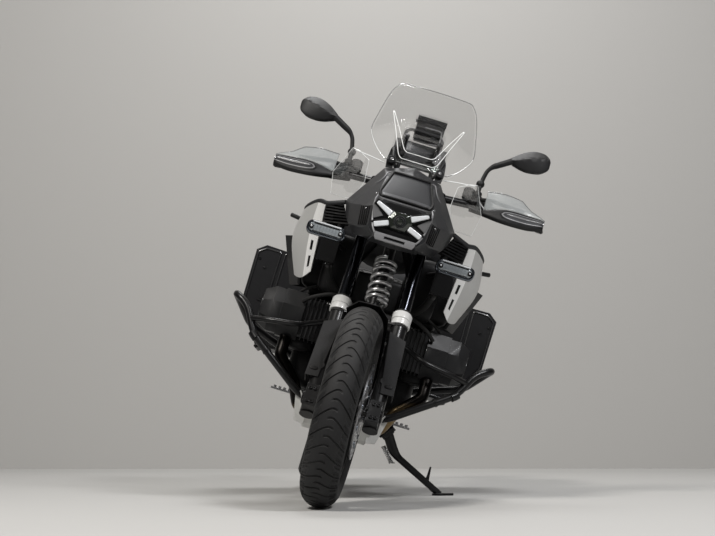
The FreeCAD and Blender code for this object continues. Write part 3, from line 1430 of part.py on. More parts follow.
@lru_cache(None)
def side_panels():
    """Pale folded panels beside the tank, each with two slots in its narrow front face."""
    panel = share_sheet(WING_ROW_SHARES, WING_LOW, WING_HIGH, V(-WING_THICKNESS, 0, 0))
    for along, up in WING_SLOT_PLACE_SHARES:
        x = between(WING_LOW.x, WING_HIGH.x, along)
        z = between(WING_LOW.z, WING_HIGH.z, up)
        y = WING_LOW.y - OVERRUN
        slot = prism(
            [
                V(x - WING_SLOT_HALF_WIDTH, y, z),
                V(x + WING_SLOT_HALF_WIDTH, y, z),
                V(x + WING_SLOT_HALF_WIDTH + WING_SLOT_LEAN, y, z + WING_SLOT_HEIGHT),
                V(x - WING_SLOT_HALF_WIDTH + WING_SLOT_LEAN, y, z + WING_SLOT_HEIGHT),
            ],
            V(0, (WING_HIGH.y - WING_LOW.y) * HALF * HALF * HALF + WING_SLOT_HEIGHT, 0),
        )
        panel = panel.cut(slot)
    pegs = [
        rod(V(WING_PEG_OUTER_X, y, z), V(WING_PEG_INNER_X, y, z), WING_PEG_RADIUS)
        for y, z in WING_PEG_PLACES
    ]
    left = fused([panel] + pegs).cut(fuel_tank()).cut(radiator_grilles())
    return pair(max(left.Solids, key=lambda s: s.Volume)).cut(fuel_tank())


FLANK_LOW = V(118.0, 560.0, 700.0)
FLANK_HIGH = V(375.0, 880.0, 900.0)
FLANK_THICKNESS = 8.0
FLANK_ROW_SHARES = (
    ((0.75, 0.1, 0.86), (0.72, 0.12, 0.45), (0.62, 0.16, 0.02)),
    ((1.0, 0.46, 0.84), (0.88, 0.46, 0.45), (0.74, 0.42, 0.0)),
    ((0.3, 0.8, 0.88), (0.3, 0.78, 0.5), (0.3, 0.7, 0.1)),
    ((0.0, 1.0, 0.86), (0.0, 1.0, 0.6), (0.0, 0.94, 0.3)),
)
FLANK_PEG_Z = 800.0
WINGLET_RADIUS = 8.0
WINGLET_START = V(300.0, 640.0, 930.0)
WINGLET_END = V(374.0, 690.0, 944.0)


def side_covers():
    """Dark flank panels pegged to the frame, and the winglets beside the tank."""
    panel = share_sheet(FLANK_ROW_SHARES, FLANK_LOW, FLANK_HIGH, V(-FLANK_THICKNESS, 0, 0))
    peg_end = V(FLANK_LOW.x, FRAME_BACK_Y, FLANK_PEG_Z)
    peg = rod(V(FRAME_HALF_WIDTH, FRAME_BACK_Y, FLANK_PEG_Z), peg_end, WING_PEG_RADIUS)
    winglet = rod(WINGLET_START, WINGLET_END, WINGLET_RADIUS).cut(side_panels())
    outermost = max(winglet.Solids, key=lambda s: s.BoundBox.XMax)
    left = fused([panel, peg]).cut(main_frame()).cut(side_panels())
    return Part.makeCompound([left, mirrored(left), outermost, mirrored(outermost)])


GRILLE_TOP_OUTER = V(246.0, 330.0, 986.0)
GRILLE_TOP_INNER = V(196.0, 300.0, 988.0)
GRILLE_LOW_INNER = V(160.0, 292.0, 922.0)
GRILLE_LOW_OUTER = V(234.0, 318.0, 912.0)
GRILLE_BACK_DEPTH = 34.0
GRILLE_BAR_DEPTH = 16.0
GRILLE_BAR_COUNT = 7
GRILLE_BAR_SHARE = 0.5
RADIATOR_LOW = V(172.0, 350.0, 786.0)
RADIATOR_HIGH = V(236.0, 386.0, 962.0)
RADIATOR_STAY_RADIUS = 9.0


def grille_corner(side, up):
    """Point on the grille's outer or inner edge at a share of its height."""
    low, high = (
        (GRILLE_LOW_OUTER, GRILLE_TOP_OUTER) if side else (GRILLE_LOW_INNER, GRILLE_TOP_INNER)
    )
    return low.add(high.sub(low).multiply(up))


def grille_slab(low_share, high_share, front, depth):
    """Slice of the grille between two shares of its height."""
    rows = [
        [grille_corner(side, up).add(V(0, front, 0)) for side in (0, 1)]
        for up in (low_share, high_share)
    ]
    return folded_sheet(rows, V(0, depth, 0))


@lru_cache(None)
def radiator_grilles():
    """Louvred air inlets in front of the radiators."""
    pitch = 1.0 / GRILLE_BAR_COUNT
    bars = [
        grille_slab(i * pitch, (i + GRILLE_BAR_SHARE) * pitch, 0, GRILLE_BAR_DEPTH + OVERRUN)
        for i in range(GRILLE_BAR_COUNT)
    ]
    back = grille_slab(0, 1, GRILLE_BAR_DEPTH, GRILLE_BACK_DEPTH)
    core = block(RADIATOR_LOW, RADIATOR_HIGH)
    root_x = RADIATOR_LOW.x + RADIATOR_STAY_RADIUS * 2
    root = V(root_x, RADIATOR_HIGH.y - RADIATOR_STAY_RADIUS, FRAME_RAIL_TOP_Z)
    stay_end = V(FRAME_HALF_WIDTH, FRAME_RAIL_FRONT_Y, FRAME_RAIL_TOP_Z - FRAME_TUBE_RADIUS)
    stay = rod(root, stay_end, RADIATOR_STAY_RADIUS)
    left = fused(bars + [back, core, stay]).cut(main_frame())
    return pair(max(left.Solids, key=lambda s: s.Volume))


NOSE_LOW = V(0.0, 44.0, 873.0)
NOSE_HIGH = V(192.0, 288.0, 1172.0)
NOSE_ROW_SHARES = (
    (
        (0.0, 0.0, 0.06), (0.36, 0.0, 0.03), (0.5, 0.0, 0.12),
        (0.52, 0.0, 0.34), (0.36, 0.0, 0.44), (0.0, 0.0, 0.44),
    ),
    (
        (0.0, 0.3, 0.0), (0.46, 0.3, 0.02), (0.6, 0.3, 0.1),
        (0.66, 0.3, 0.34), (0.5, 0.3, 0.5), (0.0, 0.3, 0.5),
    ),
    (
        (0.0, 0.64, 0.03), (0.7, 0.64, 0.04), (0.84, 0.64, 0.14),
        (0.9, 0.64, 0.36), (0.44, 0.64, 0.76), (0.0, 0.64, 0.78),
    ),
    (
        (0.0, 1.0, 0.12), (0.76, 1.0, 0.12), (0.94, 1.0, 0.26),
        (1.0, 1.0, 0.42), (0.52, 1.0, 0.9), (0.0, 1.0, 1.0),
    ),
)
BEAK_LOW = V(0.0, 10.0, 866.0)
BEAK_HIGH = V(84.0, 130.0, 892.0)
BEAK_ROW_SHARES = (
    ((0.0, 0.0, 0.2), (0.82, 0.0, 0.36), (0.82, 0.0, 1.0), (0.0, 0.0, 0.9)),
    ((0.0, 1.0, 0.0), (1.0, 1.0, 0.2), (1.0, 1.0, 1.0), (0.0, 1.0, 0.9)),
)
BEAK_SLOT_HALF_WIDTH = 34.0
BEAK_SLOT_HEIGHT = 7.0
BEAK_SLOT_DEPTH = 30.0
FORK_ROOM_GAP = 6.5
FORK_ROOM_WEB = 46.0


@lru_cache(None)
def nose_fairing():
    """Wedge-shaped nose with the slotted beak under the headlight."""
    nose = facet_loft(NOSE_ROW_SHARES, NOSE_LOW, NOSE_HIGH)
    beak = facet_loft(BEAK_ROW_SHARES, BEAK_LOW, BEAK_HIGH)
    slot_z = between(BEAK_LOW.z, BEAK_HIGH.z, HALF)
    slot = block(
        V(-BEAK_SLOT_HALF_WIDTH, BEAK_LOW.y - OVERRUN, slot_z),
        V(BEAK_SLOT_HALF_WIDTH, BEAK_LOW.y + BEAK_SLOT_DEPTH, slot_z + BEAK_SLOT_HEIGHT),
    )
    return fused([nose, beak]).cut(slot).cut(fork_room())


def fork_room():
    """Space swept by the fork tubes on both sides of the machine's middle."""
    radius = math.hypot(FORK_HALF_SPACING, FORK_OFFSET) + FORK_TUBE_RADIUS + FORK_ROOM_GAP
    top = TOP_BRIDGE_BOTTOM + TOP_BRIDGE_THICKNESS
    sweep = Part.makeCylinder(radius, top - COLLAR_BOTTOM, V(0, 0, COLLAR_BOTTOM), Z_AXIS)
    web = block(V(-FORK_ROOM_WEB, -radius, COLLAR_BOTTOM), V(FORK_ROOM_WEB, radius, top))
    return from_steering(sweep.cut(web))


LAMP_FRONT_Y = 22.0
LAMP_BACK_Y = 50.0
LAMP_CENTRE_Z = 953.0
LAMP_LENS_RADIUS = 33.0
LAMP_LENS_BULGE = 14.0
LAMP_ARM_HALF_WIDTH = 7.0
LAMP_ARM_DEPTH = 10.0
LAMP_TOP_TIP = V(86.0, 30.0, 992.0)
LAMP_LOW_TIP = V(76.0, 26.0, 917.0)
LAMP_HOUSING_SHARES = ((-1.0, 0.62), (-0.55, 1.0), (0.55, 1.0), (1.0, 0.62), (0.88, -0.9), (-0.88, -0.9))
LAMP_HOUSING_HALF_WIDTH = 92.0
LAMP_HOUSING_HALF_HEIGHT = 46.0


def headlight():
    """Headlight housing with four light bars in a cross and a round lens."""
    face = V(0, LAMP_FRONT_Y + LAMP_ARM_DEPTH, LAMP_CENTRE_Z)
    outline = [
        face.add(V(LAMP_HOUSING_HALF_WIDTH * a, 0, LAMP_HOUSING_HALF_HEIGHT * b))
        for a, b in LAMP_HOUSING_SHARES
    ]
    housing = prism(outline, V(0, LAMP_BACK_Y - LAMP_FRONT_Y - LAMP_ARM_DEPTH, 0))
    arms = []
    for tip in (LAMP_TOP_TIP, LAMP_LOW_TIP):
        run = V(tip.x, 0, tip.z - LAMP_CENTRE_Z)
        side = unit(V(-run.z, 0, run.x)).multiply(LAMP_ARM_HALF_WIDTH)
        root = V(0, LAMP_FRONT_Y, LAMP_CENTRE_Z)
        end = root.add(run)
        tip_side = V(side).multiply(HALF)
        corners = [root.sub(side), end.sub(tip_side), end.add(tip_side), root.add(side)]
        arm = prism(corners, V(0, LAMP_ARM_DEPTH + OVERRUN, 0))
        arms += [arm, mirrored(arm)]
    centre = V(0, LAMP_BACK_Y, LAMP_CENTRE_Z)
    bezel = Part.makeCylinder(LAMP_LENS_RADIUS, LAMP_BACK_Y - LAMP_FRONT_Y, centre, V(0, -1, 0))
    ball_radius = (LAMP_LENS_RADIUS ** 2 + LAMP_LENS_BULGE ** 2) / (2 * LAMP_LENS_BULGE)
    ball = Part.makeSphere(ball_radius, V(0, LAMP_FRONT_Y - LAMP_LENS_BULGE + ball_radius, LAMP_CENTRE_Z))
    lens = ball.common(Part.makeCylinder(LAMP_LENS_RADIUS, LAMP_BACK_Y, centre, V(0, -1, 0)))
    return fused([housing, bezel, lens] + arms).cut(nose_fairing())


SCREEN_PLATE_LOW = V(0.0, 102.0, 1016.0)
SCREEN_PLATE_HIGH = V(90.0, 232.0, 1122.0)
SCREEN_PLATE_SHARES = ((0.0, 0.0), (0.96, 0.08), (1.0, 0.2), (0.72, 1.0))
SCREEN_PLATE_THICKNESS = 7.0


def nose_screen():
    """Dark glossy panel that slopes up from the headlight."""
    left = [
        V(
            SCREEN_PLATE_HIGH.x * a,
            between(SCREEN_PLATE_LOW.y, SCREEN_PLATE_HIGH.y, b),
            between(SCREEN_PLATE_LOW.z, SCREEN_PLATE_HIGH.z, b),
        )
        for a, b in SCREEN_PLATE_SHARES
    ]
    outline = left + [V(-p.x, p.y, p.z) for p in reversed(left) if p.x > 0]
    slope = SCREEN_PLATE_HIGH.sub(SCREEN_PLATE_LOW)
    up = unit(V(0, -slope.z, slope.y)).multiply(SCREEN_PLATE_THICKNESS)
    under = V(up).multiply(-2)
    plate = prism([p.add(under) for p in outline], up.sub(under))
    return plate.cut(nose_fairing())


SCREEN_THICKNESS = 4.0
SCREEN_BOW = 42.0
SCREEN_BOTTOM_Z = 1176.0
SCREEN_TOP_Z = 1482.0
SCREEN_BOTTOM_Y = 282.0
SCREEN_TOP_Y = 462.0
SCREEN_HALF_WIDTH = 182.0
SCREEN_STATION_SHARES = (
    (0.0, 0.0, 0.52, 0.24), (0.1, 0.06, 0.8, 0.62), (0.3, 0.2, 1.0, 1.0), (0.52, 0.42, 0.97, 0.95),
    (0.84, 0.8, 0.86, 0.62), (1.0, 1.0, 0.68, 0.4),
)


def screen_centre_y(z):
    """Front of the windscreen on the centre line at one height."""
    up = (z - SCREEN_BOTTOM_Z) / (SCREEN_TOP_Z - SCREEN_BOTTOM_Z)
    rows = SCREEN_STATION_SHARES
    for low, high in zip(rows, rows[1:]):
        if up <= high[0]:
            share = (up - low[0]) / (high[0] - low[0])
            return between(SCREEN_BOTTOM_Y, SCREEN_TOP_Y, between(low[1], high[1], share))
    return SCREEN_TOP_Y


def screen_wire(y, z, half_width, bow, thickness):
    """Bowed thin section of the windscreen at one height."""
    def bowed(x, back):
        return V(x, y + back + bow * (x / half_width) ** 2, z)

    def arc(back):
        return Part.Arc(bowed(-half_width, back), bowed(0, back), bowed(half_width, back)).toShape()

    return Part.Wire(
        [
            arc(0),
            Part.makeLine(bowed(half_width, 0), bowed(half_width, thickness)),
            arc(thickness),
            Part.makeLine(bowed(-half_width, thickness), bowed(-half_width, 0)),
        ]
    )


@lru_cache(None)
def windshield_blank():
    """Windscreen: a tall sheet, bowed around the rider and leaning back."""
    wires = []
    for up, back, wide, bow in SCREEN_STATION_SHARES:
        wires.append(
            screen_wire(
                between(SCREEN_BOTTOM_Y, SCREEN_TOP_Y, back),
                between(SCREEN_BOTTOM_Z, SCREEN_TOP_Z, up),
                SCREEN_HALF_WIDTH * wide,
                SCREEN_BOW * bow,
                SCREEN_THICKNESS,
            )
        )
    return loft(wires, ruled=True)


def windshield():
    """The clear windscreen."""
    return windshield_blank()


DEFLECTOR_LOW = V(150.0, 288.3, 1008.0)
DEFLECTOR_HIGH = V(268.0, 336.0, 1186.0)
DEFLECTOR_THICKNESS = 4.0
DEFLECTOR_ROW_SHARES = (
    ((0.2, 0.0, 0.0), (0.0, 0.0, 0.4), (0.06, 0.1, 0.82)),
    ((0.55, 0.5, 0.0), (0.5, 0.5, 0.45), (0.4, 0.5, 0.96)),
    ((0.86, 1.0, 0.02), (0.98, 1.0, 0.44), (0.62, 0.9, 1.0)),
)


def wind_deflectors():
    """Clear side deflectors behind the nose."""
    sheet = share_sheet(DEFLECTOR_ROW_SHARES, DEFLECTOR_LOW, DEFLECTOR_HIGH, V(0, DEFLECTOR_THICKNESS, 0))
    return pair(sheet)


DISPLAY_HALF_WIDTH = 92.0
DISPLAY_Z = 1232.0
DISPLAY_HEIGHT = 92.0
DISPLAY_Y = 374.0
DISPLAY_DEPTH = 22.0
DISPLAY_LEAN = 34.0
DISPLAY_CORNER = 9.0
HOLDER_X = 12.0
HOLDER_HALF_WIDTH = 50.0
HOLDER_BOTTOM_Z = 1290.0
HOLDER_TOP_Z = 1376.0
HOLDER_Y = 420.0
HOLDER_DEPTH = 26.0
HOOP_RADIUS = 6.0
HOOP_HALF_WIDTH = 66.0
HOOP_TOP_Z = 1322.0
HOOP_BOTTOM_Z = 1228.0
HOOP_BEND = 22.0


@lru_cache(None)
def cockpit_display():
    """Instrument screen behind the windscreen, with the hoop and holder for a navigation unit."""
    top = DISPLAY_Z + DISPLAY_HEIGHT * HALF
    panel = loft(
        [
            closed_wire(
                [
                    V(-DISPLAY_HALF_WIDTH, DISPLAY_Y + d, DISPLAY_Z - DISPLAY_HEIGHT * HALF),
                    V(DISPLAY_HALF_WIDTH, DISPLAY_Y + d, DISPLAY_Z - DISPLAY_HEIGHT * HALF),
                    V(DISPLAY_HALF_WIDTH, DISPLAY_Y + d + DISPLAY_LEAN, top),
                    V(-DISPLAY_HALF_WIDTH, DISPLAY_Y + d + DISPLAY_LEAN, top),
                ]
            )
            for d in (0, DISPLAY_DEPTH)
        ],
        ruled=True,
    )
    post_y = DISPLAY_Y + DISPLAY_LEAN * HALF + DISPLAY_DEPTH * HALF
    hoop = bent_tube(
        [
            V(0, post_y, HOOP_BOTTOM_Z),
            V(HOOP_HALF_WIDTH, post_y, HOOP_BOTTOM_Z),
            V(HOOP_HALF_WIDTH, HOLDER_Y, HOOP_TOP_Z),
            V(0, HOLDER_Y, HOOP_TOP_Z),
        ],
        HOOP_RADIUS,
        HOOP_BEND,
    )
    holder = rounded_prism(
        [
            V(HOLDER_X - HOLDER_HALF_WIDTH, HOLDER_Y, HOLDER_BOTTOM_Z),
            V(HOLDER_X + HOLDER_HALF_WIDTH, HOLDER_Y, HOLDER_BOTTOM_Z),
            V(HOLDER_X + HOLDER_HALF_WIDTH, HOLDER_Y, HOLDER_TOP_Z),
            V(HOLDER_X - HOLDER_HALF_WIDTH, HOLDER_Y, HOLDER_TOP_Z),
        ],
        DISPLAY_CORNER,
        V(0, HOLDER_DEPTH, 0),
    )
    arm_z = between(DISPLAY_Z, DISPLAY_Z - DISPLAY_HEIGHT * HALF, HALF)
    arm = rod(V(0, post_y, arm_z), V(STAY_X, DISPLAY_Y - STAY_RADIUS, arm_z), STAY_RADIUS)
    shape = fused([panel, hoop, mirrored(hoop), holder, arm, mirrored(arm)])
    return shape.cut(main_frame())


FOG_X = 224.0
FOG_Y = 196.0
FOG_Z = 869.0
FOG_HALF_WIDTH = 66.0
FOG_HALF_HEIGHT = 23.0
FOG_DEPTH = 52.0
FOG_CORNER = 18.0
FOG_BEZEL = 5.0
FOG_TAPER_SHARE = 0.7
FOG_ARM_RADIUS = 9.0


def fog_lamps():
    """Oblong auxiliary lamps on short arms under the grilles."""
    def ring(y, share):
        half_width = FOG_HALF_WIDTH * share
        half_height = FOG_HALF_HEIGHT * share
        return rounded_wire(
            [
                V(FOG_X - half_width, y, FOG_Z - half_height),
                V(FOG_X + half_width, y, FOG_Z - half_height),
                V(FOG_X + half_width, y, FOG_Z + half_height),
                V(FOG_X - half_width, y, FOG_Z + half_height),
            ],
            FOG_CORNER * share,
        )

    front = Part.Face(ring(FOG_Y, 1)).extrude(V(0, FOG_DEPTH * HALF, 0))
    back = loft([ring(FOG_Y + FOG_DEPTH * HALF, 1), ring(FOG_Y + FOG_DEPTH, FOG_TAPER_SHARE)])
    recess_share = 1 - 2 * FOG_BEZEL / FOG_HALF_WIDTH
    recess = Part.Face(ring(FOG_Y - OVERRUN, recess_share)).extrude(V(0, FOG_BEZEL + OVERRUN, 0))
    foot = grille_corner(0, HALF * HALF)
    foot = V(foot.x + FOG_ARM_RADIUS * 2, foot.y + GRILLE_BAR_DEPTH + OVERRUN, foot.z - FOG_ARM_RADIUS * 3)
    arm = rod(V(foot.x, FOG_Y + FOG_DEPTH * HALF, FOG_Z), foot, FOG_ARM_RADIUS)
    left = fused([front, back, arm]).cut(recess).cut(radiator_grilles())
    return pair(max(left.Solids, key=lambda s: s.Volume))


BAR_TUBE_RADIUS = 13.0
BAR_CROSS_RADIUS = 10.0
BAR_LOOP_BEND = 34.0
BAR_LOOP = (
    V(112.0, 470.0, 322.0),
    V(160.0, 436.0, 334.0),
    V(291.0, 452.0, 428.0),
    V(366.0, 470.0, 482.0),
    V(414.0, 498.0, 572.0),
    V(470.0, 520.0, 606.0),
    V(462.0, 590.0, 596.0),
    V(400.0, 690.0, 520.0),
    V(112.0, 760.0, 420.0),
)
BAR_CROSS = (
    V(396.0, 486.0, 532.0),
    V(335.0, 440.0, 542.0),
    V(225.0, 424.0, 556.0),
    V(112.0, 500.0, 610.0),
)


def crash_bars():
    """Tubular loops around both cylinders with a cross tube in front of each."""
    loop = bent_tube(BAR_LOOP, BAR_TUBE_RADIUS, BAR_LOOP_BEND)
    cross = bent_tube(BAR_CROSS, BAR_CROSS_RADIUS, BAR_LOOP_BEND)
    left = fused([loop, cross]).cut(crankcase()).cut(cylinders())
    both = pair(max(left.Solids, key=lambda s: s.Volume)).cut(skid_plate())
    return Part.makeCompound(sorted(both.Solids, key=lambda s: s.Volume)[-2:])


SEAT_SQUARE = 5.0
RIDER_SEAT_FRONT_Y = 858.0
RIDER_SEAT_BACK_Y = 1186.0
RIDER_SEAT_TOP_Z = 884.0
RIDER_SEAT_HALF_WIDTH = 158.0
RIDER_SEAT_STATION_SHARES = (
    (0.0, 0.55, 0.5), (0.2, 0.62, 0.62), (0.55, 0.7, 0.9), (0.85, 0.84, 1.0), (1.0, 1.0, 0.96),
)
PILLION_FRONT_Y = 1188.0
PILLION_BACK_Y = 1500.0
PILLION_TOP_Z = 952.0
PILLION_HALF_WIDTH = 140.0
PILLION_STATION_SHARES = ((0.0, 0.82, 1.0), (0.3, 0.9, 0.98), (0.7, 1.0, 0.86), (1.0, 0.9, 0.7))


def seat(front, back, top, half_width, shares):
    """Cushion whose underside follows the seat rails."""
    wires = []
    for along, high, wide in shares:
        y = between(front, back, along)
        low = rail_z(y) + SUBFRAME_RADIUS + SEAT_GAP
        z_high = between(low, top, high)
        centre = V(0, y, between(low, z_high, HALF))
        wires.append(round_section(centre, half_width * wide, (z_high - low) * HALF, SEAT_SQUARE))
    return loft(wires, ruled=True)


def rider_seat():
    """Front seat, dished for the rider."""
    return seat(
        RIDER_SEAT_FRONT_Y,
        RIDER_SEAT_BACK_Y,
        RIDER_SEAT_TOP_Z,
        RIDER_SEAT_HALF_WIDTH,
        RIDER_SEAT_STATION_SHARES,
    )


def pillion_seat():
    """Raised back seat for the passenger."""
    return seat(PILLION_FRONT_Y, PILLION_BACK_Y, PILLION_TOP_Z, PILLION_HALF_WIDTH, PILLION_STATION_SHARES)


RACK_FRONT_Y = 1512.0
RACK_BACK_Y = 1762.0
RACK_TOP_Z = 968.0
RACK_THICKNESS = 12.0
RACK_HALF_WIDTH = 92.0
RACK_CORNER = 24.0
RACK_SLOTS = 3
RACK_SLOT_WIDTH = 24.0
RACK_POST_RADIUS = 11.0
GRAB_RADIUS = 11.0
GRAB_HALF_WIDTH = 150.0
GRAB_FRONT_Y = 1400.0
GRAB_BEND = 40.0


def luggage_rack():
    """Slotted rack plate on posts with a grab handle along each side."""
    outline = [
        V(-RACK_HALF_WIDTH, RACK_FRONT_Y, RACK_TOP_Z - RACK_THICKNESS),
        V(RACK_HALF_WIDTH, RACK_FRONT_Y, RACK_TOP_Z - RACK_THICKNESS),
        V(RACK_HALF_WIDTH, RACK_BACK_Y, RACK_TOP_Z - RACK_THICKNESS),
        V(-RACK_HALF_WIDTH, RACK_BACK_Y, RACK_TOP_Z - RACK_THICKNESS),
    ]
    plate = rounded_prism(outline, RACK_CORNER, V(0, 0, RACK_THICKNESS))
    pitch = (2 * RACK_HALF_WIDTH) / (RACK_SLOTS + 1)
    slot_low_z = RACK_TOP_Z - RACK_THICKNESS - OVERRUN
    for i in range(RACK_SLOTS):
        x = -RACK_HALF_WIDTH + pitch * (i + 1)
        plate = plate.cut(
            block(
                V(x - RACK_SLOT_WIDTH * HALF, RACK_FRONT_Y + RACK_CORNER * 2, slot_low_z),
                V(x + RACK_SLOT_WIDTH * HALF, RACK_BACK_Y - RACK_CORNER * 2, RACK_TOP_Z + OVERRUN),
            )
        )
    posts = []
    post_x = TAIL_HALF_WIDTH - RACK_POST_RADIUS
    for y in (RACK_FRONT_Y + RACK_CORNER, RACK_BACK_Y - RACK_CORNER * 2):
        foot = V(post_x, y, TAIL_TOP_Z - RACK_POST_RADIUS)
        posts.append(rod(foot, V(post_x, y, RACK_TOP_Z - RACK_THICKNESS * HALF), RACK_POST_RADIUS))
    handle_z = RACK_TOP_Z - RACK_THICKNESS * HALF
    handle = bent_tube(
        [
            V(SUBFRAME_HALF_WIDTH, GRAB_FRONT_Y, rail_z(GRAB_FRONT_Y)),
            V(GRAB_HALF_WIDTH + GRAB_RADIUS, GRAB_FRONT_Y, rail_z(GRAB_FRONT_Y)),
            V(GRAB_HALF_WIDTH + GRAB_RADIUS, RACK_FRONT_Y, handle_z),
            V(GRAB_HALF_WIDTH, RACK_BACK_Y - RACK_CORNER * 2, handle_z),
            V(0, RACK_BACK_Y - RACK_CORNER * 2, handle_z),
        ],
        GRAB_RADIUS * HALF + RACK_THICKNESS * HALF * HALF,
        GRAB_BEND,
    )
    other_posts = [mirrored(post) for post in posts]
    return fused([plate, handle, mirrored(handle)] + posts + other_posts).cut(rear_subframe())


TAIL_LAMP_HALF_WIDTH = 58.0
TAIL_LAMP_DEPTH = 30.0
TAIL_LAMP_HEIGHT = 34.0


def tail_lamp():
    """Rear lamp on the end of the tail box."""
    z = TAIL_BOTTOM_Z + SUBFRAME_RADIUS + OVERRUN
    return rounded_prism(
        [
            V(-TAIL_LAMP_HALF_WIDTH, TAIL_BACK_Y, z),
            V(TAIL_LAMP_HALF_WIDTH, TAIL_BACK_Y, z),
            V(TAIL_LAMP_HALF_WIDTH, TAIL_BACK_Y, z + TAIL_LAMP_HEIGHT),
            V(-TAIL_LAMP_HALF_WIDTH, TAIL_BACK_Y, z + TAIL_LAMP_HEIGHT),
        ],
        TAIL_LAMP_HEIGHT / 4,
        V(0, TAIL_LAMP_DEPTH, 0),
    )


FENDER_LOW = V(0.0, 1690.0, 560.0)
FENDER_HIGH = V(84.0, 1886.0, 868.0)
FENDER_THICKNESS = 6.0
FENDER_ROW_SHARES = (
    ((0.8, 0.0, 1.0), (-0.8, 0.0, 1.0)),
    ((0.7, 0.3, 1.0), (-0.7, 0.3, 1.0)),
    ((0.8, 0.62, 0.66), (-0.8, 0.62, 0.66)),
    ((1.0, 0.97, 0.0), (-1.0, 0.97, 0.0)),
)
INDICATOR_X = 150.0
INDICATOR_RADIUS = 15.0
INDICATOR_STEM_RADIUS = 7.0
INDICATOR_LENGTH = 64.0
INDICATOR_PLACE_SHARES = (0.46, 0.83)


def rear_mudguard():
    """Number-plate carrier and rear mudguard with the rear direction lamps."""
    inward = V(0, -FENDER_THICKNESS, -FENDER_THICKNESS)
    plate = share_sheet(FENDER_ROW_SHARES, FENDER_LOW, FENDER_HIGH, inward)
    y = between(FENDER_LOW.y, FENDER_HIGH.y, INDICATOR_PLACE_SHARES[0])
    z = between(FENDER_LOW.z, FENDER_HIGH.z, INDICATOR_PLACE_SHARES[1]) - FENDER_THICKNESS
    stem = rod(V(0, y, z), V(INDICATOR_X, y, z), INDICATOR_STEM_RADIUS)
    lamp = rod(
        V(INDICATOR_X - INDICATOR_LENGTH * HALF, y, z),
        V(INDICATOR_X + INDICATOR_LENGTH * HALF, y, z),
        INDICATOR_RADIUS,
    )
    carrier = block(
        V(-TAIL_HALF_WIDTH, FENDER_LOW.y, FENDER_HIGH.z - FENDER_THICKNESS),
        V(TAIL_HALF_WIDTH, TAIL_BACK_Y - SUBFRAME_RADIUS, TAIL_BOTTOM_Z + SUBFRAME_RADIUS),
    )
    return fused([plate, stem, lamp, mirrored(stem), mirrored(lamp), carrier]).cut(rear_subframe())


SWINGARM_PIVOT_Z = 420.0
SWINGARM_START_Y = 1000.0
SWINGARM_X = 120.0
SWINGARM_STATIONS = (
    (0.0, 66.0, 30.0, 62.0),
    (0.22, 118.0, 30.0, 50.0),
    (0.6, 124.0, 27.0, 42.0),
    (1.0, 122.0, 27.0, 52.0),
)
FINAL_DRIVE_RADIUS = 92.0
FINAL_DRIVE_INNER_X = 38.0
FINAL_DRIVE_OUTER_X = 128.0
FINAL_DRIVE_CAP_RADIUS = 62.0
FINAL_DRIVE_CAP_DEPTH = 12.0
SPINDLE_END_X = -46.0
SPINDLE_BORE_RADIUS = 14.0
REAR_CALIPER_ANGLE_DEG = 52.0
REAR_CALIPER_LENGTH = 96.0
REAR_CALIPER_INNER_X = 8.0
SHOCK_LOW = V(24.0, 1120.0, 452.0)
SHOCK_HIGH = V(0.0, 1018.0, 780.0)
SHOCK_EYE_RADIUS = 17.0
SHOCK_BODY_RADIUS = 24.0
SHOCK_SPRING_RADIUS = 34.0
SPRING_WIRE_RADIUS = 5.5


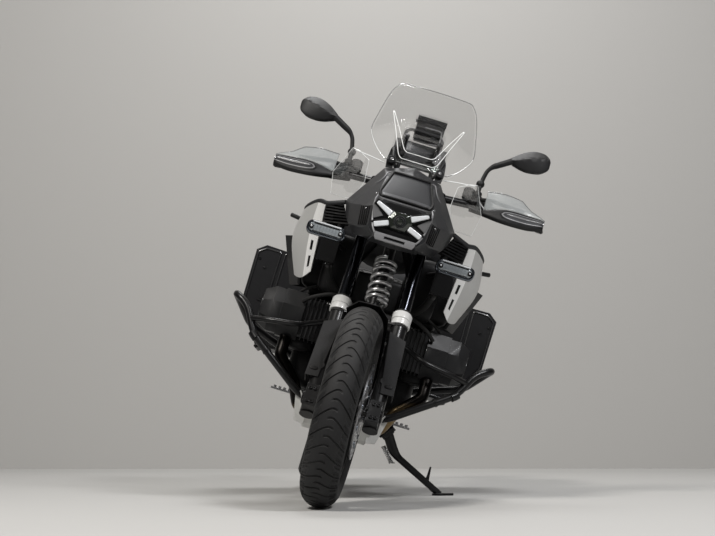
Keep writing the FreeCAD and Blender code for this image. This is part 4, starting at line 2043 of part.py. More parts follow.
@lru_cache(None)
def swingarm():
    """Single-sided arm on the left with the final drive, hollow wheel spindle and caliper."""
    wires = []
    for along, x, half_width, half_height in SWINGARM_STATIONS:
        y = between(SWINGARM_START_Y, WHEELBASE, along)
        z = between(SWINGARM_PIVOT_Z, REAR_TYRE_RADIUS, along)
        wires.append(round_section(V(x, y, z), half_width, half_height, 3.0))
    arm = loft(wires)
    centre = V(FINAL_DRIVE_INNER_X, WHEELBASE, REAR_TYRE_RADIUS)
    drive = Part.makeCylinder(
        FINAL_DRIVE_RADIUS, FINAL_DRIVE_OUTER_X - FINAL_DRIVE_INNER_X, centre, X_AXIS
    )
    cap = Part.makeCone(
        FINAL_DRIVE_RADIUS - FINAL_DRIVE_CAP_DEPTH,
        FINAL_DRIVE_CAP_RADIUS,
        FINAL_DRIVE_CAP_DEPTH,
        V(FINAL_DRIVE_OUTER_X, WHEELBASE, REAR_TYRE_RADIUS),
        X_AXIS,
    )
    spindle = Part.makeCylinder(
        REAR_HUB_BORE_RADIUS,
        FINAL_DRIVE_INNER_X - SPINDLE_END_X + OVERRUN,
        V(SPINDLE_END_X, WHEELBASE, REAR_TYRE_RADIUS),
        X_AXIS,
    )
    angle = math.radians(REAR_CALIPER_ANGLE_DEG)
    middle = REAR_DISC_RADIUS - REAR_CALIPER_LENGTH / 4
    caliper_outer_x = FINAL_DRIVE_INNER_X + 2 * OVERRUN + REAR_DISC_THICKNESS
    caliper = block(
        V(REAR_CALIPER_INNER_X, -REAR_CALIPER_LENGTH * HALF, middle - REAR_CALIPER_LENGTH / 4),
        V(caliper_outer_x, REAR_CALIPER_LENGTH * HALF, middle + REAR_CALIPER_LENGTH / 3),
    )
    caliper = rotated(caliper, ORIGIN, X_AXIS, REAR_CALIPER_ANGLE_DEG)
    caliper.translate(V(0, WHEELBASE, REAR_TYRE_RADIUS))
    bridge_y = WHEELBASE - middle * math.sin(angle)
    bridge_z = REAR_TYRE_RADIUS + middle * math.cos(angle)
    bridge = rod(
        V(FINAL_DRIVE_INNER_X, bridge_y, bridge_z),
        V(SWINGARM_X, bridge_y, bridge_z - SHOCK_EYE_RADIUS * 2),
        SHOCK_EYE_RADIUS,
    )
    slot_x = REAR_HUB_LEFT - DISC_SLOT_CLEARANCE - OVERRUN
    slot = Part.makeCylinder(
        REAR_DISC_RADIUS + DISC_SLOT_CLEARANCE + OVERRUN,
        REAR_DISC_THICKNESS + 2 * (DISC_SLOT_CLEARANCE + OVERRUN),
        V(slot_x, WHEELBASE, REAR_TYRE_RADIUS),
        X_AXIS,
    )
    lug = rod(SHOCK_LOW, V(SWINGARM_X, SHOCK_LOW.y, SHOCK_LOW.z - SHOCK_EYE_RADIUS), SHOCK_EYE_RADIUS)
    bore = Part.makeCylinder(
        SPINDLE_BORE_RADIUS,
        FINAL_DRIVE_OUTER_X - SPINDLE_END_X + FINAL_DRIVE_CAP_DEPTH + 2 * OVERRUN,
        V(SPINDLE_END_X - OVERRUN, WHEELBASE, REAR_TYRE_RADIUS),
        X_AXIS,
    )
    body = fused([arm, drive, cap, bridge, lug, caliper]).cut(slot)
    return body.fuse(spindle).cut(bore).removeSplitter()


SHOCK_SPRING_SHARES = (0.34, 0.9)


def rear_shock():
    """Rear damper with its two spring plates, between the arm and the frame."""
    run = SHOCK_HIGH.sub(SHOCK_LOW)
    low = SHOCK_LOW.add(V(run).multiply(SHOCK_SPRING_SHARES[0]))
    high = SHOCK_LOW.add(V(run).multiply(SHOCK_SPRING_SHARES[1]))
    body = rod(low, SHOCK_HIGH, SHOCK_BODY_RADIUS)
    foot = rod(SHOCK_LOW, low, SHOCK_BODY_RADIUS)
    step = V(direction(SHOCK_LOW, SHOCK_HIGH)).multiply(SPRING_WIRE_RADIUS)
    plate_radius = SHOCK_SPRING_RADIUS + SPRING_WIRE_RADIUS
    plates = [rod(point.sub(step), point.add(step), plate_radius) for point in (low, high)]
    reach = V(SUBFRAME_HALF_WIDTH, 0, 0)
    pin = rod(SHOCK_HIGH.sub(reach), SHOCK_HIGH.add(reach), SHOCK_EYE_RADIUS)
    return fused([body, foot, pin] + plates).cut(swingarm()).cut(rear_subframe())


ARM_EYE_HEIGHT = 34.0
ARM_EYE_RADIUS = 25.0
ARM_TUBE_RADIUS = 15.0
ARM_INNER_X = 18.0
ARM_STRAIGHT_BACK = 130.0
ARM_PIVOT_X = 92.0
ARM_PIVOT_Z = 612.0
ARM_BEND = 60.0
FRONT_SHOCK_LOW_BACK = 26.0
FRONT_SHOCK_LOW_UP = 424.0
FRONT_SHOCK_TOP_BACK = 18.0
FRONT_SHOCK_TOP_UP = 770.0
FRONT_DAMPER_RADIUS = 20.0


@lru_cache(None)
def wishbone():
    """Longitudinal arm from the engine to the ball joint on the lower fork bridge."""
    eye_foot = LOWER_BRIDGE_BOTTOM + LOWER_BRIDGE_THICKNESS + SEAT_GAP
    eye = from_steering(Part.makeCylinder(ARM_EYE_RADIUS, ARM_EYE_HEIGHT, V(0, 0, eye_foot), Z_AXIS))
    middle = eye_foot + ARM_EYE_HEIGHT * HALF
    tube = bent_tube(
        [
            steering_point(ARM_INNER_X * HALF, 0, middle),
            steering_point(ARM_INNER_X, ARM_STRAIGHT_BACK, middle + ARM_TUBE_RADIUS * 2),
            V(ARM_PIVOT_X, CRANKCASE_FRONT_Y + OVERRUN, ARM_PIVOT_Z),
        ],
        ARM_TUBE_RADIUS,
        ARM_BEND,
    )
    seat_low = steering_point(0, FRONT_SHOCK_LOW_BACK, FRONT_SHOCK_LOW_UP - FRONT_DAMPER_RADIUS)
    saddle = rod(seat_low.sub(V(ARM_INNER_X, 0, 0)), seat_low.add(V(ARM_INNER_X, 0, 0)), ARM_TUBE_RADIUS)
    bore = from_steering(
        Part.makeCylinder(
            BALL_STUD_RADIUS + RUNNING_CLEARANCE, ARM_EYE_HEIGHT * 2, V(0, 0, eye_foot - OVERRUN), Z_AXIS
        )
    )
    return fused([eye, tube, mirrored(tube), saddle]).cut(bore).cut(crankcase())


def front_shock():
    """Front damper between the wishbone and the gusset."""
    low = steering_point(0, FRONT_SHOCK_LOW_BACK, FRONT_SHOCK_LOW_UP)
    high = steering_point(0, FRONT_SHOCK_TOP_BACK, FRONT_SHOCK_TOP_UP)
    return rod(low, high, FRONT_DAMPER_RADIUS).cut(wishbone()).cut(main_frame())


PEG_OUTER_X = 268.0
PEG_ROOT_X = 158.0
PEG_Y = 884.0
PEG_Z = 334.0
PEG_HALF_WIDTH = 20.0
PEG_HEIGHT = 16.0
PEG_TEETH = 6


def footrests():
    """Toothed rider pegs on engine brackets."""
    bracket = block(
        V(CRANKCASE_HALF_WIDTH, PEG_Y - PEG_HALF_WIDTH, PEG_Z - PEG_HEIGHT),
        V(PEG_ROOT_X, PEG_Y + PEG_HALF_WIDTH, PEG_Z + PEG_HEIGHT),
    )
    peg = block(
        V(PEG_ROOT_X - OVERRUN, PEG_Y - PEG_HALF_WIDTH, PEG_Z - PEG_HEIGHT * HALF),
        V(PEG_OUTER_X, PEG_Y + PEG_HALF_WIDTH, PEG_Z + PEG_HEIGHT * HALF),
    )
    pitch = (PEG_OUTER_X - PEG_ROOT_X) / PEG_TEETH
    for i in range(PEG_TEETH):
        x = PEG_ROOT_X + pitch * (i + HALF)
        peg = peg.cut(
            block(
                V(x, PEG_Y - PEG_HALF_WIDTH - OVERRUN, PEG_Z),
                V(x + pitch * HALF, PEG_Y + PEG_HALF_WIDTH + OVERRUN, PEG_Z + PEG_HEIGHT),
            )
        )
    return pair(fused([bracket, peg]).cut(crankcase()))


CASE_FRONT_Y = 1160.0
CASE_LENGTH = 440.0
CASE_BACK_Y = CASE_FRONT_Y + CASE_LENGTH
CASE_INNER_X = 225.0
CASE_SPLIT_X = 385.0
CASE_OUTER_X = 490.0
CASE_BOTTOM_Z = 474.0
CASE_TOP_Z = 857.0
CASE_WALL = 4.0
CASE_SPLIT_GAP = 0.3
CASE_OUTLINE_SHARES = (
    (0.0, 0.02), (0.06, 0.0), (0.62, 0.0), (0.99, 0.42), (1.0, 0.93), (0.87, 1.0), (0.06, 0.985), (0.0, 0.95),
)
HINGE_RADIUS = 6.0
HINGE_PIN_RADIUS = 2.5
HINGE_KNUCKLES = 5
HINGE_LENGTH = 300.0
HINGE_END_GAP = 0.5


def case_outline(inset):
    """Front-view outline of a side case, moved in by the wall."""
    points = []
    for a, b in CASE_OUTLINE_SHARES:
        points.append(
            V(
                between(CASE_INNER_X + inset, CASE_OUTER_X - inset, a),
                CASE_FRONT_Y + inset,
                between(CASE_BOTTOM_Z + inset, CASE_TOP_Z - inset, b),
            )
        )
    return points


def case_shell():
    """Closed hollow shell of the left side case."""
    outer = prism(case_outline(0), V(0, CASE_LENGTH, 0))
    inner = prism(case_outline(CASE_WALL), V(0, CASE_LENGTH - 2 * CASE_WALL, 0))
    return outer.cut(inner)


def hinge_axis_point():
    """Middle of the lid's hinge pin under the split line of the left case."""
    return V(CASE_SPLIT_X, CASE_FRONT_Y + CASE_LENGTH * HALF, CASE_BOTTOM_Z - HINGE_RADIUS)


def hinge_knuckle(index):
    """One hinge knuckle with the leaf that carries it up to the case floor."""
    pitch = HINGE_LENGTH / HINGE_KNUCKLES
    axis = hinge_axis_point()
    start = axis.y - HINGE_LENGTH * HALF + pitch * index + HINGE_END_GAP * HALF
    foot = V(axis.x, start, axis.z)
    barrel = Part.makeCylinder(HINGE_RADIUS, pitch - HINGE_END_GAP, foot, Y_AXIS)
    if index % 2:
        bore = Part.makeCylinder(HINGE_PIN_RADIUS + RUNNING_CLEARANCE, pitch, foot, Y_AXIS)
        low_x, high_x = axis.x + CASE_SPLIT_GAP, axis.x + 2 * HINGE_RADIUS
    else:
        bore = None
        low_x, high_x = axis.x - 2 * HINGE_RADIUS, axis.x - CASE_SPLIT_GAP
    leaf = block(
        V(low_x, start, axis.z),
        V(high_x, start + pitch - HINGE_END_GAP, CASE_BOTTOM_Z + CASE_WALL * HALF),
    )
    shape = barrel.fuse(leaf)
    return shape.cut(bore) if bore else shape


def case_half(outer_side):
    """The fixed box or the swinging lid of the left side case."""
    low_x = CASE_SPLIT_X + CASE_SPLIT_GAP * HALF if outer_side else CASE_INNER_X - OVERRUN
    high_x = CASE_OUTER_X + OVERRUN if outer_side else CASE_SPLIT_X - CASE_SPLIT_GAP * HALF
    keep = block(
        V(low_x, CASE_FRONT_Y - OVERRUN, CASE_BOTTOM_Z - OVERRUN),
        V(high_x, CASE_BACK_Y + OVERRUN, CASE_TOP_Z + OVERRUN),
    )
    shell = case_shell().common(keep)
    parts = [hinge_knuckle(i) for i in range(HINGE_KNUCKLES) if (i % 2 == 1) == outer_side]
    if not outer_side:
        axis = hinge_axis_point()
        pin_start = V(axis.x, axis.y - HINGE_LENGTH * HALF + HINGE_RADIUS, axis.z)
        pin = Part.makeCylinder(HINGE_PIN_RADIUS, HINGE_LENGTH - 2 * HINGE_RADIUS, pin_start, Y_AXIS)
        parts.append(pin)
    return fused([shell] + parts)


def pannier_boxes():
    """Inner halves of the two side cases."""
    return pair(case_half(False))


def pannier_lid_left():
    """Outer half of the left case, opening about its lower hinge."""
    return case_half(True)


def pannier_lid_right():
    """Outer half of the right case, opening about its lower hinge."""
    return mirrored(case_half(True))


STAND_PIVOT = V(190.0, 792.0, 296.0)
STAND_KNEE = V(238.0, 808.0, 226.0)
STAND_FOOT_X = 441.0
STAND_FOOT_Y = 835.0
STAND_FOLDED = V(0.12, 0.98, -0.06)
STAND_RADIUS = 11.0
STAND_FOOT_RADIUS = 27.0
STAND_FOOT_THICKNESS = 8.0
STAND_EYE_RADIUS = 18.0
STAND_EYE_HALF_LENGTH = 19.0
STAND_PIN_RADIUS = 7.0
STAND_KNEE_BEND = 40.0


STAND_EAR_RADIUS = 15.0
STAND_EAR_THICKNESS = 9.0
STAND_EAR_GAP = 0.3
STAND_STRUT_RADIUS = 9.0


def stand_foot():
    """Middle of the stand's foot, on the floor."""
    return resting().inverse().multVec(V(STAND_FOOT_X, STAND_FOOT_Y, 0))


def floor_normal():
    """Upward floor normal seen from the upright machine."""
    return resting().inverse().Rotation.multVec(Z_AXIS)


def stand_axis():
    """Hinge axis that swings the leg from the floor to its folded direction."""
    return unit(direction(STAND_PIVOT, stand_foot()).cross(STAND_FOLDED))


def stand_point(along):
    """Point on the stand's hinge axis."""
    return STAND_PIVOT.add(stand_axis().multiply(along))


def stand_bracket():
    """Two ears with the pivot pin, on struts from the crankcase."""
    inner = STAND_EYE_HALF_LENGTH + STAND_EAR_GAP
    outer = inner + STAND_EAR_THICKNESS
    parts = [rod(stand_point(-outer), stand_point(outer), STAND_PIN_RADIUS)]
    for side in (-1, 1):
        parts.append(rod(stand_point(side * inner), stand_point(side * outer), STAND_EAR_RADIUS))
        middle = stand_point(side * (inner + outer) * HALF)
        root = V(CRANKCASE_HALF_WIDTH - OVERRUN, middle.y + STAND_STRUT_RADIUS, middle.z + STAND_EYE_RADIUS)
        strut = rod(root, middle, STAND_STRUT_RADIUS)
        parts.append(strut)
    return fused(parts).cut(stand_room()).cut(crankcase())


def stand_room():
    """Space of the stand's eye between the ears, around the pin."""
    inner = STAND_EYE_HALF_LENGTH + STAND_EAR_GAP
    disc = rod(stand_point(-inner), stand_point(inner), STAND_EYE_RADIUS + STAND_EAR_GAP)
    return disc.cut(rod(stand_point(-2 * inner), stand_point(2 * inner), STAND_PIN_RADIUS))


def side_stand():
    """Bent leg with its foot plate and pivot eye."""
    up = floor_normal()
    foot = stand_foot()
    ankle = foot.add(V(up).multiply(STAND_FOOT_THICKNESS * HALF))
    leg = bent_tube([STAND_PIVOT, STAND_KNEE, ankle], STAND_RADIUS, STAND_KNEE_BEND)
    plate = Part.makeCylinder(STAND_FOOT_RADIUS, STAND_FOOT_THICKNESS, foot, up)
    eye = rod(stand_point(-STAND_EYE_HALF_LENGTH), stand_point(STAND_EYE_HALF_LENGTH), STAND_EYE_RADIUS)
    bore_end = 2 * STAND_EYE_HALF_LENGTH
    bore = rod(stand_point(-bore_end), stand_point(bore_end), STAND_PIN_RADIUS + RUNNING_CLEARANCE)
    return fused([leg, plate, eye]).cut(bore)


# Resting pose: leaned onto the stand, both tyres on the floor


def lowest(placement, centre, axle, radius, crown):
    """Height of a tyre's lowest point after a placement."""
    tilt = placement.Rotation.multVec(axle).z
    return placement.multVec(centre).z - (radius - crown) * math.sqrt(1 - tilt ** 2) - crown


@lru_cache(None)
def resting():
    """Placement that leans the machine and sets both tyres on the floor."""
    lean = FreeCAD.Placement(ORIGIN, FreeCAD.Rotation(Y_AXIS, LEAN_DEG), V(0, 0, FRONT_CROWN_RADIUS))
    front_frame = STEERING_FRAME.multiply(STEERED)
    front_centre = front_frame.multVec(V(0, -STEER_OFFSET, 0))
    front_axle = front_frame.Rotation.multVec(X_AXIS)
    pitch = 0
    for _ in range(4):
        turn = FreeCAD.Placement(ORIGIN, FreeCAD.Rotation(X_AXIS, pitch)).multiply(lean)
        front = lowest(turn, front_centre, front_axle, FRONT_TYRE_RADIUS, FRONT_CROWN_RADIUS)
        rear = lowest(turn, V(0, WHEELBASE, REAR_TYRE_RADIUS), X_AXIS, REAR_TYRE_RADIUS, REAR_CROWN_RADIUS)
        pitch -= math.degrees(math.atan((rear - front) / WHEELBASE))
    lift = FreeCAD.Placement(V(0, 0, -front), FreeCAD.Rotation())
    return lift.multiply(turn)


def front_wheel(shape):
    """Wheel shape moved from the origin to the front axle."""
    return moved(shape, V(0, -STEER_OFFSET, 0))


def rear_wheel(shape):
    """Wheel shape moved from the origin to the rear axle."""
    return moved(shape, V(0, WHEELBASE, REAR_TYRE_RADIUS))


def front_tyre():
    """Front tyre on its wheel."""
    return front_wheel(
        tyre(FRONT_TYRE_RADIUS, FRONT_TYRE_WIDTH, FRONT_CROWN_RADIUS, FRONT_RIM_RADIUS, FRONT_BEAD_HALF_WIDTH)
    )


def rear_tyre():
    """Rear tyre on its wheel."""
    return rear_wheel(
        tyre(REAR_TYRE_RADIUS, REAR_TYRE_WIDTH, REAR_CROWN_RADIUS, REAR_RIM_RADIUS, REAR_BEAD_HALF_WIDTH)
    )


MACHINE_PIECES = {
    "main_frame": main_frame,
    "rear_subframe": rear_subframe,
    "crankcase": crankcase,
    "cylinders": cylinders,
    "airbox": airbox,
    "skid_plate": skid_plate,
    "exhaust_pipes": exhaust_pipes,
    "silencer": silencer,
    "fuel_tank": fuel_tank,
    "side_panels": side_panels,
    "side_covers": side_covers,
    "radiator_grilles": radiator_grilles,
    "nose_fairing": nose_fairing,
    "headlight": headlight,
    "nose_screen": nose_screen,
    "windshield": windshield,
    "wind_deflectors": wind_deflectors,
    "cockpit_display": cockpit_display,
    "fog_lamps": fog_lamps,
    "crash_bars": crash_bars,
    "rider_seat": rider_seat,
    "pillion_seat": pillion_seat,
    "luggage_rack": luggage_rack,
    "tail_lamp": tail_lamp,
    "rear_mudguard": rear_mudguard,
    "swingarm": swingarm,
    "rear_shock": rear_shock,
    "wishbone": wishbone,
    "front_shock": front_shock,
    "footrests": footrests,
    "stand_bracket": stand_bracket,
    "side_stand": side_stand,
    "pannier_boxes": pannier_boxes,
    "pannier_lid_right": pannier_lid_right,
    "pannier_lid_left": pannier_lid_left,
    "rear_tyre": rear_tyre,
    "rear_rim": lambda: rear_wheel(rear_wheel_rim()),
    "rear_disc": lambda: rear_wheel(rear_disc()),
}
STEERED_PIECES = {
    "fork_lower": fork_lower,
    "fork_collars": fork_collars,
    "fork_upper": fork_upper,
    "front_mudguard": mudguard,
    "fork_guards": fork_guards,
    "front_calipers": front_calipers,
    "handlebar": handlebar,
    "hand_controls": hand_controls,
    "hand_guards": hand_guards,
    "mirrors": mirrors,
    "front_tyre": front_tyre,
    "front_rim": lambda: front_wheel(front_wheel_rim()),
    "front_discs": lambda: front_wheel(front_discs()),
}


@lru_cache(None)
def leaned_pieces():
    """Every piece in its resting pose, before the origin moves under the middle."""
    machine = resting()
    steering = machine.multiply(STEERING_FRAME).multiply(STEERED)
    pieces = {name: placed(make(), machine) for name, make in MACHINE_PIECES.items()}
    pieces.update({name: placed(make(), steering) for name, make in STEERED_PIECES.items()})
    return pieces


@lru_cache(None)
def centring():
    """Shift that brings the origin under the middle of the whole machine."""
    box = FreeCAD.BoundBox()
    for shape in leaned_pieces().values():
        box.add(shape.optimalBoundingBox(False))
    return FreeCAD.Placement(V(-box.Center.x, -box.Center.y, 0), FreeCAD.Rotation())


def main():
    """Write every piece as a STEP file."""
    os.makedirs("parts", exist_ok=True)
    shift = centring()
    for name, shape in leaned_pieces().items():
        placed(shape, shift).exportStep(f"parts/{name}.step")


if __name__ == "__main__":
    main()
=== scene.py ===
"""Touring motorcycle on its side stand: looks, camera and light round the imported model."""
import json

import bmesh
import bpy
import numpy as np
from mathutils import Matrix, Vector


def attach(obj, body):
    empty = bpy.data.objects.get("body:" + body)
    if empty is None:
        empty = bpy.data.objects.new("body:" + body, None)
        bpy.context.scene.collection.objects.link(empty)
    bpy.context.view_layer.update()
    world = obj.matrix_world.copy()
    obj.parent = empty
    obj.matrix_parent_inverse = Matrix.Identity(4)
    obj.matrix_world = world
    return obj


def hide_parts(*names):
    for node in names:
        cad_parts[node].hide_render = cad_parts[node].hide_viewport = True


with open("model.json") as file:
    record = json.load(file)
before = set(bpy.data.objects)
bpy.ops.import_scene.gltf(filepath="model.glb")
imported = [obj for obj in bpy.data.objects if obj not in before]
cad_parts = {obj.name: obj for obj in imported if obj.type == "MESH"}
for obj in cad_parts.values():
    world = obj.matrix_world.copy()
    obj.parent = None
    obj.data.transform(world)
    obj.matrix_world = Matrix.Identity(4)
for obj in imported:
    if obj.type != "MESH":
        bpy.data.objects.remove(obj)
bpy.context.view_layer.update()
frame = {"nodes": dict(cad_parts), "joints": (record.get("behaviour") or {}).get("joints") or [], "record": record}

# Frames of the upright machine and of the steered fork, read from the joints

MM = 0.001
WHEELBASE = 1518.0
FRONT_RADIUS = 325.0
REAR_RADIUS = 318.0
STEER_OFFSET = 43.0
JOINTS = {joint["name"]: joint for joint in frame["joints"]}


def joint_frame(x_axis, z_axis, place, local):
    """4x4 frame with the given X and Z directions in which the joint's place has the local coordinates."""
    x_axis = np.array(x_axis) / np.linalg.norm(x_axis)
    z_axis = np.array(z_axis) - np.dot(z_axis, x_axis) * x_axis
    z_axis /= np.linalg.norm(z_axis)
    turn = np.column_stack([x_axis, np.cross(z_axis, x_axis), z_axis])
    matrix = np.eye(4)
    matrix[:3, :3] = turn
    matrix[:3, 3] = np.array(place) - turn @ (np.array(local) * MM)
    return matrix


REAR_AXLE = JOINTS["rear_wheel_spin"]
FRONT_AXLE = JOINTS["front_wheel_spin"]
HEAD = JOINTS["steering_head"]
BACKWARD = np.array(JOINTS["left_lid_hinge"]["axis"])
MACHINE = joint_frame(
    REAR_AXLE["axis"], np.cross(REAR_AXLE["axis"], BACKWARD), REAR_AXLE["pos_m"], (0, WHEELBASE, REAR_RADIUS)
)
FORK = joint_frame(FRONT_AXLE["axis"], HEAD["axis"], FRONT_AXLE["pos_m"], (0, -STEER_OFFSET, 0))

# Directions of the frames and what a piece rides on: its frame and its body

AHEAD, OUTWARD, UP = (0, -1, 0), (1, 0, 0), (0, 0, 1)
CHASSIS = (MACHINE, "chassis")
STAND = (MACHINE, "stand")
STEERED = (FORK, "steering")


def set_in(points, place):
    """Millimetre points of a frame, turned and moved into the model's metres."""
    points = np.asarray(points, float) * MM
    return points @ place[:3, :3].T + place[:3, 3]


# Surfaces on grids: each shape is a pair of vertices and faces


def grid_faces(rows, columns, around, along):
    """Quads between the points of a grid; around joins the last column to the first, along the last row."""
    i = np.arange(rows if along else rows - 1)
    j = np.arange(columns if around else columns - 1)
    i, j = (a.ravel() for a in np.meshgrid(i, j, indexing="ij"))
    i_next, j_next = (i + 1) % rows, (j + 1) % columns
    quads = np.stack(
        [i * columns + j, i * columns + j_next, i_next * columns + j_next, i_next * columns + j], axis=1
    )
    return quads.tolist()


def skin(grid, around=False, along=False):
    """Open or joined surface through a grid of points."""
    grid = np.asarray(grid, float)
    rows, columns = grid.shape[:2]
    return grid.reshape(-1, 3), grid_faces(rows, columns, around, along)


def tube_like(grid):
    """Closed body through rings of points: quads between the rings and one cap at each end."""
    points, faces = skin(grid, around=True)
    rows, columns = np.asarray(grid).shape[:2]
    first = list(range(columns))[::-1]
    last = list(range((rows - 1) * columns, rows * columns))
    return points, faces + [first, last]


def shell(outer, inner):
    """Closed shell between two equal grids: each row runs along the outer one and back on the inner one."""
    return tube_like(np.concatenate([outer, inner[:, ::-1]], axis=1))


def joined(shapes):
    """Several shapes as one."""
    points, faces, base = [], [], 0
    for shape_points, shape_faces in shapes:
        points.append(np.asarray(shape_points, float))
        faces += [[index + base for index in face] for face in shape_faces]
        base += len(shape_points)
    return np.vstack(points), faces


def other_side(shape):
    """Mirror image of a shape across the machine's middle, faces turned back outward."""
    points, faces = shape
    return np.asarray(points) * [-1, 1, 1], [face[::-1] for face in faces]


def both_sides(*shapes):
    """Shapes of the left side with their mirror images."""
    return joined([s for shape in shapes for s in (shape, other_side(shape))])


def smooth_line(points, count):
    """Catmull-Rom curve through the points, sampled evenly in its parameter."""
    points = np.asarray(points, float)
    longer = np.vstack([2 * points[0] - points[1], points, 2 * points[-1] - points[-2]])
    t = np.linspace(0, len(points) - 1, count)
    span = np.minimum(t.astype(int), len(points) - 2)
    u = (t - span)[:, None]
    a, b, c, d = (longer[span + k] for k in range(4))
    return 0.5 * (2 * b + (c - a) * u + (2 * a - 5 * b + 4 * c - d) * u**2 + (3 * b - a - 3 * c + d) * u**3)


def rounded_line(points, radius, steps=7):
    """Straight runs joined by quadratic curves that start a given distance before each corner."""
    points = [np.asarray(p, float) for p in points]
    rows = [points[0][None]]
    t = np.linspace(0, 1, steps)[:, None]
    for before, corner, after in zip(points, points[1:], points[2:]):
        start = corner + (before - corner) * min(radius / np.linalg.norm(before - corner), 0.5)
        end = corner + (after - corner) * min(radius / np.linalg.norm(after - corner), 0.5)
        rows.append((1 - t) ** 2 * start + 2 * t * (1 - t) * corner + t**2 * end)
    rows.append(points[-1][None])
    line = np.vstack(rows)
    apart = np.linalg.norm(np.diff(line, axis=0), axis=1) > 0.5
    return line[np.concatenate([[True], apart])]


def cross_axes(line, start):
    """Two unit vectors square to a line at each of its points, carried along with the least twist."""
    line = np.asarray(line, float)
    runs = np.gradient(line, axis=0)
    runs /= np.linalg.norm(runs, axis=1)[:, None]
    side = np.zeros_like(line)
    last = np.array([0, 0, 1.0]) if start is None else np.asarray(start, float)
    if abs(last @ runs[0]) > 0.95:
        last = np.array([1.0, 0, 0])
    for i, run in enumerate(runs):
        last = last - (last @ run) * run
        last /= np.linalg.norm(last)
        side[i] = last
    return side, np.cross(runs, side)


def full_turn(count):
    """Angles evenly spaced round a circle."""
    return np.linspace(0, 2 * np.pi, count, endpoint=False)


def hose(line, radius, sides=14, squash=1.0, start=None):
    """Circle of a radius carried along a line, flattened by squash; the radius may change along it."""
    line = np.asarray(line, float)
    side, other = cross_axes(line, start)
    turn = full_turn(sides)
    radius = np.broadcast_to(np.asarray(radius, float), (len(line),))[:, None, None]
    ring = np.cos(turn)[None, :, None] * side[:, None] * squash + np.sin(turn)[None, :, None] * other[:, None]
    return tube_like((line[:, None] + radius * ring)[:, ::-1])


def ring_hose(line, radius, sides=8):
    """Hose along a line that closes on itself, its ends overlapping by one step."""
    line = np.asarray(line, float)
    return hose(np.vstack([line, line[:2]]), radius, sides)


def spun(profile, origin, axis, sides):
    """Profile of (radius, distance along the axis) turned all the way round the axis."""
    profile = np.asarray(profile, float)
    axis = np.asarray(axis, float) / np.linalg.norm(axis)
    helper = np.array([0, 0, 1.0]) if abs(axis[2]) < 0.9 else np.array([0, 1.0, 0])
    side = np.cross(helper, axis)
    side /= np.linalg.norm(side)
    other = np.cross(axis, side)
    turn = full_turn(sides)
    ring = np.cos(turn)[:, None] * side + np.sin(turn)[:, None] * other
    grid = np.asarray(origin, float) + profile[:, None, :1] * ring[None] + profile[:, None, 1:] * axis
    return tube_like(grid)


def disc_stack(origin, axis, steps, sides=32):
    """Solid turned from steps of (distance, radius) along an axis, with flat ends."""
    profile = [(radius, along) for along, radius in steps]
    return spun(profile, origin, axis, sides)


def prism(outline, push):
    """Flat outline pushed along a vector."""
    outline = np.asarray(outline, float)
    return tube_like(np.stack([outline, outline + np.asarray(push, float)]))


def slab(low, high):
    """Box between two corners."""
    (x0, y0, z0), (x1, y1, z1) = low, high
    return prism([(x0, y0, z0), (x1, y0, z0), (x1, y1, z0), (x0, y1, z0)], (0, 0, z1 - z0))


def squared(value, square):
    """Signed power 2 / square of a sine or cosine: two gives a circle, more gives a rounder square."""
    return np.sign(value) * np.abs(value) ** (2 / square)


def pod(centre, size, square, rows=20, sides=28):
    """Superellipsoid: powers of the sine and cosine of two angles, between an egg and a box."""
    up = np.linspace(-np.pi / 2, np.pi / 2, rows)[:, None]
    turn = full_turn(sides)[None]
    level = squared(np.cos(up), square)
    x, y = level * squared(np.cos(turn), square), level * squared(np.sin(turn), square)
    grid = np.stack([x, y, squared(np.sin(up), square) * np.ones_like(turn)], axis=-1)
    return tube_like(np.asarray(centre) + grid * np.asarray(size))


def coil(start, end, radius, wire, turns, sides=10):
    """Helix about the line from start to end, its end turns lying closer together."""
    start, end = np.asarray(start, float), np.asarray(end, float)
    axis = (end - start) / np.linalg.norm(end - start)
    side = np.cross(axis, [1.0, 0, 0])
    side /= np.linalg.norm(side)
    other = np.cross(axis, side)
    t = np.linspace(0, 1, int(turns * 26))
    eased = t - 0.4 * np.sin(2 * np.pi * t) / (2 * np.pi)
    angle = 2 * np.pi * turns * t
    line = (
        start + (end - start) * eased[:, None]
        + radius * (np.cos(angle)[:, None] * side + np.sin(angle)[:, None] * other)
    )
    return hose(line, wire, sides)


def bolt(place, axis, radius, height):
    """Round-headed bolt with a socket in its head."""
    steps = [
        (radius, -1), (radius, height * 0.6), (radius * 0.85, height), (radius * 0.55, height),
        (radius * 0.5, height * 0.45), (0.01, height * 0.45),
    ]
    return spun([(0.01, -1)] + steps, place, axis, 18)


def make(name, shapes, finish, slot, replaces=None, ride=CHASSIS, bevel=0.0, wall=0.0, angle=35):
    """Finished object from shapes in the millimetres of its ride's frame; wall thickens an open surface."""
    place, body = ride
    points, faces = joined(shapes)
    mesh = bpy.data.meshes.new(name)
    mesh.from_pydata(set_in(points, place).tolist(), [], faces)
    tidy_mesh(mesh)
    return settle(name, mesh, body, finish, replaces, bevel, wall, angle)


def make_pair(name, shapes, *rest, **settings):
    """Object with the shapes of the left side and their mirror images."""
    return make(name, [both_sides(*shapes)], *rest, **settings)


def linked(name, data):
    """New object of the scene."""
    thing = bpy.data.objects.new(name, data)
    bpy.context.scene.collection.objects.link(thing)
    return thing


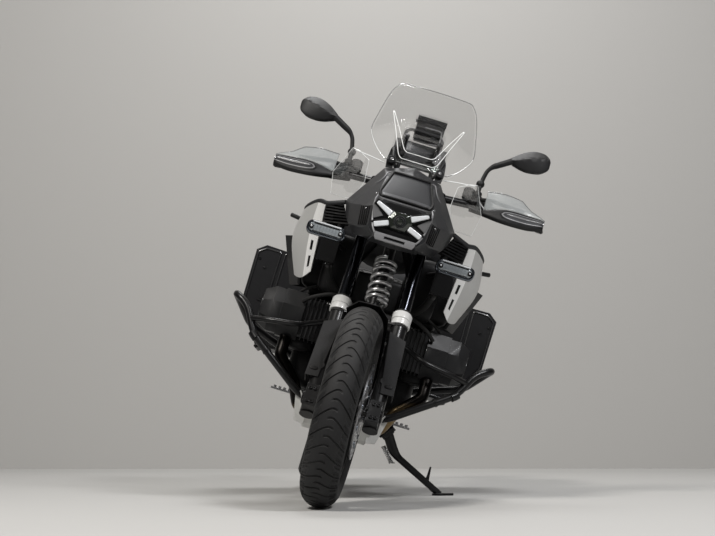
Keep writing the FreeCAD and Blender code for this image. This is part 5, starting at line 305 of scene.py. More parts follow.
def tidy_mesh(mesh, flatten=False):
    """Merges doubled points; then turns the faces outward, but with flatten joins faces of one plane instead."""
    work = bmesh.new()
    work.from_mesh(mesh)
    bmesh.ops.remove_doubles(work, verts=work.verts, dist=2e-6)
    if flatten:
        bmesh.ops.dissolve_limit(
            work, angle_limit=np.radians(0.6), verts=work.verts, edges=work.edges, delimit={"NORMAL"}
        )
    else:
        bmesh.ops.recalc_face_normals(work, faces=work.faces)
    work.to_mesh(mesh)
    work.free()


def settle(name, mesh, body, finish, replaces, bevel, wall, angle):
    """Finished piece of a mesh: shading, modifiers, material, body and replaced node."""
    piece = linked(name, mesh)
    mesh.shade_smooth()
    mesh.set_sharp_from_angle(angle=np.radians(angle))
    if wall:
        solid = piece.modifiers.new("wall", "SOLIDIFY")
        solid.thickness = wall * MM
        solid.offset = -1
        solid.use_even_offset = True
    if bevel:
        edge = piece.modifiers.new("edge", "BEVEL")
        edge.width = bevel * MM
        edge.segments = 2
        edge.limit_method = "ANGLE"
        edge.angle_limit = np.radians(angle)
        edge.harden_normals = True
    mesh.materials.clear()
    mesh.materials.append(finish)
    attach(piece, body)
    if replaces:
        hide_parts(replaces)
    return piece


BODY_OF = {node: body for body, nodes in frame["record"]["behaviour"]["bodies"].items() for node in nodes}


def dressed(node, finish, bevel):
    """Copy of a model node with merged points, rounded edges and its finish; it stands for the node."""
    name = node + "_dressed"
    mesh = frame["nodes"][node].data.copy()
    mesh.name = name
    tidy_mesh(mesh, flatten=True)
    return settle(name, mesh, BODY_OF[node], finish, node, bevel, wall=0.0, angle=30)


# Finishes


def effect_group(name, inputs, outputs):
    """Empty shader node group with named float, colour or vector sockets."""
    group = bpy.data.node_groups.new(name, "ShaderNodeTree")
    kinds = {"float": "NodeSocketFloat", "colour": "NodeSocketColor", "vector": "NodeSocketVector"}
    for socket, kind in inputs:
        group.interface.new_socket(socket, in_out="INPUT", socket_type=kinds[kind])
    for socket, kind in outputs:
        group.interface.new_socket(socket, in_out="OUTPUT", socket_type=kinds[kind])
    return group, group.nodes.new("NodeGroupInput"), group.nodes.new("NodeGroupOutput")


def set_values(node, values):
    """Sets plain values of a node's inputs by their names."""
    for socket, value in values.items():
        node.inputs[socket].default_value = value


def math_node(tree, operation, first, second):
    """Math node fed by sockets or plain numbers."""
    node = tree.nodes.new("ShaderNodeMath")
    node.operation = operation
    for slot, value in zip(node.inputs, (first, second)):
        if isinstance(value, (int, float)):
            slot.default_value = value
        else:
            tree.links.new(value, slot)
    return node.outputs[0]


def noise_node(tree, scale, detail, rough=0.55):
    """Noise on object coordinates at a scale per metre."""
    noise = tree.nodes.new("ShaderNodeTexNoise")
    set_values(noise, {"Detail": detail, "Roughness": rough})
    tree.links.new(tree.nodes.new("ShaderNodeTexCoord").outputs["Object"], noise.inputs["Vector"])
    if isinstance(scale, (int, float)):
        noise.inputs["Scale"].default_value = scale
    else:
        tree.links.new(scale, noise.inputs["Scale"])
    return noise.outputs["Fac"]


def build_grain():
    """Moulded grain: fine noise raised as a bump."""
    group, start, end = effect_group(
        "moulded_grain", [("Scale", "float"), ("Height", "float")], [("Normal", "vector")]
    )
    fac = noise_node(group, start.outputs["Scale"], 4.0)
    bump = group.nodes.new("ShaderNodeBump")
    bump.inputs["Distance"].default_value = 0.0006
    group.links.new(fac, bump.inputs["Height"])
    group.links.new(start.outputs["Height"], bump.inputs["Strength"])
    group.links.new(bump.outputs["Normal"], end.inputs["Normal"])
    return group


def build_tone():
    """Slow change of a colour and a roughness over the surface, with a little dust on upward faces."""
    group, start, end = effect_group(
        "worn_tone",
        [("Color", "colour"), ("Roughness", "float"), ("Spread", "float"), ("Dust", "float")],
        [("Color", "colour"), ("Roughness", "float")],
    )
    slow = noise_node(group, 9.0, 2.0)
    fine = noise_node(group, 140.0, 4.0, 0.6)
    slow_part, fine_part = math_node(group, "MULTIPLY", slow, 0.65), math_node(group, "MULTIPLY", fine, 0.35)
    centred = math_node(group, "SUBTRACT", math_node(group, "ADD", slow_part, fine_part), 0.5)
    swing = math_node(group, "MULTIPLY", centred, start.outputs["Spread"])
    hsv = group.nodes.new("ShaderNodeHueSaturation")
    group.links.new(start.outputs["Color"], hsv.inputs["Color"])
    group.links.new(math_node(group, "ADD", 1.0, swing), hsv.inputs["Value"])
    geometry = group.nodes.new("ShaderNodeNewGeometry")
    split = group.nodes.new("ShaderNodeSeparateXYZ")
    group.links.new(geometry.outputs["Normal"], split.inputs[0])
    upward = math_node(group, "MAXIMUM", split.outputs["Z"], 0.0)
    dust_mask = math_node(
        group, "MULTIPLY", math_node(group, "MULTIPLY", upward, fine), start.outputs["Dust"]
    )
    mix = group.nodes.new("ShaderNodeMix")
    mix.data_type = "RGBA"
    group.links.new(dust_mask, mix.inputs[0])
    group.links.new(hsv.outputs["Color"], mix.inputs[6])
    mix.inputs[7].default_value = (0.42, 0.40, 0.37, 1)
    group.links.new(mix.outputs[2], end.inputs["Color"])
    rough = math_node(group, "ADD", start.outputs["Roughness"], math_node(group, "MULTIPLY", swing, 0.5))
    dusty = math_node(group, "ADD", rough, math_node(group, "MULTIPLY", dust_mask, 0.4))
    group.links.new(dusty, end.inputs["Roughness"])
    return group


GRAIN = build_grain()
TONE = build_tone()


def new_material(name):
    """New material with its node tree and main shader."""
    material = bpy.data.materials.new(name)
    material.use_nodes = True
    return material, material.node_tree, material.node_tree.nodes["Principled BSDF"]


def group_node(tree, group, values):
    """Node of a shared group with its plain values."""
    node = tree.nodes.new("ShaderNodeGroup")
    node.node_tree = group
    set_values(node, values)
    return node


def finish(
    name, colour, rough, grain, metal=0.0, coat=0.0, spread=0.25, dust=0.06, sheen=0.0, gloss=0.5, alpha=1.0
):
    """Toned colour and roughness over a grain (size, height); gloss sets how much light the face mirrors."""
    material, tree, shader = new_material(name)
    set_values(shader, {"Metallic": metal, "Coat Weight": coat, "Coat Roughness": 0.08})
    set_values(shader, {"Sheen Weight": sheen, "Specular IOR Level": gloss, "Alpha": alpha})
    tone = group_node(tree, TONE, {"Color": (*colour, 1), "Roughness": rough, "Spread": spread, "Dust": dust})
    skin_grain = group_node(tree, GRAIN, {"Scale": grain[0], "Height": grain[1]})
    tree.links.new(tone.outputs["Color"], shader.inputs["Base Color"])
    tree.links.new(tone.outputs["Roughness"], shader.inputs["Roughness"])
    tree.links.new(skin_grain.outputs["Normal"], shader.inputs["Normal"])
    return material


def clear(name, colour, alpha):
    """Clear moulded sheet that lets light through, faint waves in it; alpha below one thins it further."""
    material, tree, shader = new_material(name)
    set_values(shader, {"Base Color": (*colour, 1), "Roughness": 0.01, "IOR": 1.4, "Alpha": alpha})
    set_values(shader, {"Transmission Weight": 1.0})
    waves = group_node(tree, GRAIN, {"Scale": 7.0, "Height": 0.03})
    tree.links.new(waves.outputs["Normal"], shader.inputs["Normal"])
    return material


def heat_tinted():
    """Bare steel that is straw gold low down and nearly black higher up towards the engine, by its height."""
    straw = (0.30, 0.215, 0.11)
    material = finish("heat_tinted_steel", straw, 0.34, (60, 0.05), metal=1.0, spread=0.5)
    tree = material.node_tree
    place = tree.nodes.new("ShaderNodeTexCoord")
    split = tree.nodes.new("ShaderNodeSeparateXYZ")
    tree.links.new(place.outputs["Object"], split.inputs[0])
    height = tree.nodes.new("ShaderNodeMapRange")
    set_values(height, {"From Min": 0.27, "From Max": 0.335})
    tree.links.new(split.outputs["Z"], height.inputs["Value"])
    darker_higher = tree.nodes.new("ShaderNodeMix")
    darker_higher.data_type = "RGBA"
    darker_higher.inputs[6].default_value = (*straw, 1)
    darker_higher.inputs[7].default_value = (0.009, 0.008, 0.0075, 1)
    tree.links.new(height.outputs[0], darker_higher.inputs[0])
    tone = next(node for node in tree.nodes if node.type == "GROUP" and node.node_tree == TONE)
    tree.links.new(darker_higher.outputs[2], tone.inputs["Color"])
    return material


TYRE_RUBBER = finish(
    "tyre_rubber", (0.0115, 0.0115, 0.012), 0.66, (700, 0.22), spread=0.5, dust=0.1, gloss=0.35
)
BLACK_PAINT = finish("frame_black_paint", (0.004, 0.004, 0.0045), 0.3, (1400, 0.05), coat=0.15, gloss=0.3)
SATIN_BLACK = finish("satin_black_coating", (0.004, 0.004, 0.0045), 0.3, (1800, 0.1), gloss=0.35)
MOULDED_BLACK = finish("moulded_black_plastic", (0.007, 0.007, 0.0075), 0.5, (1500, 0.3), gloss=0.35)
DARK_PANEL = finish("dark_grey_panel", (0.02, 0.0205, 0.022), 0.5, (1600, 0.22), gloss=0.35)
# Grey copy of the off-white paint: painted shade for the panels' side faces
SHADED_WHITE = finish(
    "shaded_white_paint", (0.44, 0.44, 0.43), 0.32, (40, 0.02), coat=0.4, spread=0.06, dust=0.05
)
GUARD_PLASTIC = finish("fork_guard_plastic", (0.006, 0.006, 0.0065), 0.5, (1500, 0.25), gloss=0.25)
BAND_DARK = finish("panel_foot_grey", (0.045, 0.046, 0.05), 0.35, (600, 0.05), coat=0.2, spread=0.15)
WHITE_PANEL = finish("off_white_paint", (0.8, 0.8, 0.79), 0.3, (40, 0.02), coat=0.5, spread=0.04, dust=0.02)
ENGINE_GREY = finish(
    "dark_casting", (0.015, 0.015, 0.016), 0.5, (420, 0.35), metal=0.3, spread=0.35, gloss=0.3
)
# Valve covers' dark coating, darkened to near black with painted shade for the engine bay
COVER_GREY_AND_SHADE = finish("valve_cover_coating_and_shade", (0.009, 0.0092, 0.01), 0.4, (900, 0.15), coat=0.1, gloss=0.4)
GUARD_METAL = finish(
    "brushed_guard_plate", (0.62, 0.62, 0.6), 0.45, (260, 0.2), metal=0.3, spread=0.2, dust=0.1
)
GOLD_STEEL = heat_tinted()
SILENCER_STEEL = finish("satin_steel", (0.36, 0.36, 0.37), 0.34, (300, 0.1), metal=1.0)
BRIGHT_STEEL = finish("bright_steel", (0.66, 0.66, 0.67), 0.22, (500, 0.05), metal=1.0)
ZINC_STEEL = finish("grey_zinc_screws", (0.2, 0.2, 0.2), 0.35, (500, 0.1), metal=1.0)
FORK_TUBE = finish("fork_tube_coating", (0.04, 0.042, 0.05), 0.12, (200, 0.02), metal=1.0, spread=0.1)
DARK_CHROME = finish("dark_polished_steel", (0.2, 0.22, 0.25), 0.14, (200, 0.02), metal=1.0, spread=0.1)
SPRING_SILVER = finish("silver_spring_paint", (0.56, 0.56, 0.56), 0.3, (300, 0.05), metal=0.85, coat=0.3)
COLLAR_WHITE = finish("off_white_collar", (0.6, 0.6, 0.59), 0.38, (600, 0.05), coat=0.3, spread=0.06)
DISC_STEEL = finish("ground_disc_steel", (0.42, 0.42, 0.43), 0.3, (800, 0.15), metal=1.0)
LOUVRE_BLACK = finish("louvre_black", (0.003, 0.003, 0.0033), 0.5, (1500, 0.1), gloss=0.2)
GLOSS_DARK = finish(
    "smoked_gloss_panel", (0.016, 0.0165, 0.0185), 0.48, (30, 0.01), spread=0.1, dust=0.0, gloss=0.3
)
GRIP_RUBBER = finish("grip_rubber", (0.008, 0.008, 0.008), 0.7, (900, 0.4), gloss=0.3)
SEAT_VINYL = finish("seat_vinyl", (0.01, 0.01, 0.011), 0.6, (1100, 0.5), sheen=0.2)
CASE_BLACK = finish("case_powder_coat", (0.007, 0.007, 0.008), 0.45, (1600, 0.25), metal=0.2, gloss=0.35)
CASE_EDGE = finish("case_edge_coat", (0.02, 0.02, 0.021), 0.25, (900, 0.1), coat=0.3)
RED_LENS = finish("red_lens", (0.35, 0.008, 0.01), 0.18, (30, 0.02), coat=0.8, spread=0.1)
LIGHT_GUIDE = finish("light_guide", (0.6, 0.62, 0.64), 0.25, (600, 0.3), coat=0.8, spread=0.7, dust=0.0)
LAMP_LENS = finish("ribbed_lamp_lens", (0.26, 0.285, 0.3), 0.18, (260, 0.6), metal=0.2, coat=0.8, spread=0.5)
LENS_DARK = finish(
    "projector_lens", (0.02, 0.024, 0.019), 0.1, (180, 0.5), metal=0.4, coat=1.0, spread=0.8, dust=0.0
)
LAMP_FIELD = finish("lamp_field", (0.14, 0.14, 0.142), 0.42, (300, 0.5), metal=0.3, coat=0.3, spread=0.4)
NOSE_PLASTIC = finish("nose_plastic", (0.022, 0.0225, 0.0245), 0.42, (1600, 0.2), spread=0.4, gloss=0.4)
EDGE_GREY = finish("nose_edge_grey", (0.17, 0.17, 0.175), 0.38, (1500, 0.15))
CLEAR_SHEET = clear("clear_moulded_sheet", (0.985, 0.99, 0.985), alpha=0.17)
CLEAR_RIM = finish(
    "clear_sheet_rim", (0.24, 0.25, 0.245), 0.1, (40, 0.02), coat=1.0, spread=0.2, dust=0.0, alpha=0.6
)
# Near-white for painted highlights on the edges of the clear sheets
CLEAR_EDGE_HIGHLIGHT = finish("clear_sheet_edge_highlight", (0.84, 0.86, 0.85), 0.1, (40, 0.02), coat=1.0, spread=0.1, dust=0.0)
# Near-white painted highlight laid along the screen's creases
CREASE_HIGHLIGHT = finish(
    "crease_painted_highlight", (0.95, 0.96, 0.95), 0.2, (40, 0.02), spread=0.05, dust=0.0, gloss=0.8
)
GUARD_CLEAR = finish(
    "milky_clear_sheet", (0.36, 0.38, 0.38), 0.35, (30, 0.02), coat=0.2, spread=0.15, dust=0.0, alpha=0.5
)
MIRROR_FACE = finish("mirror_face", (0.85, 0.86, 0.87), 0.03, (20, 0.005), metal=1.0, spread=0.02, dust=0.0)
SCREEN_FACE = finish("display_face", (0.01, 0.011, 0.014), 0.1, (20, 0.005), coat=1.0, spread=0.05)

# Tyres


def tyre_grid(radius, width, crown, bead_half, bead_radius, pitches, depth):
    """Tyre: arc of the crown and curved side walls turned about the axle, its rows bent into chevrons.

    A row bends back by reach * (sqrt(w^2 + m^2) - m), where w is the distance from the middle and m how
    far the middle reaches, so a groove follows its rows. Long grooves start at a shoulder, in turn left and
    right, and end past the middle; short ones lie at the shoulders.
    """
    limit = np.arcsin(0.5 * width / crown)
    ring = radius - crown
    angle = np.linspace(-limit, limit, 61)
    across = crown * np.sin(angle)
    height = ring + crown * np.cos(angle)
    shoulder = np.array([0.5 * width, ring + crown * np.cos(limit)])
    foot = np.array([bead_half, bead_radius])
    t = np.linspace(0, 1, 9)[1:, None]
    bulge = np.array([0.5 * width + 1.5, 0.5 * (shoulder[1] + foot[1]) + 6])
    wall = (1 - t) ** 2 * shoulder + 2 * t * (1 - t) * bulge + t**2 * foot
    inner = np.array([[bead_half - 6, bead_radius], [bead_half - 6, bead_radius - 12]])
    side = np.vstack([wall, inner])
    x = np.concatenate([-side[::-1, 0], across, side[:, 0]])
    r = np.concatenate([side[::-1, 1], height, side[:, 1]])
    path = np.concatenate([np.full(len(side), -limit), angle, np.full(len(side), limit)]) * crown
    marks = np.array([0, 0.02, 0.06, 0.14, 0.18, 0.26, 0.36, 0.5, 0.52, 0.56, 0.64, 0.68, 0.78, 0.88])
    turns = ((np.arange(pitches)[:, None] + marks) / pitches).ravel()
    phase = np.tile(marks, pitches)[:, None]
    edge = np.abs(path)[None]
    signed = path[None]
    on_tread = (np.abs(x)[None] <= 0.5 * width) & (r[None] > shoulder[1] - 1)

    def band(low, high):
        return ((phase >= low - 1e-6) & (phase <= high + 1e-6)).astype(float)

    def ramp(value):
        value = np.clip(value, 0, 1)
        return value * value * (3 - 2 * value)

    far = limit * crown
    middle = 14
    first = band(0.06, 0.14) * ramp((signed + far * 0.9) / 5) * ramp((middle - signed) / 7)
    second = band(0.56, 0.64) * ramp((far * 0.9 - signed) / 5) * ramp((signed + middle) / 7)
    short = (band(0.26, 0.36) + band(0.78, 0.88)) * ramp((edge - far * 0.5) / 5) * ramp(
        (far * 0.86 - edge) / 5
    )
    groove = np.maximum(np.maximum(first, second), short) * on_tread * depth
    reach = 0.95
    bend = reach * (np.sqrt(np.minimum(path**2, far**2) + middle**2) - middle) / radius
    theta = 2 * np.pi * turns[:, None] - bend[None]
    normal_x = np.gradient(r)
    normal_r = -np.gradient(x)
    scale = np.hypot(normal_x, normal_r)
    inward_x, inward_r = normal_x / scale, normal_r / scale
    x = x[None] + groove * inward_x[None]
    r = r[None] + groove * inward_r[None]
    return np.stack([x * np.ones_like(theta), -r * np.sin(theta), -r * np.cos(theta)], axis=-1)


def tyre_shape(centre, **sizes):
    """Tyre grid about an axle, joined both along and around, its inner lips closed by the last columns."""
    return skin(tyre_grid(**sizes) + np.asarray(centre, float), around=True, along=True)


front_tyre = tyre_shape(
    (0, -STEER_OFFSET, 0), radius=FRONT_RADIUS, width=122, crown=63, bead_half=44, bead_radius=254,
    pitches=36, depth=4.0,
)
rear_tyre = tyre_shape(
    (0, WHEELBASE, REAR_RADIUS), radius=REAR_RADIUS, width=170, crown=95, bead_half=63, bead_radius=229,
    pitches=34, depth=4.5,
)
make(
    "front_tyre_tread", [front_tyre], TYRE_RUBBER, "tyre", "front_tyre", ride=(FORK, "front_wheel"),
    angle=38,
)
make("rear_tyre_tread", [rear_tyre], TYRE_RUBBER, "tyre", "rear_tyre", ride=(MACHINE, "rear_wheel"), angle=38)

# Wind screen, its creases and the side deflectors

SCREEN_ROWS = (
    (0, 0, 0.6, 0.3), (0.1, 0.06, 0.8, 0.62), (0.3, 0.2, 1, 1), (0.52, 0.42, 0.97, 0.95),
    (0.84, 0.8, 0.86, 0.62), (0.97, 0.96, 0.74, 0.44), (1, 1, 0.66, 0.4),
)
SCREEN_FOOT = (282.0, 1176.0)
SCREEN_RISE = (180.0, 306.0)
SCREEN_HALF_WIDTH = 182.0
SCREEN_BOW = 42.0
CREASES = (
    ((127, 1354), (98, 1279), (71, 1207), (64, 1196), (54, 1190)),
    ((125, 1360), (90, 1295), (58, 1230), (51, 1221), (41, 1217)),
)


def screen_grid(rows=48, columns=57):
    """Bowed sheet: y = depth + bow * s^2 over rows of height, depth, width and bow; creases stand forward."""
    up, back, wide, bow = (column[:, None] for column in smooth_line(SCREEN_ROWS, rows).T)
    s = np.linspace(-1, 1, columns)[None]
    z = SCREEN_FOOT[1] + SCREEN_RISE[1] * np.clip(up, 0, 1) + 0 * s
    x = SCREEN_HALF_WIDTH * wide * s
    y = SCREEN_FOOT[0] + SCREEN_RISE[0] * back + SCREEN_BOW * bow * s**2
    low, high = np.array(CREASES[0][::-1], float), np.array(CREASES[1][::-1], float)
    middle = (np.interp(z, low[:, 1], low[:, 0]) + np.interp(z, high[:, 1], high[:, 0])) / 2
    fade = np.clip((z - low[0, 1]) / 14, 0, 1) * np.clip((high[-1, 1] - z) / 60, 0, 1)
    y -= 3.0 * np.exp(-(((np.abs(x) - middle) / 9) ** 2)) * fade
    return np.stack([x, y, z], axis=-1)


def border(grid):
    """Line round the edge of a grid."""
    return np.vstack([grid[0], grid[1:, -1], grid[-1, -2::-1], grid[-2:0:-1, 0]])


def on_screen(x, z):
    """Points of the bowed sheet at given widths and heights."""
    rows = smooth_line(SCREEN_ROWS, 80)
    up = (np.asarray(z) - SCREEN_FOOT[1]) / SCREEN_RISE[1]
    back, wide, bow = (np.interp(up, rows[:, 0], rows[:, k]) for k in (1, 2, 3))
    s = np.asarray(x) / (SCREEN_HALF_WIDTH * wide)
    y = SCREEN_FOOT[0] + SCREEN_RISE[0] * back + SCREEN_BOW * bow * s**2 - 4.0
    return np.stack([x, y, z], axis=-1)


sheet_grid = screen_grid()
make("windshield_sheet", [skin(sheet_grid)], CLEAR_SHEET, "clear_screen", "windshield", wall=3.5)
edge_line = border(sheet_grid)
make("windshield_rim", [ring_hose(edge_line, 1.7)], CLEAR_RIM, "clear_screen")
# Lines down the screen's sides in near-white: painted highlights of its edges
lit_edges = [hose(sheet_grid[4:17, side] + [0, -1.2, 0], np.linspace(1.6, 0.9, 13), 8) for side in (0, -1)]
make("windshield_lit_edges", lit_edges, CLEAR_EDGE_HIGHLIGHT, "clear_screen")
# White hoses along the creases and discs at their tips: painted highlights where the creases catch the light
creases = []
for points in CREASES:
    half = rounded_line(points, 9, 5)
    across = np.stack([np.linspace(half[-1, 0], -half[-1, 0], 16)[1:-1], np.full(14, half[-1, 1])], axis=1)
    line = np.vstack([half, across, (half * [-1, 1])[::-1]])
    creases.append(hose(on_screen(line[:, 0], line[:, 1]), 1.2, 8))
tips = both_sides(
    disc_stack(on_screen([126.0], [1356.0])[0] + [0, 1, 0], (0, -1, 0.4), [(-1, 3.4), (2, 3.4), (3, 2)], 16)
)
make("windshield_crease_highlights", [*creases, tips], CREASE_HIGHLIGHT, "clear_screen")
arm_plate = [(74, 1150), (98, 1146), (102, 1176), (98, 1216), (88, 1236), (80, 1226), (76, 1190)]
ARM_AXIS = (0, -1, 0.2)
screen_arms = [
    prism([(x, 291 + (z - 1150) * 0.25, z) for x, z in arm_plate], (0, 8, 0)),
    hose(rounded_line([(62, 300, 1152), (80, 292, 1176), (90, 304, 1222)], 16), 6, 12),
    disc_stack((85, 290, 1177), ARM_AXIS, [(-2, 15), (3, 15), (6, 13)], 28),
]
make_pair("screen_arms", screen_arms, SATIN_BLACK, "frame_black", bevel=0.8)
arm_ring = spun([(12, 0), (12.6, -2.5), (11, -4), (8.5, -3), (8, 0)], (85, 285, 1178.5), ARM_AXIS, 32)
make_pair(
    "screen_arm_bolts",
    [arm_ring, bolt((85, 284, 1178.5), ARM_AXIS, 5.5, 3.5), bolt((89, 302, 1216), (0, -1, 0.3), 5, 4)],
    BRIGHT_STEEL, "disc_steel", bevel=0.4,
)
# The deflectors' bevelled edges and their top edge are near-white: painted highlights
deflectors = dressed("wind_deflectors", CLEAR_SHEET, 1.6)
deflectors.data.materials.append(CLEAR_EDGE_HIGHLIGHT)
deflectors.modifiers["edge"].material = 1
deflector_top_highlight = hose([(106, 307, 1163), (150, 306, 1169), (212, 310, 1176)], 2.0, 8)
make_pair("deflector_edge_highlights", [deflector_top_highlight], CLEAR_EDGE_HIGHLIGHT, "clear_screen")

# Side panels of the front, white, with dark slots

WING_LOW = np.array([225.0, 330.0, 716.0])
WING_HIGH = np.array([340.0, 805.0, 973.0])
WING_ROWS = (
    ((0.26, 0.0, 0.98), (0.22, 0.07, 0.76), (0.18, 0.14, 0.46), (0.13, 0.21, 0.11)),
    ((0.56, 0.11, 1.0), (0.6, 0.16, 0.78), (0.55, 0.2, 0.46), (0.37, 0.27, 0.0)),
    ((0.88, 0.3, 0.9), (1.0, 0.38, 0.64), (0.93, 0.38, 0.4), (0.62, 0.41, 0.04)),
    ((0.6, 0.68, 0.92), (0.84, 0.68, 0.74), (0.8, 0.68, 0.5), (0.52, 0.62, 0.16)),
    ((0.0, 1.0, 0.93), (0.1, 1.0, 0.78), (0.1, 1.0, 0.6), (0.05, 0.86, 0.36)),
)


def net_surface(net, u, v):
    """Curves through the columns of a net, then through their points at v: a surface at shares u and v."""
    net = np.asarray(net, float)
    u_count, v_count = 65, 49
    along = np.stack([smooth_line(net[:, j], u_count) for j in range(net.shape[1])], axis=1)
    full = np.stack([smooth_line(row, v_count) for row in along])
    a, b = np.asarray(u) * (u_count - 1), np.asarray(v) * (v_count - 1)
    i, j = np.minimum(a.astype(int), u_count - 2), np.minimum(b.astype(int), v_count - 2)
    s, t = (a - i)[:, None, None], (b - j)[None, :, None]
    i, j = i[:, None], j[None]
    near = full[i, j] * (1 - s) + full[i + 1, j] * s
    far = full[i, j + 1] * (1 - s) + full[i + 1, j + 1] * s
    return near * (1 - t) + far * t


def wing_points(u, v, lift=0.0):
    """Left panel at shares from the front edge to the back and from the top to the bottom."""
    net = WING_LOW + (WING_HIGH - WING_LOW) * np.array(WING_ROWS)
    points = net_surface(net, u, v)
    run_u = np.gradient(points, axis=0)
    run_v = np.gradient(points, axis=1)
    normal = np.cross(run_u, run_v)
    normal /= np.linalg.norm(normal, axis=2)[..., None] + 1e-9
    return points + normal * np.sign(np.sum(normal[..., 0])) * lift


def wing_patch(u_low, u_high, v_low, v_high, outer, inner, rows, columns):
    """Closed piece on the panel between two lifts."""
    u, v = np.linspace(u_low, u_high, rows), np.linspace(v_low, v_high, columns)
    return shell(wing_points(u, v, outer), wing_points(u, v, inner))


# Panel skin in the grey copy of the paint (painted shade); the bands along its front edge carry the paint's own
# off-white
make_pair(
    "side_panel_skin", [wing_patch(0, 1, 0, 1, 0, -4.5, 49, 37)], SHADED_WHITE, "white_panel", "side_panels",
    bevel=1.2, angle=50,
)
make_pair(
    "side_panel_bands", [wing_patch(0.0, 0.19, 0.0, 1.0, 1.6, -1, 9, 37)], WHITE_PANEL, "white_panel",
    bevel=0.8, angle=50,
)
slots = [wing_patch(0.075, 0.125, low, low + 0.115, 2.4, -1, 7, 9) for low in (0.62, 0.80)]
make_pair("side_panel_slots", slots, LOUVRE_BLACK, "black_plastic", bevel=0.5)
cap_line = np.vstack(
    [[(192, 306, 994)], wing_points(np.linspace(0.0, 0.62, 20), np.array([0.0, 0.5]))[:, 0] + [-6, 2, 8]]
)
make_pair("side_panel_caps", [hose(smooth_line(cap_line, 40), 8, 12)], DARK_PANEL, "dark_panel")
louvre_low, louvre_high = np.array([234.0, 318, 912]), np.array([246.0, 330, 986])
louvre_ends = []
for k in range(7):
    edge = [louvre_low + (louvre_high - louvre_low) * share / 7 for share in (k, k + 0.5)]
    corners = [edge[0] + [-20, -12, 1], edge[0] + [11, 6, -1], edge[1] + [11, 6, -1], edge[1] + [-20, -12, 1]]
    louvre_ends.append(prism(corners, (0, 14, 0)))
back = [
    louvre_low + [-20, 2, 0], louvre_low + [13, 22, 0], louvre_high + [13, 22, 0], louvre_high + [-20, 2, 0]
]
louvre_ends.append(prism(back, (0, 12, 0)))
make_pair("louvre_ends", louvre_ends, LOUVRE_BLACK, "black_plastic", bevel=0.8)

# Headlight: four light bars in a cross about a faceted lens

LAMP_Y = 22.0
LAMP_Z = 946.0


def light_bar(tip_x, tip_z, start, end, inner, outer, front, back):
    """Tapered bar along the line from the lens to a tip, between two shares of that line."""
    root, tip = np.array([0, LAMP_Z]), np.array([tip_x, tip_z])
    run = tip - root
    side = np.array([-run[1], run[0]]) / np.linalg.norm(run)
    a, b = root + run * start, root + run * end
    corners = [a - side * inner / 2, b - side * outer / 2, b + side * outer / 2, a + side * inner / 2]
    return prism([(x, front, z) for x, z in corners], (0, back - front, 0))


UPPER_BAR = (87, 988, 0.38, 1.0, 21, 12)
LOWER_BAR = (79, 914, 0.42, 1.0, 18, 18)
BARS = [(side * tip_x, *rest) for tip_x, *rest in (UPPER_BAR, LOWER_BAR) for side in (1, -1)]
HOUSING_OUTLINE = ((-92, 981.5), (-50, 999), (50, 999), (92, 981.5), (81, 911.6), (-81, 911.6))
make(
    "headlight_housing", [prism([(x, 32, z) for x, z in HOUSING_OUTLINE], (0, 12, 0))], LOUVRE_BLACK,
    "gloss_dark", "headlight", bevel=1.5,
)
field = [(95, 985), (101, 978), (86, 934), (57, 950)]
make_pair(
    "headlight_fields", [prism([(x, 27, z) for x, z in field], (0, 8, 0))], LAMP_FIELD, "gloss_dark",
    bevel=1.6,
)
frames = [
    light_bar(x, z, start - 0.1, end + 0.07, inner + 11, outer + 10, LAMP_Y + 1, LAMP_Y + 10)
    for x, z, start, end, inner, outer in BARS
]
make("light_bar_frames", frames, LOUVRE_BLACK, "gloss_dark", bevel=3.0)
guides = [light_bar(*bar, LAMP_Y - 5, LAMP_Y + 4) for bar in BARS]
make("light_bars", guides, LIGHT_GUIDE, "lamp_glass", bevel=4.0)


def lens_cover(half_width, half_height):
    """Six-sided outline about the lens, narrower at its foot."""
    rows = ((1, 0.1), (0.62, 1), (-0.62, 1), (-1, 0.1), (-0.56, -1), (0.56, -1))
    return [(half_width * x, LAMP_Z + half_height * z) for x, z in rows]


def faceted(outlines):
    """Boss of flat facets through outlines at given depths, closed by its last outline."""
    return tube_like(np.array([[(x, y, z) for x, z in outline] for y, outline in outlines], float)[:, ::-1])


cover_steps = [
    (40, lens_cover(45, 30)), (26, lens_cover(45, 30)), (20, lens_cover(41, 27)), (15, lens_cover(27, 18))
]
make("lens_cover", [faceted(cover_steps)], LENS_DARK, "lamp_glass", bevel=0.8, angle=8)
LENS_PLACE = (0, 15, LAMP_Z - 2)
lens_rings = [
    spun([(r, 1), (r + 1.2, -y), (r - 1.2, -y - 1.5), (r - 2.6, 1)], LENS_PLACE, (0, 1, 0), 40)
    for r, y in ((19, 2), (13, 2.6))
]
make("lens_rings", lens_rings, GLOSS_DARK, "lamp_glass", bevel=0.3)
bulb_profile = [(10.5, 1), (9, -3), (5, -5.4), (0.01, -6.2)]
make(
    "lens_bulb", [spun(bulb_profile, LENS_PLACE, (0, 1, 0), 12)], LENS_DARK, "lamp_glass", bevel=0.3, angle=8
)
glow_arc = [(22 * np.sin(a), 17.5, LAMP_Z - 1 - 22 * np.cos(a)) for a in np.radians(np.linspace(-38, 30, 12))]
glow_width = np.interp(np.linspace(-1, 1, 12), (-1, 0, 1), (0.8, 2.4, 0.8))
glints = [
    hose(glow_arc, glow_width, 10, squash=0.5),
    hose([(-32, 24, LAMP_Z + 26.5), (0, 23, LAMP_Z + 28), (30, 24, LAMP_Z + 27)], 1.3, 8),
]
for x, z, r, y in ((-7, 5, 1.8, 10), (6, -8, 1.4, 10), (-18, -9, 1.2, 16)):
    glints.append(disc_stack((x, y, LAMP_Z + z), AHEAD, [(-2, r), (1.2, r * 0.7)], 14))
make("lens_glints", glints, BRIGHT_STEEL, "lamp_glass", bevel=0.3)
dressed("nose_fairing", NOSE_PLASTIC, 2.6)

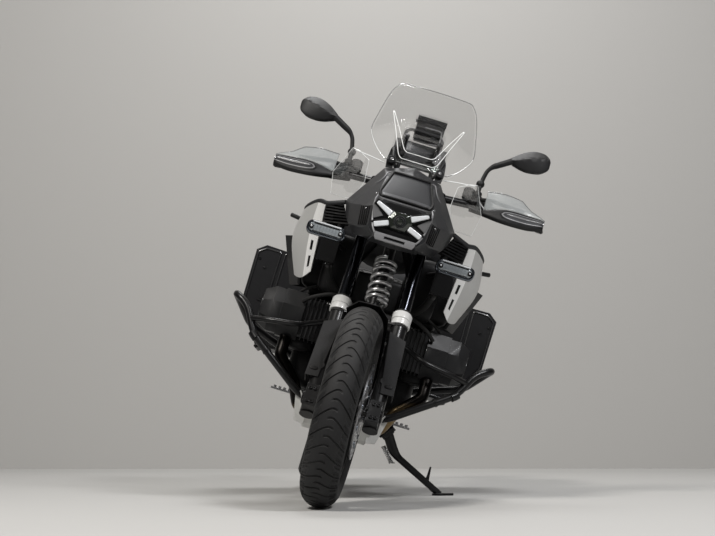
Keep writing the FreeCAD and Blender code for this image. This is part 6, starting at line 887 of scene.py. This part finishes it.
nose_edge = rounded_line([(92, 78, 1016), (98, 44, 996), (90, 33, 938), (80, 22, 905), (68, 8, 888)], 18, 5)
make_pair("nose_edges", [hose(nose_edge, 3.0, 10)], EDGE_GREY, "dark_panel")
nose_ribs = [
    hose([(99 + t * 32, 54 + t * 84, 908 + t * 3), (103.5 + t * 35, 52 + t * 86, 972 + t * 3)], (2.2, 1.4), 8)
    for t in np.linspace(0.12, 0.88, 5)
]
make_pair("nose_ribs", nose_ribs, LOUVRE_BLACK, "black_plastic")
hood_half = np.array([(113, 216, 1073), (104, 204, 1078), (91, 202, 1098), (82, 232, 1126)], float)
hood_line = rounded_line(np.vstack([hood_half, (hood_half * [-1, 1, 1])[::-1]]), 9, 5)
make("hood_edge", [hose(hood_line, 2.0, 10)], EDGE_GREY, "dark_panel")
make_pair(
    "nose_screws",
    [bolt((98, 126, 1028), (0.35, -0.8, 0.5), 4, 3), bolt((118, 92, 966), (0.9, -0.4, 0), 3.5, 2)],
    BRIGHT_STEEL, "disc_steel", bevel=0.3,
)
beak = [
    prism([(-68, 7, 884.5), (68, 7, 884.5), (70, 8, 893), (-70, 8, 893)], (0, 9, 0)),
    prism([(-62, 8, 868), (62, 8, 868), (65, 7, 876), (-65, 7, 876)], (0, 9, 0)),
    both_sides(prism([(34, 7, 874), (66, 7, 874), (69, 7, 886), (34, 7, 886)], (0, 9, 0))),
]
make("beak_plate", beak, EDGE_GREY, "dark_panel", bevel=1.2)
make("beak_slot", [slab((-36, 13, 873), (36, 24, 887))], LOUVRE_BLACK, "black_plastic")

PLATE_LOW = np.array([0, 102.0, 1016.0])
PLATE_RUN = np.array([0, 130.0, 106.0])
PLATE_UP = np.array([0, -PLATE_RUN[2], PLATE_RUN[1]]) / np.hypot(PLATE_RUN[1], PLATE_RUN[2])


def plate_grid(rows=19, columns=25, low=0.0, high=1.0):
    """Smoked panel: widths along the slope, crowned across by 5 * (1 - s^2) and rounded down at the rim."""
    t = np.linspace(low, high, rows)[:, None]
    s = np.linspace(-1, 1, columns)[None]
    half = np.interp(t, (0, 0.08, 0.2, 1), (80, 87, 90, 65))
    rim = np.clip(1 - np.abs(s), 0, 0.08) / 0.08
    lift = 3 + 5 * (1 - s**2) * np.sin(np.pi * np.clip(t, 0.03, 0.97)) ** 0.5 + 3 * rim
    points = PLATE_LOW + PLATE_RUN * t[..., None] + PLATE_UP * lift[..., None]
    points[..., 0] = half * s
    return points


make("smoked_panel", [skin(plate_grid())], GLOSS_DARK, "gloss_dark", "nose_screen", wall=9, bevel=1.0)
plate_rim = border(plate_grid())
make("smoked_panel_rim", [ring_hose(plate_rim + PLATE_UP * 1.5, 5.0, 10)], LOUVRE_BLACK, "gloss_dark")
visor_line = [(-88, 103, 1014), (-50, 92, 1006), (0, 86, 1002), (50, 92, 1006), (88, 103, 1014)]
make("panel_visor", [hose(smooth_line(visor_line, 25), 6.5, 12)], GLOSS_DARK, "gloss_dark")
band = plate_grid(5, 25, 0.02, 0.14) * [0.985, 1, 1] + PLATE_UP * 1.2
make("smoked_panel_band", [skin(band)], BAND_DARK, "dark_panel", wall=1.5, bevel=0.3)

# Behind the screen: display face, bars and lugs of the holder

holder = [
    slab((-40, 413, 1358), (64, 424, 1377)), slab((-36, 416, 1336), (60, 423, 1341)),
    slab((-34, 416, 1318), (24, 423, 1334)), slab((-46, 418, 1352), (-38, 426, 1362)),
    disc_stack((30, 421, 1308), AHEAD, [(0, 9), (4, 9), (6, 7)], 20),
    disc_stack((-10, 421, 1326), AHEAD, [(0, 4), (5, 4), (6, 3)], 14),
]
make("holder_details", holder, MOULDED_BLACK, "bar_black", bevel=1.2)
holder_loop = rounded_line([(-6, 415, 1340), (54, 415, 1342), (58, 413, 1292), (20, 413, 1286)], 12, 6)
make("holder_loop", [hose(holder_loop, 2.2, 8)], EDGE_GREY, "bar_black")
face_corners = [(-84, 0.1), (84, 0.1), (84, 0.93), (-84, 0.93)]
display_face = prism([(x, 397.2 + 34 * t, 1186 + 92 * t) for x, t in face_corners], (0, 0.8, 0))
make("display_face", [display_face], SCREEN_FACE, "gloss_dark", bevel=0.3)

# Extra lamps: oblong bezel, ribbed lens

FOG_X, FOG_Z = 224.0, 869.0


def oblong(half_width, half_height, corner, y, steps=7):
    """Rounded rectangle about the left lamp's middle, in a plane across the machine."""
    corners = ((1, 1, 0), (-1, 1, 90), (-1, -1, 180), (1, -1, 270))
    rows = []
    for sx, sz, start in corners:
        turn = np.radians(start + np.linspace(0, 90, steps))
        x = FOG_X + sx * (half_width - corner) + corner * np.cos(turn)
        z = FOG_Z + sz * (half_height - corner) + corner * np.sin(turn)
        rows.append(np.stack([x, np.full(steps, y), z], axis=1))
    return np.vstack(rows)


bezel_line = oblong(62, 19.5, 17, 194.5)
lens_steps = [oblong(58 - k, 15.5 - k, 14 - k, y) for k, y in ((0, 198), (0, 193), (2, 190), (6, 188.5))]
make_pair("extra_lamp_bezels", [ring_hose(bezel_line, 4.2, 10)], DARK_CHROME, "lamp_metal")
make_pair("extra_lamp_lenses", [tube_like(np.stack(lens_steps)[:, ::-1])], LAMP_LENS, "lamp_glass", bevel=0.6)
ribs = [slab((x - 0.8, 186.6, 858), (x + 0.8, 190, 880)) for x in np.linspace(FOG_X - 42, FOG_X + 42, 9)]
make_pair("extra_lamp_ribs", ribs, LAMP_LENS, "lamp_glass", bevel=0.4)
lamp_ends = [disc_stack((FOG_X + x, 189, FOG_Z), AHEAD, [(-1, 8), (2.5, 8), (3.5, 6)], 20) for x in (-50, 50)]
lamp_ends += [hose([(180, 188, 867 - z), (268, 188, 867 - z)], 1.3, 8) for z in (-15.5, 11)]
make_pair("extra_lamp_frames", lamp_ends, LOUVRE_BLACK, "gloss_dark", bevel=0.3)
lamp_glints = [hose([(176, 189, 888.5), (272, 189, 888.5)], 2.6, 10)]
lamp_glints += [
    disc_stack((FOG_X + x, 185.5, FOG_Z + 1), AHEAD, [(-1, 3), (1, 3), (1.6, 2)], 14)
    for x in (-50, 50)
]
make_pair("extra_lamp_glints", lamp_glints, LIGHT_GUIDE, "lamp_glass", bevel=0.3)

# Hand guards with clear tops and light strips, in the fork's frame

GUARD_ROWS = (
    (0.0, 0.10, 0.30, 0.62), (0.34, 0.0, 0.0, 0.86), (0.72, 0.12, 0.12, 1.0), (0.97, 0.19, 0.34, 0.98),
    (1.0, 0.3, 0.44, 0.9),
)
GUARD_INNER_X, GUARD_LENGTH = 270.0, 216.0
GUARD_FRONT_Y, GUARD_DEPTH = -2.0, 132.0
GUARD_LOW_Z, GUARD_HEIGHT = 868.0, 68.0


def guard_points(u, v, ahead=0.0):
    """Left hand guard: u runs outward, v from its lower edge up, bulging forward between its edges."""
    fine = smooth_line(GUARD_ROWS, 121)
    along, back, low, high = (np.interp(u, np.linspace(0, 1, 121), fine[:, k])[:, None] for k in range(4))
    v = np.atleast_2d(v)
    bulge = 7 * (1 - np.abs(2 * v - 1) ** 3)
    fold = 9 * np.clip(np.abs(2 * v - 1) - 0.86, 0, 1) / 0.14
    x = GUARD_INNER_X + GUARD_LENGTH * along + 0 * v
    y = GUARD_FRONT_Y + GUARD_DEPTH * np.clip(back, 0, 1) + 4 - bulge + fold - ahead
    z = GUARD_LOW_Z + GUARD_HEIGHT * (low + (high - low) * v)
    return np.stack([x, y, z], axis=-1)


make_pair(
    "hand_guard_shells", [skin(guard_points(np.linspace(0, 1, 57), np.linspace(0, 1, 25)))], MOULDED_BLACK,
    "guard_grey", "hand_guards", ride=STEERED, wall=5, bevel=1.0, angle=40,
)


def guard_screen(rows=9, count=57):
    """Milky sheet standing on the guard's upper edge: straight top inside, falling to the outer end."""
    u = np.linspace(0.0, 0.95, count)
    foot = guard_points(u, np.array([0.9]))[:, 0]
    top = np.interp(foot[:, 0], (262, 395, 432, 480), (999, 986, 956, 936))
    tall = np.maximum(top - foot[:, 2], 1.5)
    t = np.linspace(0, 1, rows)[:, None]
    y = foot[None, :, 1] + 0.14 * tall[None] * t - 3 * np.sin(np.pi * t)
    z = foot[None, :, 2] + tall[None] * t
    return np.stack([foot[None, :, 0] + 0 * t, y, z], axis=-1)


def lamp_patch(middle, half, low, high, ahead, count=33, across=7):
    """Patch on the guard with rounded ends: its height is its full share times (1 - s^6) ^ 0.5 along it."""
    s = np.linspace(-1, 1, count)
    reach = half * np.clip(1 - np.abs(s) ** 6, 0, 1) ** 0.5 + 1e-3
    v = middle + reach[:, None] * np.linspace(-1, 1, across)[None]
    return skin(guard_points(low + (high - low) * (s + 1) / 2, v, ahead))


guard_sheet = guard_screen()
make_pair("hand_guard_screens", [skin(guard_sheet)], GUARD_CLEAR, "clear_screen", ride=STEERED, wall=3)
make_pair("hand_guard_rims", [hose(guard_sheet[-1], 1.5, 8)], CLEAR_RIM, "clear_screen", ride=STEERED)
GUARD_LAMPS = (
    ("frames", LOUVRE_BLACK, "gloss_dark", (0.5, 0.34, 0.2, 0.96, 1.4), 2.5, 0.6),
    ("rings", EDGE_GREY, "lamp_glass", (0.5, 0.25, 0.22, 0.93, 2.8), 1.6, 0.4),
    ("lenses", GLOSS_DARK, "lamp_glass", (0.5, 0.19, 0.24, 0.915, 3.8), 1.2, 0.3),
    ("lines", LAMP_FIELD, "gloss_dark", (0.53, 0.075, 0.27, 0.88, 5.0, 21, 3), 0.8, 0.0),
)
for part, look, slot, patch, wall, edge in GUARD_LAMPS:
    make_pair("guard_lamp_" + part, [lamp_patch(*patch)], look, slot, ride=STEERED, wall=wall, bevel=edge)
glint = guard_points(np.array([0.78]), np.array([0.5]), 5)[0, 0]
make_pair("guard_lamp_glints", [pod(glint, (4, 2, 3.4), 2)], BRIGHT_STEEL, "lamp_glass", ride=STEERED)
guard_arms = [
    hose(rounded_line([(424, 128, 974), (470, 118, 950), (484, 78, 922)], 22), 7, 12),
    hose(rounded_line([(246, 62, 974), (262, 30, 930), (276, 14, 905)], 18), 7, 12),
    bolt((484, 74, 922), OUTWARD, 7, 4),
]
make_pair("guard_arms", guard_arms, SATIN_BLACK, "bar_black", ride=STEERED, bevel=0.5)

# Mirrors

MIRROR_ROWS = (
    (0.0, 0.2, 0.32, -0.34), (0.1, 0.42, 0.55, -0.26), (0.3, 0.78, 0.86, -0.12), (0.55, 1.0, 1.0, 0.02),
    (0.8, 0.93, 0.9, 0.08), (0.95, 0.62, 0.62, 0.07), (1.0, 0.3, 0.34, 0.05),
)


def mirror_head(shrink=1.0, deep=1.0, back=0.0, sides=36, rows=40):
    """Leaf-shaped head: half ellipses behind and a ridge in front, their size changing across the machine."""
    along, tall, thick, lift = smooth_line(MIRROR_ROWS, rows).T
    turn = full_turn(sides)
    x = 318 + 140 * (0.5 + (along - 0.5) * shrink)
    centre_z = (1158 + 46 * lift)[:, None]
    half = (46 * shrink * tall)[:, None]
    z = centre_z + half * np.sin(turn)
    ridge = np.clip(
        np.interp(along, (0, 1), (1128, 1176))[:, None], centre_z - 0.5 * half, centre_z + 0.5 * half
    )
    reach = np.where(z > ridge, centre_z + half - ridge, ridge - centre_z + half)
    front = np.clip(1 - np.abs(z - ridge) / (reach + 1e-6), 0, 1) ** 0.8
    bulge = np.where(np.cos(turn) > 0, np.abs(np.cos(turn)) ** 0.8, -front)
    y = 8 + back + 24 * thick[:, None] * deep * bulge
    return tube_like(np.stack([x[:, None] + 0 * y, y, z], axis=-1))


stem = rounded_line([(236, 62, 998), (236, 60, 1046), (250, 34, 1104), (326, 8, 1140)], 26, 9)
stem_radius = np.interp(np.linspace(0, 1, len(stem)), (0, 0.75, 1), (8, 7.4, 12))
mirror = [
    mirror_head(), hose(stem, stem_radius), pod((236, 60, 1046), (15, 15, 15), 2),
    disc_stack((236, 62, 990), UP, [(0, 15), (16, 15), (20, 11)], 24),
]
make_pair("mirror_shells", mirror, MOULDED_BLACK, "bar_black", "mirrors", ride=STEERED, bevel=0.4)
make_pair("mirror_faces", [mirror_head(0.88, 0.3, 19)], MIRROR_FACE, "lamp_metal", ride=STEERED)

# Fork: stepped collars, seals, foot bolts, guard notches, brake hoses, caliper bolts

FORK_TUBE_FOOT = (103, -10, 0)
collar_steps = [
    (352, 29), (352.5, 33), (366, 33.4), (368, 31), (374, 31), (376, 33.4), (397, 33.4), (402, 30),
    (404, 22.5),
]
make_pair(
    "fork_collar_rings", [disc_stack(FORK_TUBE_FOOT, UP, collar_steps, 40)], COLLAR_WHITE, "collar_white",
    "fork_collars", ride=STEERED, bevel=0.5,
)
seal_steps = [(403, 27.5), (409, 27.5), (411, 23)], [(344, 28.5), (352.5, 28.5)]
seals = [disc_stack(FORK_TUBE_FOOT, UP, steps, 36) for steps in seal_steps]
make_pair("fork_seals", seals, GRIP_RUBBER, "fork_black", ride=STEERED, bevel=0.6)
foot_bolts = [bolt((x, -74, z), AHEAD, 6, 4) for z in (22, -24) for x in (97, 112)]
foot_bolts.append(disc_stack((124, -43, 0), OUTWARD, [(0, 21), (6, 21), (8, 18), (8, 11)]))
make_pair("fork_feet_bolts", foot_bolts, BLACK_PAINT, "fork_black", ride=STEERED, bevel=0.4)
make_pair(
    "guard_notches", [pod((124, -40.5, 112), (14, 2.4, 7), 2.6, 14, 24)], LOUVRE_BLACK, "fork_black",
    ride=STEERED,
)
brake_hose = smooth_line(
    [
        (104, 22, 700), (103, 22, 640), (100, 24, 520), (98, 30, 420), (104, 40, 330), (100, 52, 200),
        (88, 56, 126),
    ],
    90,
)
make_pair(
    "brake_hoses", [hose(brake_hose, 3.4, 8), disc_stack((88, 56, 122), UP, [(0, 7), (9, 7), (10, 4)], 6)],
    GRIP_RUBBER, "control_rubber", ride=STEERED,
)
caliper_bolts = [bolt((114, y, z), OUTWARD, 6, 4) for y, z in ((32, 40), (32, 104), (66, 52), (66, 92))]
make_pair("caliper_bolts", caliper_bolts, ZINC_STEEL, "caliper_metal", ride=STEERED, bevel=0.3)

# Crash bars, their clamps and ends

LOOP = [
    (112, 470, 322), (160, 436, 334), (291, 452, 428), (366, 470, 482), (414, 498, 572), (470, 520, 606),
    (462, 590, 596), (400, 690, 520), (112, 760, 420),
]
CROSS = [(396, 486, 532), (335, 440, 542), (225, 424, 556), (112, 500, 610)]
clamp_steps = [(-4, 19), (8, 19), (11, 15)]
bar_parts = [
    hose(rounded_line(LOOP, 34, 9), 13, 22), hose(rounded_line(CROSS, 34, 9), 10, 18),
    disc_stack(LOOP[0], (1, -0.7, 0.25), clamp_steps, 28),
    disc_stack(LOOP[-1], (1, -0.25, 0.33), clamp_steps, 28),
    hose([(352, 464, 470), (362, 468, 478), (372, 472, 488)], 15.5, 22),
    hose([(300, 454, 434), (306, 455, 440)], 15.5, 22),
]
make_pair("crash_bar_tubes", bar_parts, SATIN_BLACK, "bar_black", "crash_bars", bevel=0.6)

# Engine: bolts, intake tubes, near-black blocks of painted shade at its sides, hoses, cheeks and bolts of the skid
# plate

cover_bolts = [
    bolt((368, y, z), OUTWARD, 6.5, 5)
    for y, z in ((510, 620), (610, 620), (520, 552), (600, 552))
]
front_turns = np.radians([*range(15, 90, 24), *range(-85, 0, 24)])
front_bolts = [bolt((82 * np.cos(a), 446, 560 + 82 * np.sin(a)), AHEAD, 5.5, 4) for a in front_turns]
make_pair("engine_bolts", [*cover_bolts, *front_bolts], ZINC_STEEL, "disc_steel", bevel=0.4)
intake = smooth_line([(70, 650, 752), (120, 676, 730), (190, 668, 690), (246, 640, 640)], 26)
throttle = disc_stack(
    (176, 672, 700), (1, -0.3, -0.75), [(0, 34), (22, 34), (24, 30), (44, 30), (46, 35), (54, 35)], 32
)
make_pair("intake_tubes", [hose(intake, 28, 24), throttle], MOULDED_BLACK, "engine_grey", bevel=0.8)
# Near-black rounded blocks in the gaps round the engine: painted shade filling where all lies dark
shade_blocks = [
    pod((168, 640, 430), (58, 96, 74), 4.5), pod((150, 800, 470), (46, 110, 120), 4.5),
    pod((170, 620, 724), (66, 44, 52), 4.5), pod((208, 560, 500), (52, 50, 26), 4),
    pod((158, 520, 800), (52, 60, 110), 4.5), pod((205, 600, 800), (70, 50, 100), 4.5),
]
make_pair("engine_bay_shade_blocks", shade_blocks, LOUVRE_BLACK, "engine_grey")
plug_lead = smooth_line([(120, 520, 740), (180, 500, 716), (236, 500, 690), (262, 520, 664)], 30)
oil_line = smooth_line([(90, 470, 700), (150, 446, 690), (206, 452, 664), (236, 470, 640)], 30)
cooling = smooth_line([(190, 380, 800), (170, 420, 740), (130, 470, 700), (96, 500, 660)], 30)
make_pair(
    "engine_hoses", [hose(plug_lead, 5, 10), hose(oil_line, 7, 12), hose(cooling, 13, 16)], GRIP_RUBBER,
    "control_rubber",
)
clip = [disc_stack(cooling[k], cooling[k + 1] - cooling[k], [(-5, 14.4), (5, 14.4)], 20) for k in (3, 25)]
make_pair("hose_clips", clip, BLACK_PAINT, "disc_steel", bevel=0.4)
cheek = [(112, 446, 234), (146, 446, 241), (166, 446, 328), (150, 446, 337), (122, 446, 306), (110, 446, 262)]
fold = [(144, 447, 240), (166, 447, 328), (166, 462, 328), (144, 462, 240)]
make_pair(
    "skid_plate_cheeks", [prism(cheek, (0, 5, 0)), prism(fold, (-4, 0, 1))], GUARD_METAL, "guard_aluminium",
    bevel=1.6,
)
plate_bolts = [bolt((x, 418, 318), AHEAD, 6, 3.5) for x in (60, 96)]
make_pair("skid_plate_bolts", plate_bolts, SATIN_BLACK, "frame_black", bevel=0.4)

# Side stand: foot, flat leg, tang and spring

FOOT_POINT = np.array([441.0, 835.0, 134.0])
leg_line = rounded_line([(190, 792, 296), (238, 808, 226), FOOT_POINT], 30, 9)
leg_share = np.linspace(0, 1, len(leg_line))
leg_radius = np.interp(leg_share, (0, 0.35, 0.7, 1), (19, 18, 14, 12))
tang_start = leg_line[-2] * 0.35 + FOOT_POINT * 0.65
tang = [tang_start + [x, 4, z] for x, z in ((-8, -4), (14, -16), (8, 20), (4, 60), (-2, 58), (-3, 22))]
to_machine = MACHINE[:3, :3].T
foot_up = to_machine @ np.array([0.0, 0.0, 1.0])
foot_out = np.array([1.0, 0.0, 0.0]) - foot_up[0] * foot_up
foot_out /= np.linalg.norm(foot_out)
foot_along = np.cross(foot_up, foot_out)
foot_ground = to_machine @ (-MACHINE[:3, 3]) / MM
foot_base = FOOT_POINT + foot_up * (foot_up @ (foot_ground - FOOT_POINT) + 1.0)
foot_corners = ((-22, -14), (14, -24), (50, -16), (50, 16), (14, 24), (-22, 14))
foot_outline = [foot_base + foot_out * a + foot_along * b for a, b in foot_corners]
make("stand_foot_plate", [prism(foot_outline, foot_up * 8)], SATIN_BLACK, "bar_black", ride=STAND, bevel=1.5)
make(
    "stand_leg", [hose(leg_line, leg_radius, 20, squash=0.66, start=(0, 1, 0)), prism(tang, (0, 9, 0))],
    SATIN_BLACK, "bar_black", ride=STAND, bevel=1.5,
)
make(
    "stand_spring",
    [coil((192, 822, 242), (238, 824, 192), 7, 2, 13, 8), hose([(238, 824, 192), (250, 822, 196)], 2.2, 8)],
    SPRING_SILVER, "shock_metal", ride=STAND,
)

# Seats

SEAT_SQUARE = 3.4


def seat_grid(front, back, low_front, low_back, top, half, table, rows=44, sides=56):
    """Cushion of rounded sections: each is a superellipse between its base and its crowned top."""
    along, high, wide = smooth_line(table, rows).T
    y = front + (back - front) * along
    low = low_front + (low_back - low_front) * along
    head = low + (top - low) * high
    ends = np.clip(np.minimum(along, 1 - along) / 0.05, 0, 1) ** 0.5
    turn = full_turn(sides)
    x = half * (wide * (0.94 + 0.06 * ends))[:, None] * squared(np.cos(turn), SEAT_SQUARE)
    height = (head - low) / 2 * (0.9 + 0.1 * ends)
    z = ((low + head) / 2)[:, None] + height[:, None] * squared(np.sin(turn), SEAT_SQUARE)
    return np.stack([x, y[:, None] + 0 * x, z], axis=-1)


def seat_pieces(name, node, **sizes):
    """Cushion with a seam along each shoulder and two across the top."""
    grid = seat_grid(**sizes)
    cushion = make(name, [tube_like(grid)], SEAT_VINYL, "seat_cover", node, angle=60)
    shoulder = [hose(grid[2:-2, k] + [0, 0, 0.6], 1.7, 8) for k in (7, 21)]
    across = [hose(grid[row, 4:25] + [0, 0, 0.5], 1.5, 8) for row in (12, 32)]
    make(name + "_seams", shoulder + across, GRIP_RUBBER, "seat_cover")


RIDER_ROWS = ((0.0, 0.55, 0.5), (0.2, 0.62, 0.62), (0.55, 0.7, 0.9), (0.85, 0.84, 1.0), (1.0, 1.0, 0.96))
PILLION_ROWS = ((0.0, 0.82, 1.0), (0.3, 0.9, 0.98), (0.7, 1.0, 0.86), (1.0, 0.9, 0.7))
rider = {"front": 858, "back": 1186, "low_front": 794, "low_back": 828, "top": 884, "half": 158}
pillion = {"front": 1188, "back": 1500, "low_front": 828, "low_back": 862, "top": 952, "half": 140}
seat_pieces("rider_cushion", "rider_seat", **rider, table=RIDER_ROWS)
seat_pieces("pillion_cushion", "pillion_seat", **pillion, table=PILLION_ROWS)

# Cases: trim on the lids and the boxes

lid_trim = [slab((486.5, y, 650), (490.2, y + 6, 815)) for y in (1230, 1380, 1520)]
lid_trim += [bolt((488, y, z), OUTWARD, 5, 2) for y in (1200, 1560) for z in (790, 670)]
lid_trim += [bolt((x, 1158, z), AHEAD, 5, 3) for x, z in ((468, 800), (440, 770))]
latch = [
    slab((387, 1155.5, 640), (432, 1161, 700)), slab((392, 1152.5, 650), (426, 1157, 690)),
    bolt((409, 1152, 670), AHEAD, 7, 3),
]
CASE_FRONT_Y = 1158.5
LID_RING = ((394, 492), (478, 640), (480, 824), (451, 845), (394, 845))
BOX_RING = ((236, 486), (376, 484), (376, 845), (250, 842), (236, 832))


def case_edge(ring):
    """Bead carried along a closed outline on the front of a case, its corners rounded."""
    line = [(x, CASE_FRONT_Y, z) for x, z in ring]
    return hose(rounded_line(line + line[:2], 8, 4), 3.4, 8)


make_pair("case_front_frames", [case_edge(BOX_RING)], CASE_EDGE, "case_black")
LID_PIECES = (
    ("lid_frame", [case_edge(LID_RING)], CASE_EDGE, 0.0), ("lid_trim", lid_trim, SATIN_BLACK, 0.8),
    ("case_latch", latch, CASE_BLACK, 1.0),
)
for part, shapes, look, edge in LID_PIECES:
    mirrored = [other_side(shape) for shape in shapes]
    make("left_" + part, shapes, look, "case_black", ride=(MACHINE, "left_lid"), bevel=edge)
    make("right_" + part, mirrored, look, "case_black", ride=(MACHINE, "right_lid"), bevel=edge)

# Front brake rotors: drillings and buttons

hole_turns = 2 * np.pi * np.arange(48) / 48
hole_radii = np.tile([129, 137, 146], 16)
rotor_holes = [
    disc_stack((66.6, r * np.sin(a) - STEER_OFFSET, r * np.cos(a)), OUTWARD, [(-0.6, 3.6), (0.25, 3.6)], 10)
    for a, r in zip(hole_turns, hole_radii)
]
make_pair("rotor_drillings", rotor_holes, LOUVRE_BLACK, "disc_steel", ride=(FORK, "front_wheel"))
button_steps = [(-1, 7), (7.5, 7), (8.5, 5)]
buttons = [
    disc_stack((62, 112 * np.sin(a) - STEER_OFFSET, 112 * np.cos(a)), OUTWARD, button_steps, 16)
    for a in np.radians(np.arange(0, 360, 36))
]
make_pair("rotor_buttons", buttons, DARK_CHROME, "disc_steel", ride=(FORK, "front_wheel"), bevel=0.4)

# Nodes whose shape stays, with rounded edges and their finishes

DRESSED = {
    "main_frame": BLACK_PAINT, "rear_subframe": BLACK_PAINT, "crankcase": ENGINE_GREY,
    "cylinders": COVER_GREY_AND_SHADE, "airbox": MOULDED_BLACK, "skid_plate": GUARD_METAL, "exhaust_pipes": GOLD_STEEL,
    "silencer": SILENCER_STEEL, "fuel_tank": DARK_PANEL, "side_covers": MOULDED_BLACK,
    "radiator_grilles": LOUVRE_BLACK, "cockpit_display": SATIN_BLACK, "fog_lamps": SATIN_BLACK,
    "luggage_rack": SATIN_BLACK, "tail_lamp": RED_LENS, "rear_mudguard": MOULDED_BLACK,
    "swingarm": ENGINE_GREY, "rear_shock": SATIN_BLACK, "wishbone": BLACK_PAINT, "front_shock": SATIN_BLACK,
    "footrests": SILENCER_STEEL, "stand_bracket": BLACK_PAINT, "side_stand": SATIN_BLACK,
    "pannier_boxes": CASE_BLACK, "pannier_lid_right": CASE_BLACK, "pannier_lid_left": CASE_BLACK,
    "rear_rim": BLACK_PAINT, "rear_disc": DISC_STEEL, "fork_lower": BLACK_PAINT, "fork_upper": FORK_TUBE,
    "front_mudguard": MOULDED_BLACK, "fork_guards": GUARD_PLASTIC, "front_calipers": SATIN_BLACK,
    "handlebar": SATIN_BLACK, "hand_controls": GRIP_RUBBER, "front_rim": BLACK_PAINT,
    "front_discs": DISC_STEEL,
}
EDGE_WIDTH = {
    "radiator_grilles": 0.8, "front_discs": 0.4, "rear_disc": 0.4, "pannier_boxes": 3.0,
    "pannier_lid_right": 3.0, "pannier_lid_left": 3.0, "cylinders": 1.2, "fork_guards": 0.8,
    "fuel_tank": 3.0,
}
for node_name, node_finish in DRESSED.items():
    dressed(node_name, node_finish, EDGE_WIDTH.get(node_name, 1.4))

# Front and rear springs

SPRINGS = (
    ("front_spring", (0, 330, 842), (5, 270, 692), 34), ("rear_spring", (17, 1085, 585), (2, 1026, 752), 42)
)
for name, start, end, radius in SPRINGS:
    make(name, [coil(start, end, radius, 6.5, 7)], SPRING_SILVER, "shock_metal", angle=60)

# Room: pale floor and wall


def flat_stage(name, corners, colour):
    """Stage sheet through four corners in metres, seen from its front only."""
    mesh = bpy.data.meshes.new(name)
    mesh.from_pydata(corners, [], [(0, 1, 2, 3)])
    material, tree, shader = new_material(name)
    set_values(shader, {"Base Color": (*colour, 1), "Roughness": 0.8})
    see_through = tree.nodes.new("ShaderNodeBsdfTransparent")
    side = tree.nodes.new("ShaderNodeNewGeometry")
    either = tree.nodes.new("ShaderNodeMixShader")
    tree.links.new(side.outputs["Backfacing"], either.inputs[0])
    tree.links.new(shader.outputs[0], either.inputs[1])
    tree.links.new(see_through.outputs[0], either.inputs[2])
    tree.links.new(either.outputs[0], tree.nodes["Material Output"].inputs["Surface"])
    mesh.materials.append(material)
    linked(name, mesh)


STAGE_HALF = 14.0
WALL_Y = 3.3
WALL_TOP = 9.0
left, right = -STAGE_HALF, STAGE_HALF
floor_corners = [(left, left, 0), (right, left, 0), (right, WALL_Y, 0), (left, WALL_Y, 0)]
wall_corners = [(left, WALL_Y, 0), (right, WALL_Y, 0), (right, WALL_Y, WALL_TOP), (left, WALL_Y, WALL_TOP)]
flat_stage("floor", floor_corners, (0.50, 0.495, 0.48))
flat_stage("wall", wall_corners, (0.46, 0.452, 0.436))

# Light and camera


def aimed(place, run):
    """Placement at a point in metres, facing along a direction with its top up."""
    return Matrix.Translation(Vector(place)) @ Vector(run).to_track_quat("-Z", "Y").to_matrix().to_4x4()


def area_light(name, place, aim, size, power, colour=(1, 1, 1)):
    """Square soft light at a place, turned to a point."""
    lamp = bpy.data.lights.new(name, "AREA")
    lamp.size = size
    lamp.energy = power
    lamp.color = colour
    linked(name, lamp).matrix_world = aimed(place, Vector(aim) - Vector(place))


area_light("key", (-2.4, -3.6, 4.5), (0, 0.2, 0.8), 1.0, 220, (1, 0.97, 0.93))
area_light("fill", (2.6, -3.8, 4.4), (0, 0.2, 0.8), 1.0, 175, (0.98, 0.98, 1))
area_light("top", (0.2, 1.5, 4.8), (0, 1.2, 0.6), 1.6, 90)
world = bpy.data.worlds.new("studio")
world.use_nodes = True
set_values(world.node_tree.nodes["Background"], {"Color": (0.93, 0.92, 0.90, 1), "Strength": 0.1})
bpy.context.scene.world = world

FOCAL_PX = 1600.0
FRAME_PX = 715.0
CAMERA_PLACE = (-0.25947, -5.85215, 0.276)
CAMERA_YAW = np.radians(1.37)
CAMERA_PITCH = np.radians(5.42)
SENSOR_WIDTH = 36.0
camera_data = bpy.data.cameras.new("camera")
camera_data.sensor_width = SENSOR_WIDTH
camera_data.lens = FOCAL_PX / FRAME_PX * SENSOR_WIDTH
camera = linked("camera", camera_data)
level = np.cos(CAMERA_PITCH)
camera_run = (np.sin(CAMERA_YAW) * level, np.cos(CAMERA_YAW) * level, np.sin(CAMERA_PITCH))
camera.matrix_world = aimed(CAMERA_PLACE, camera_run)
bpy.context.scene.camera = camera
bpy.context.scene.view_settings.view_transform = "Standard"
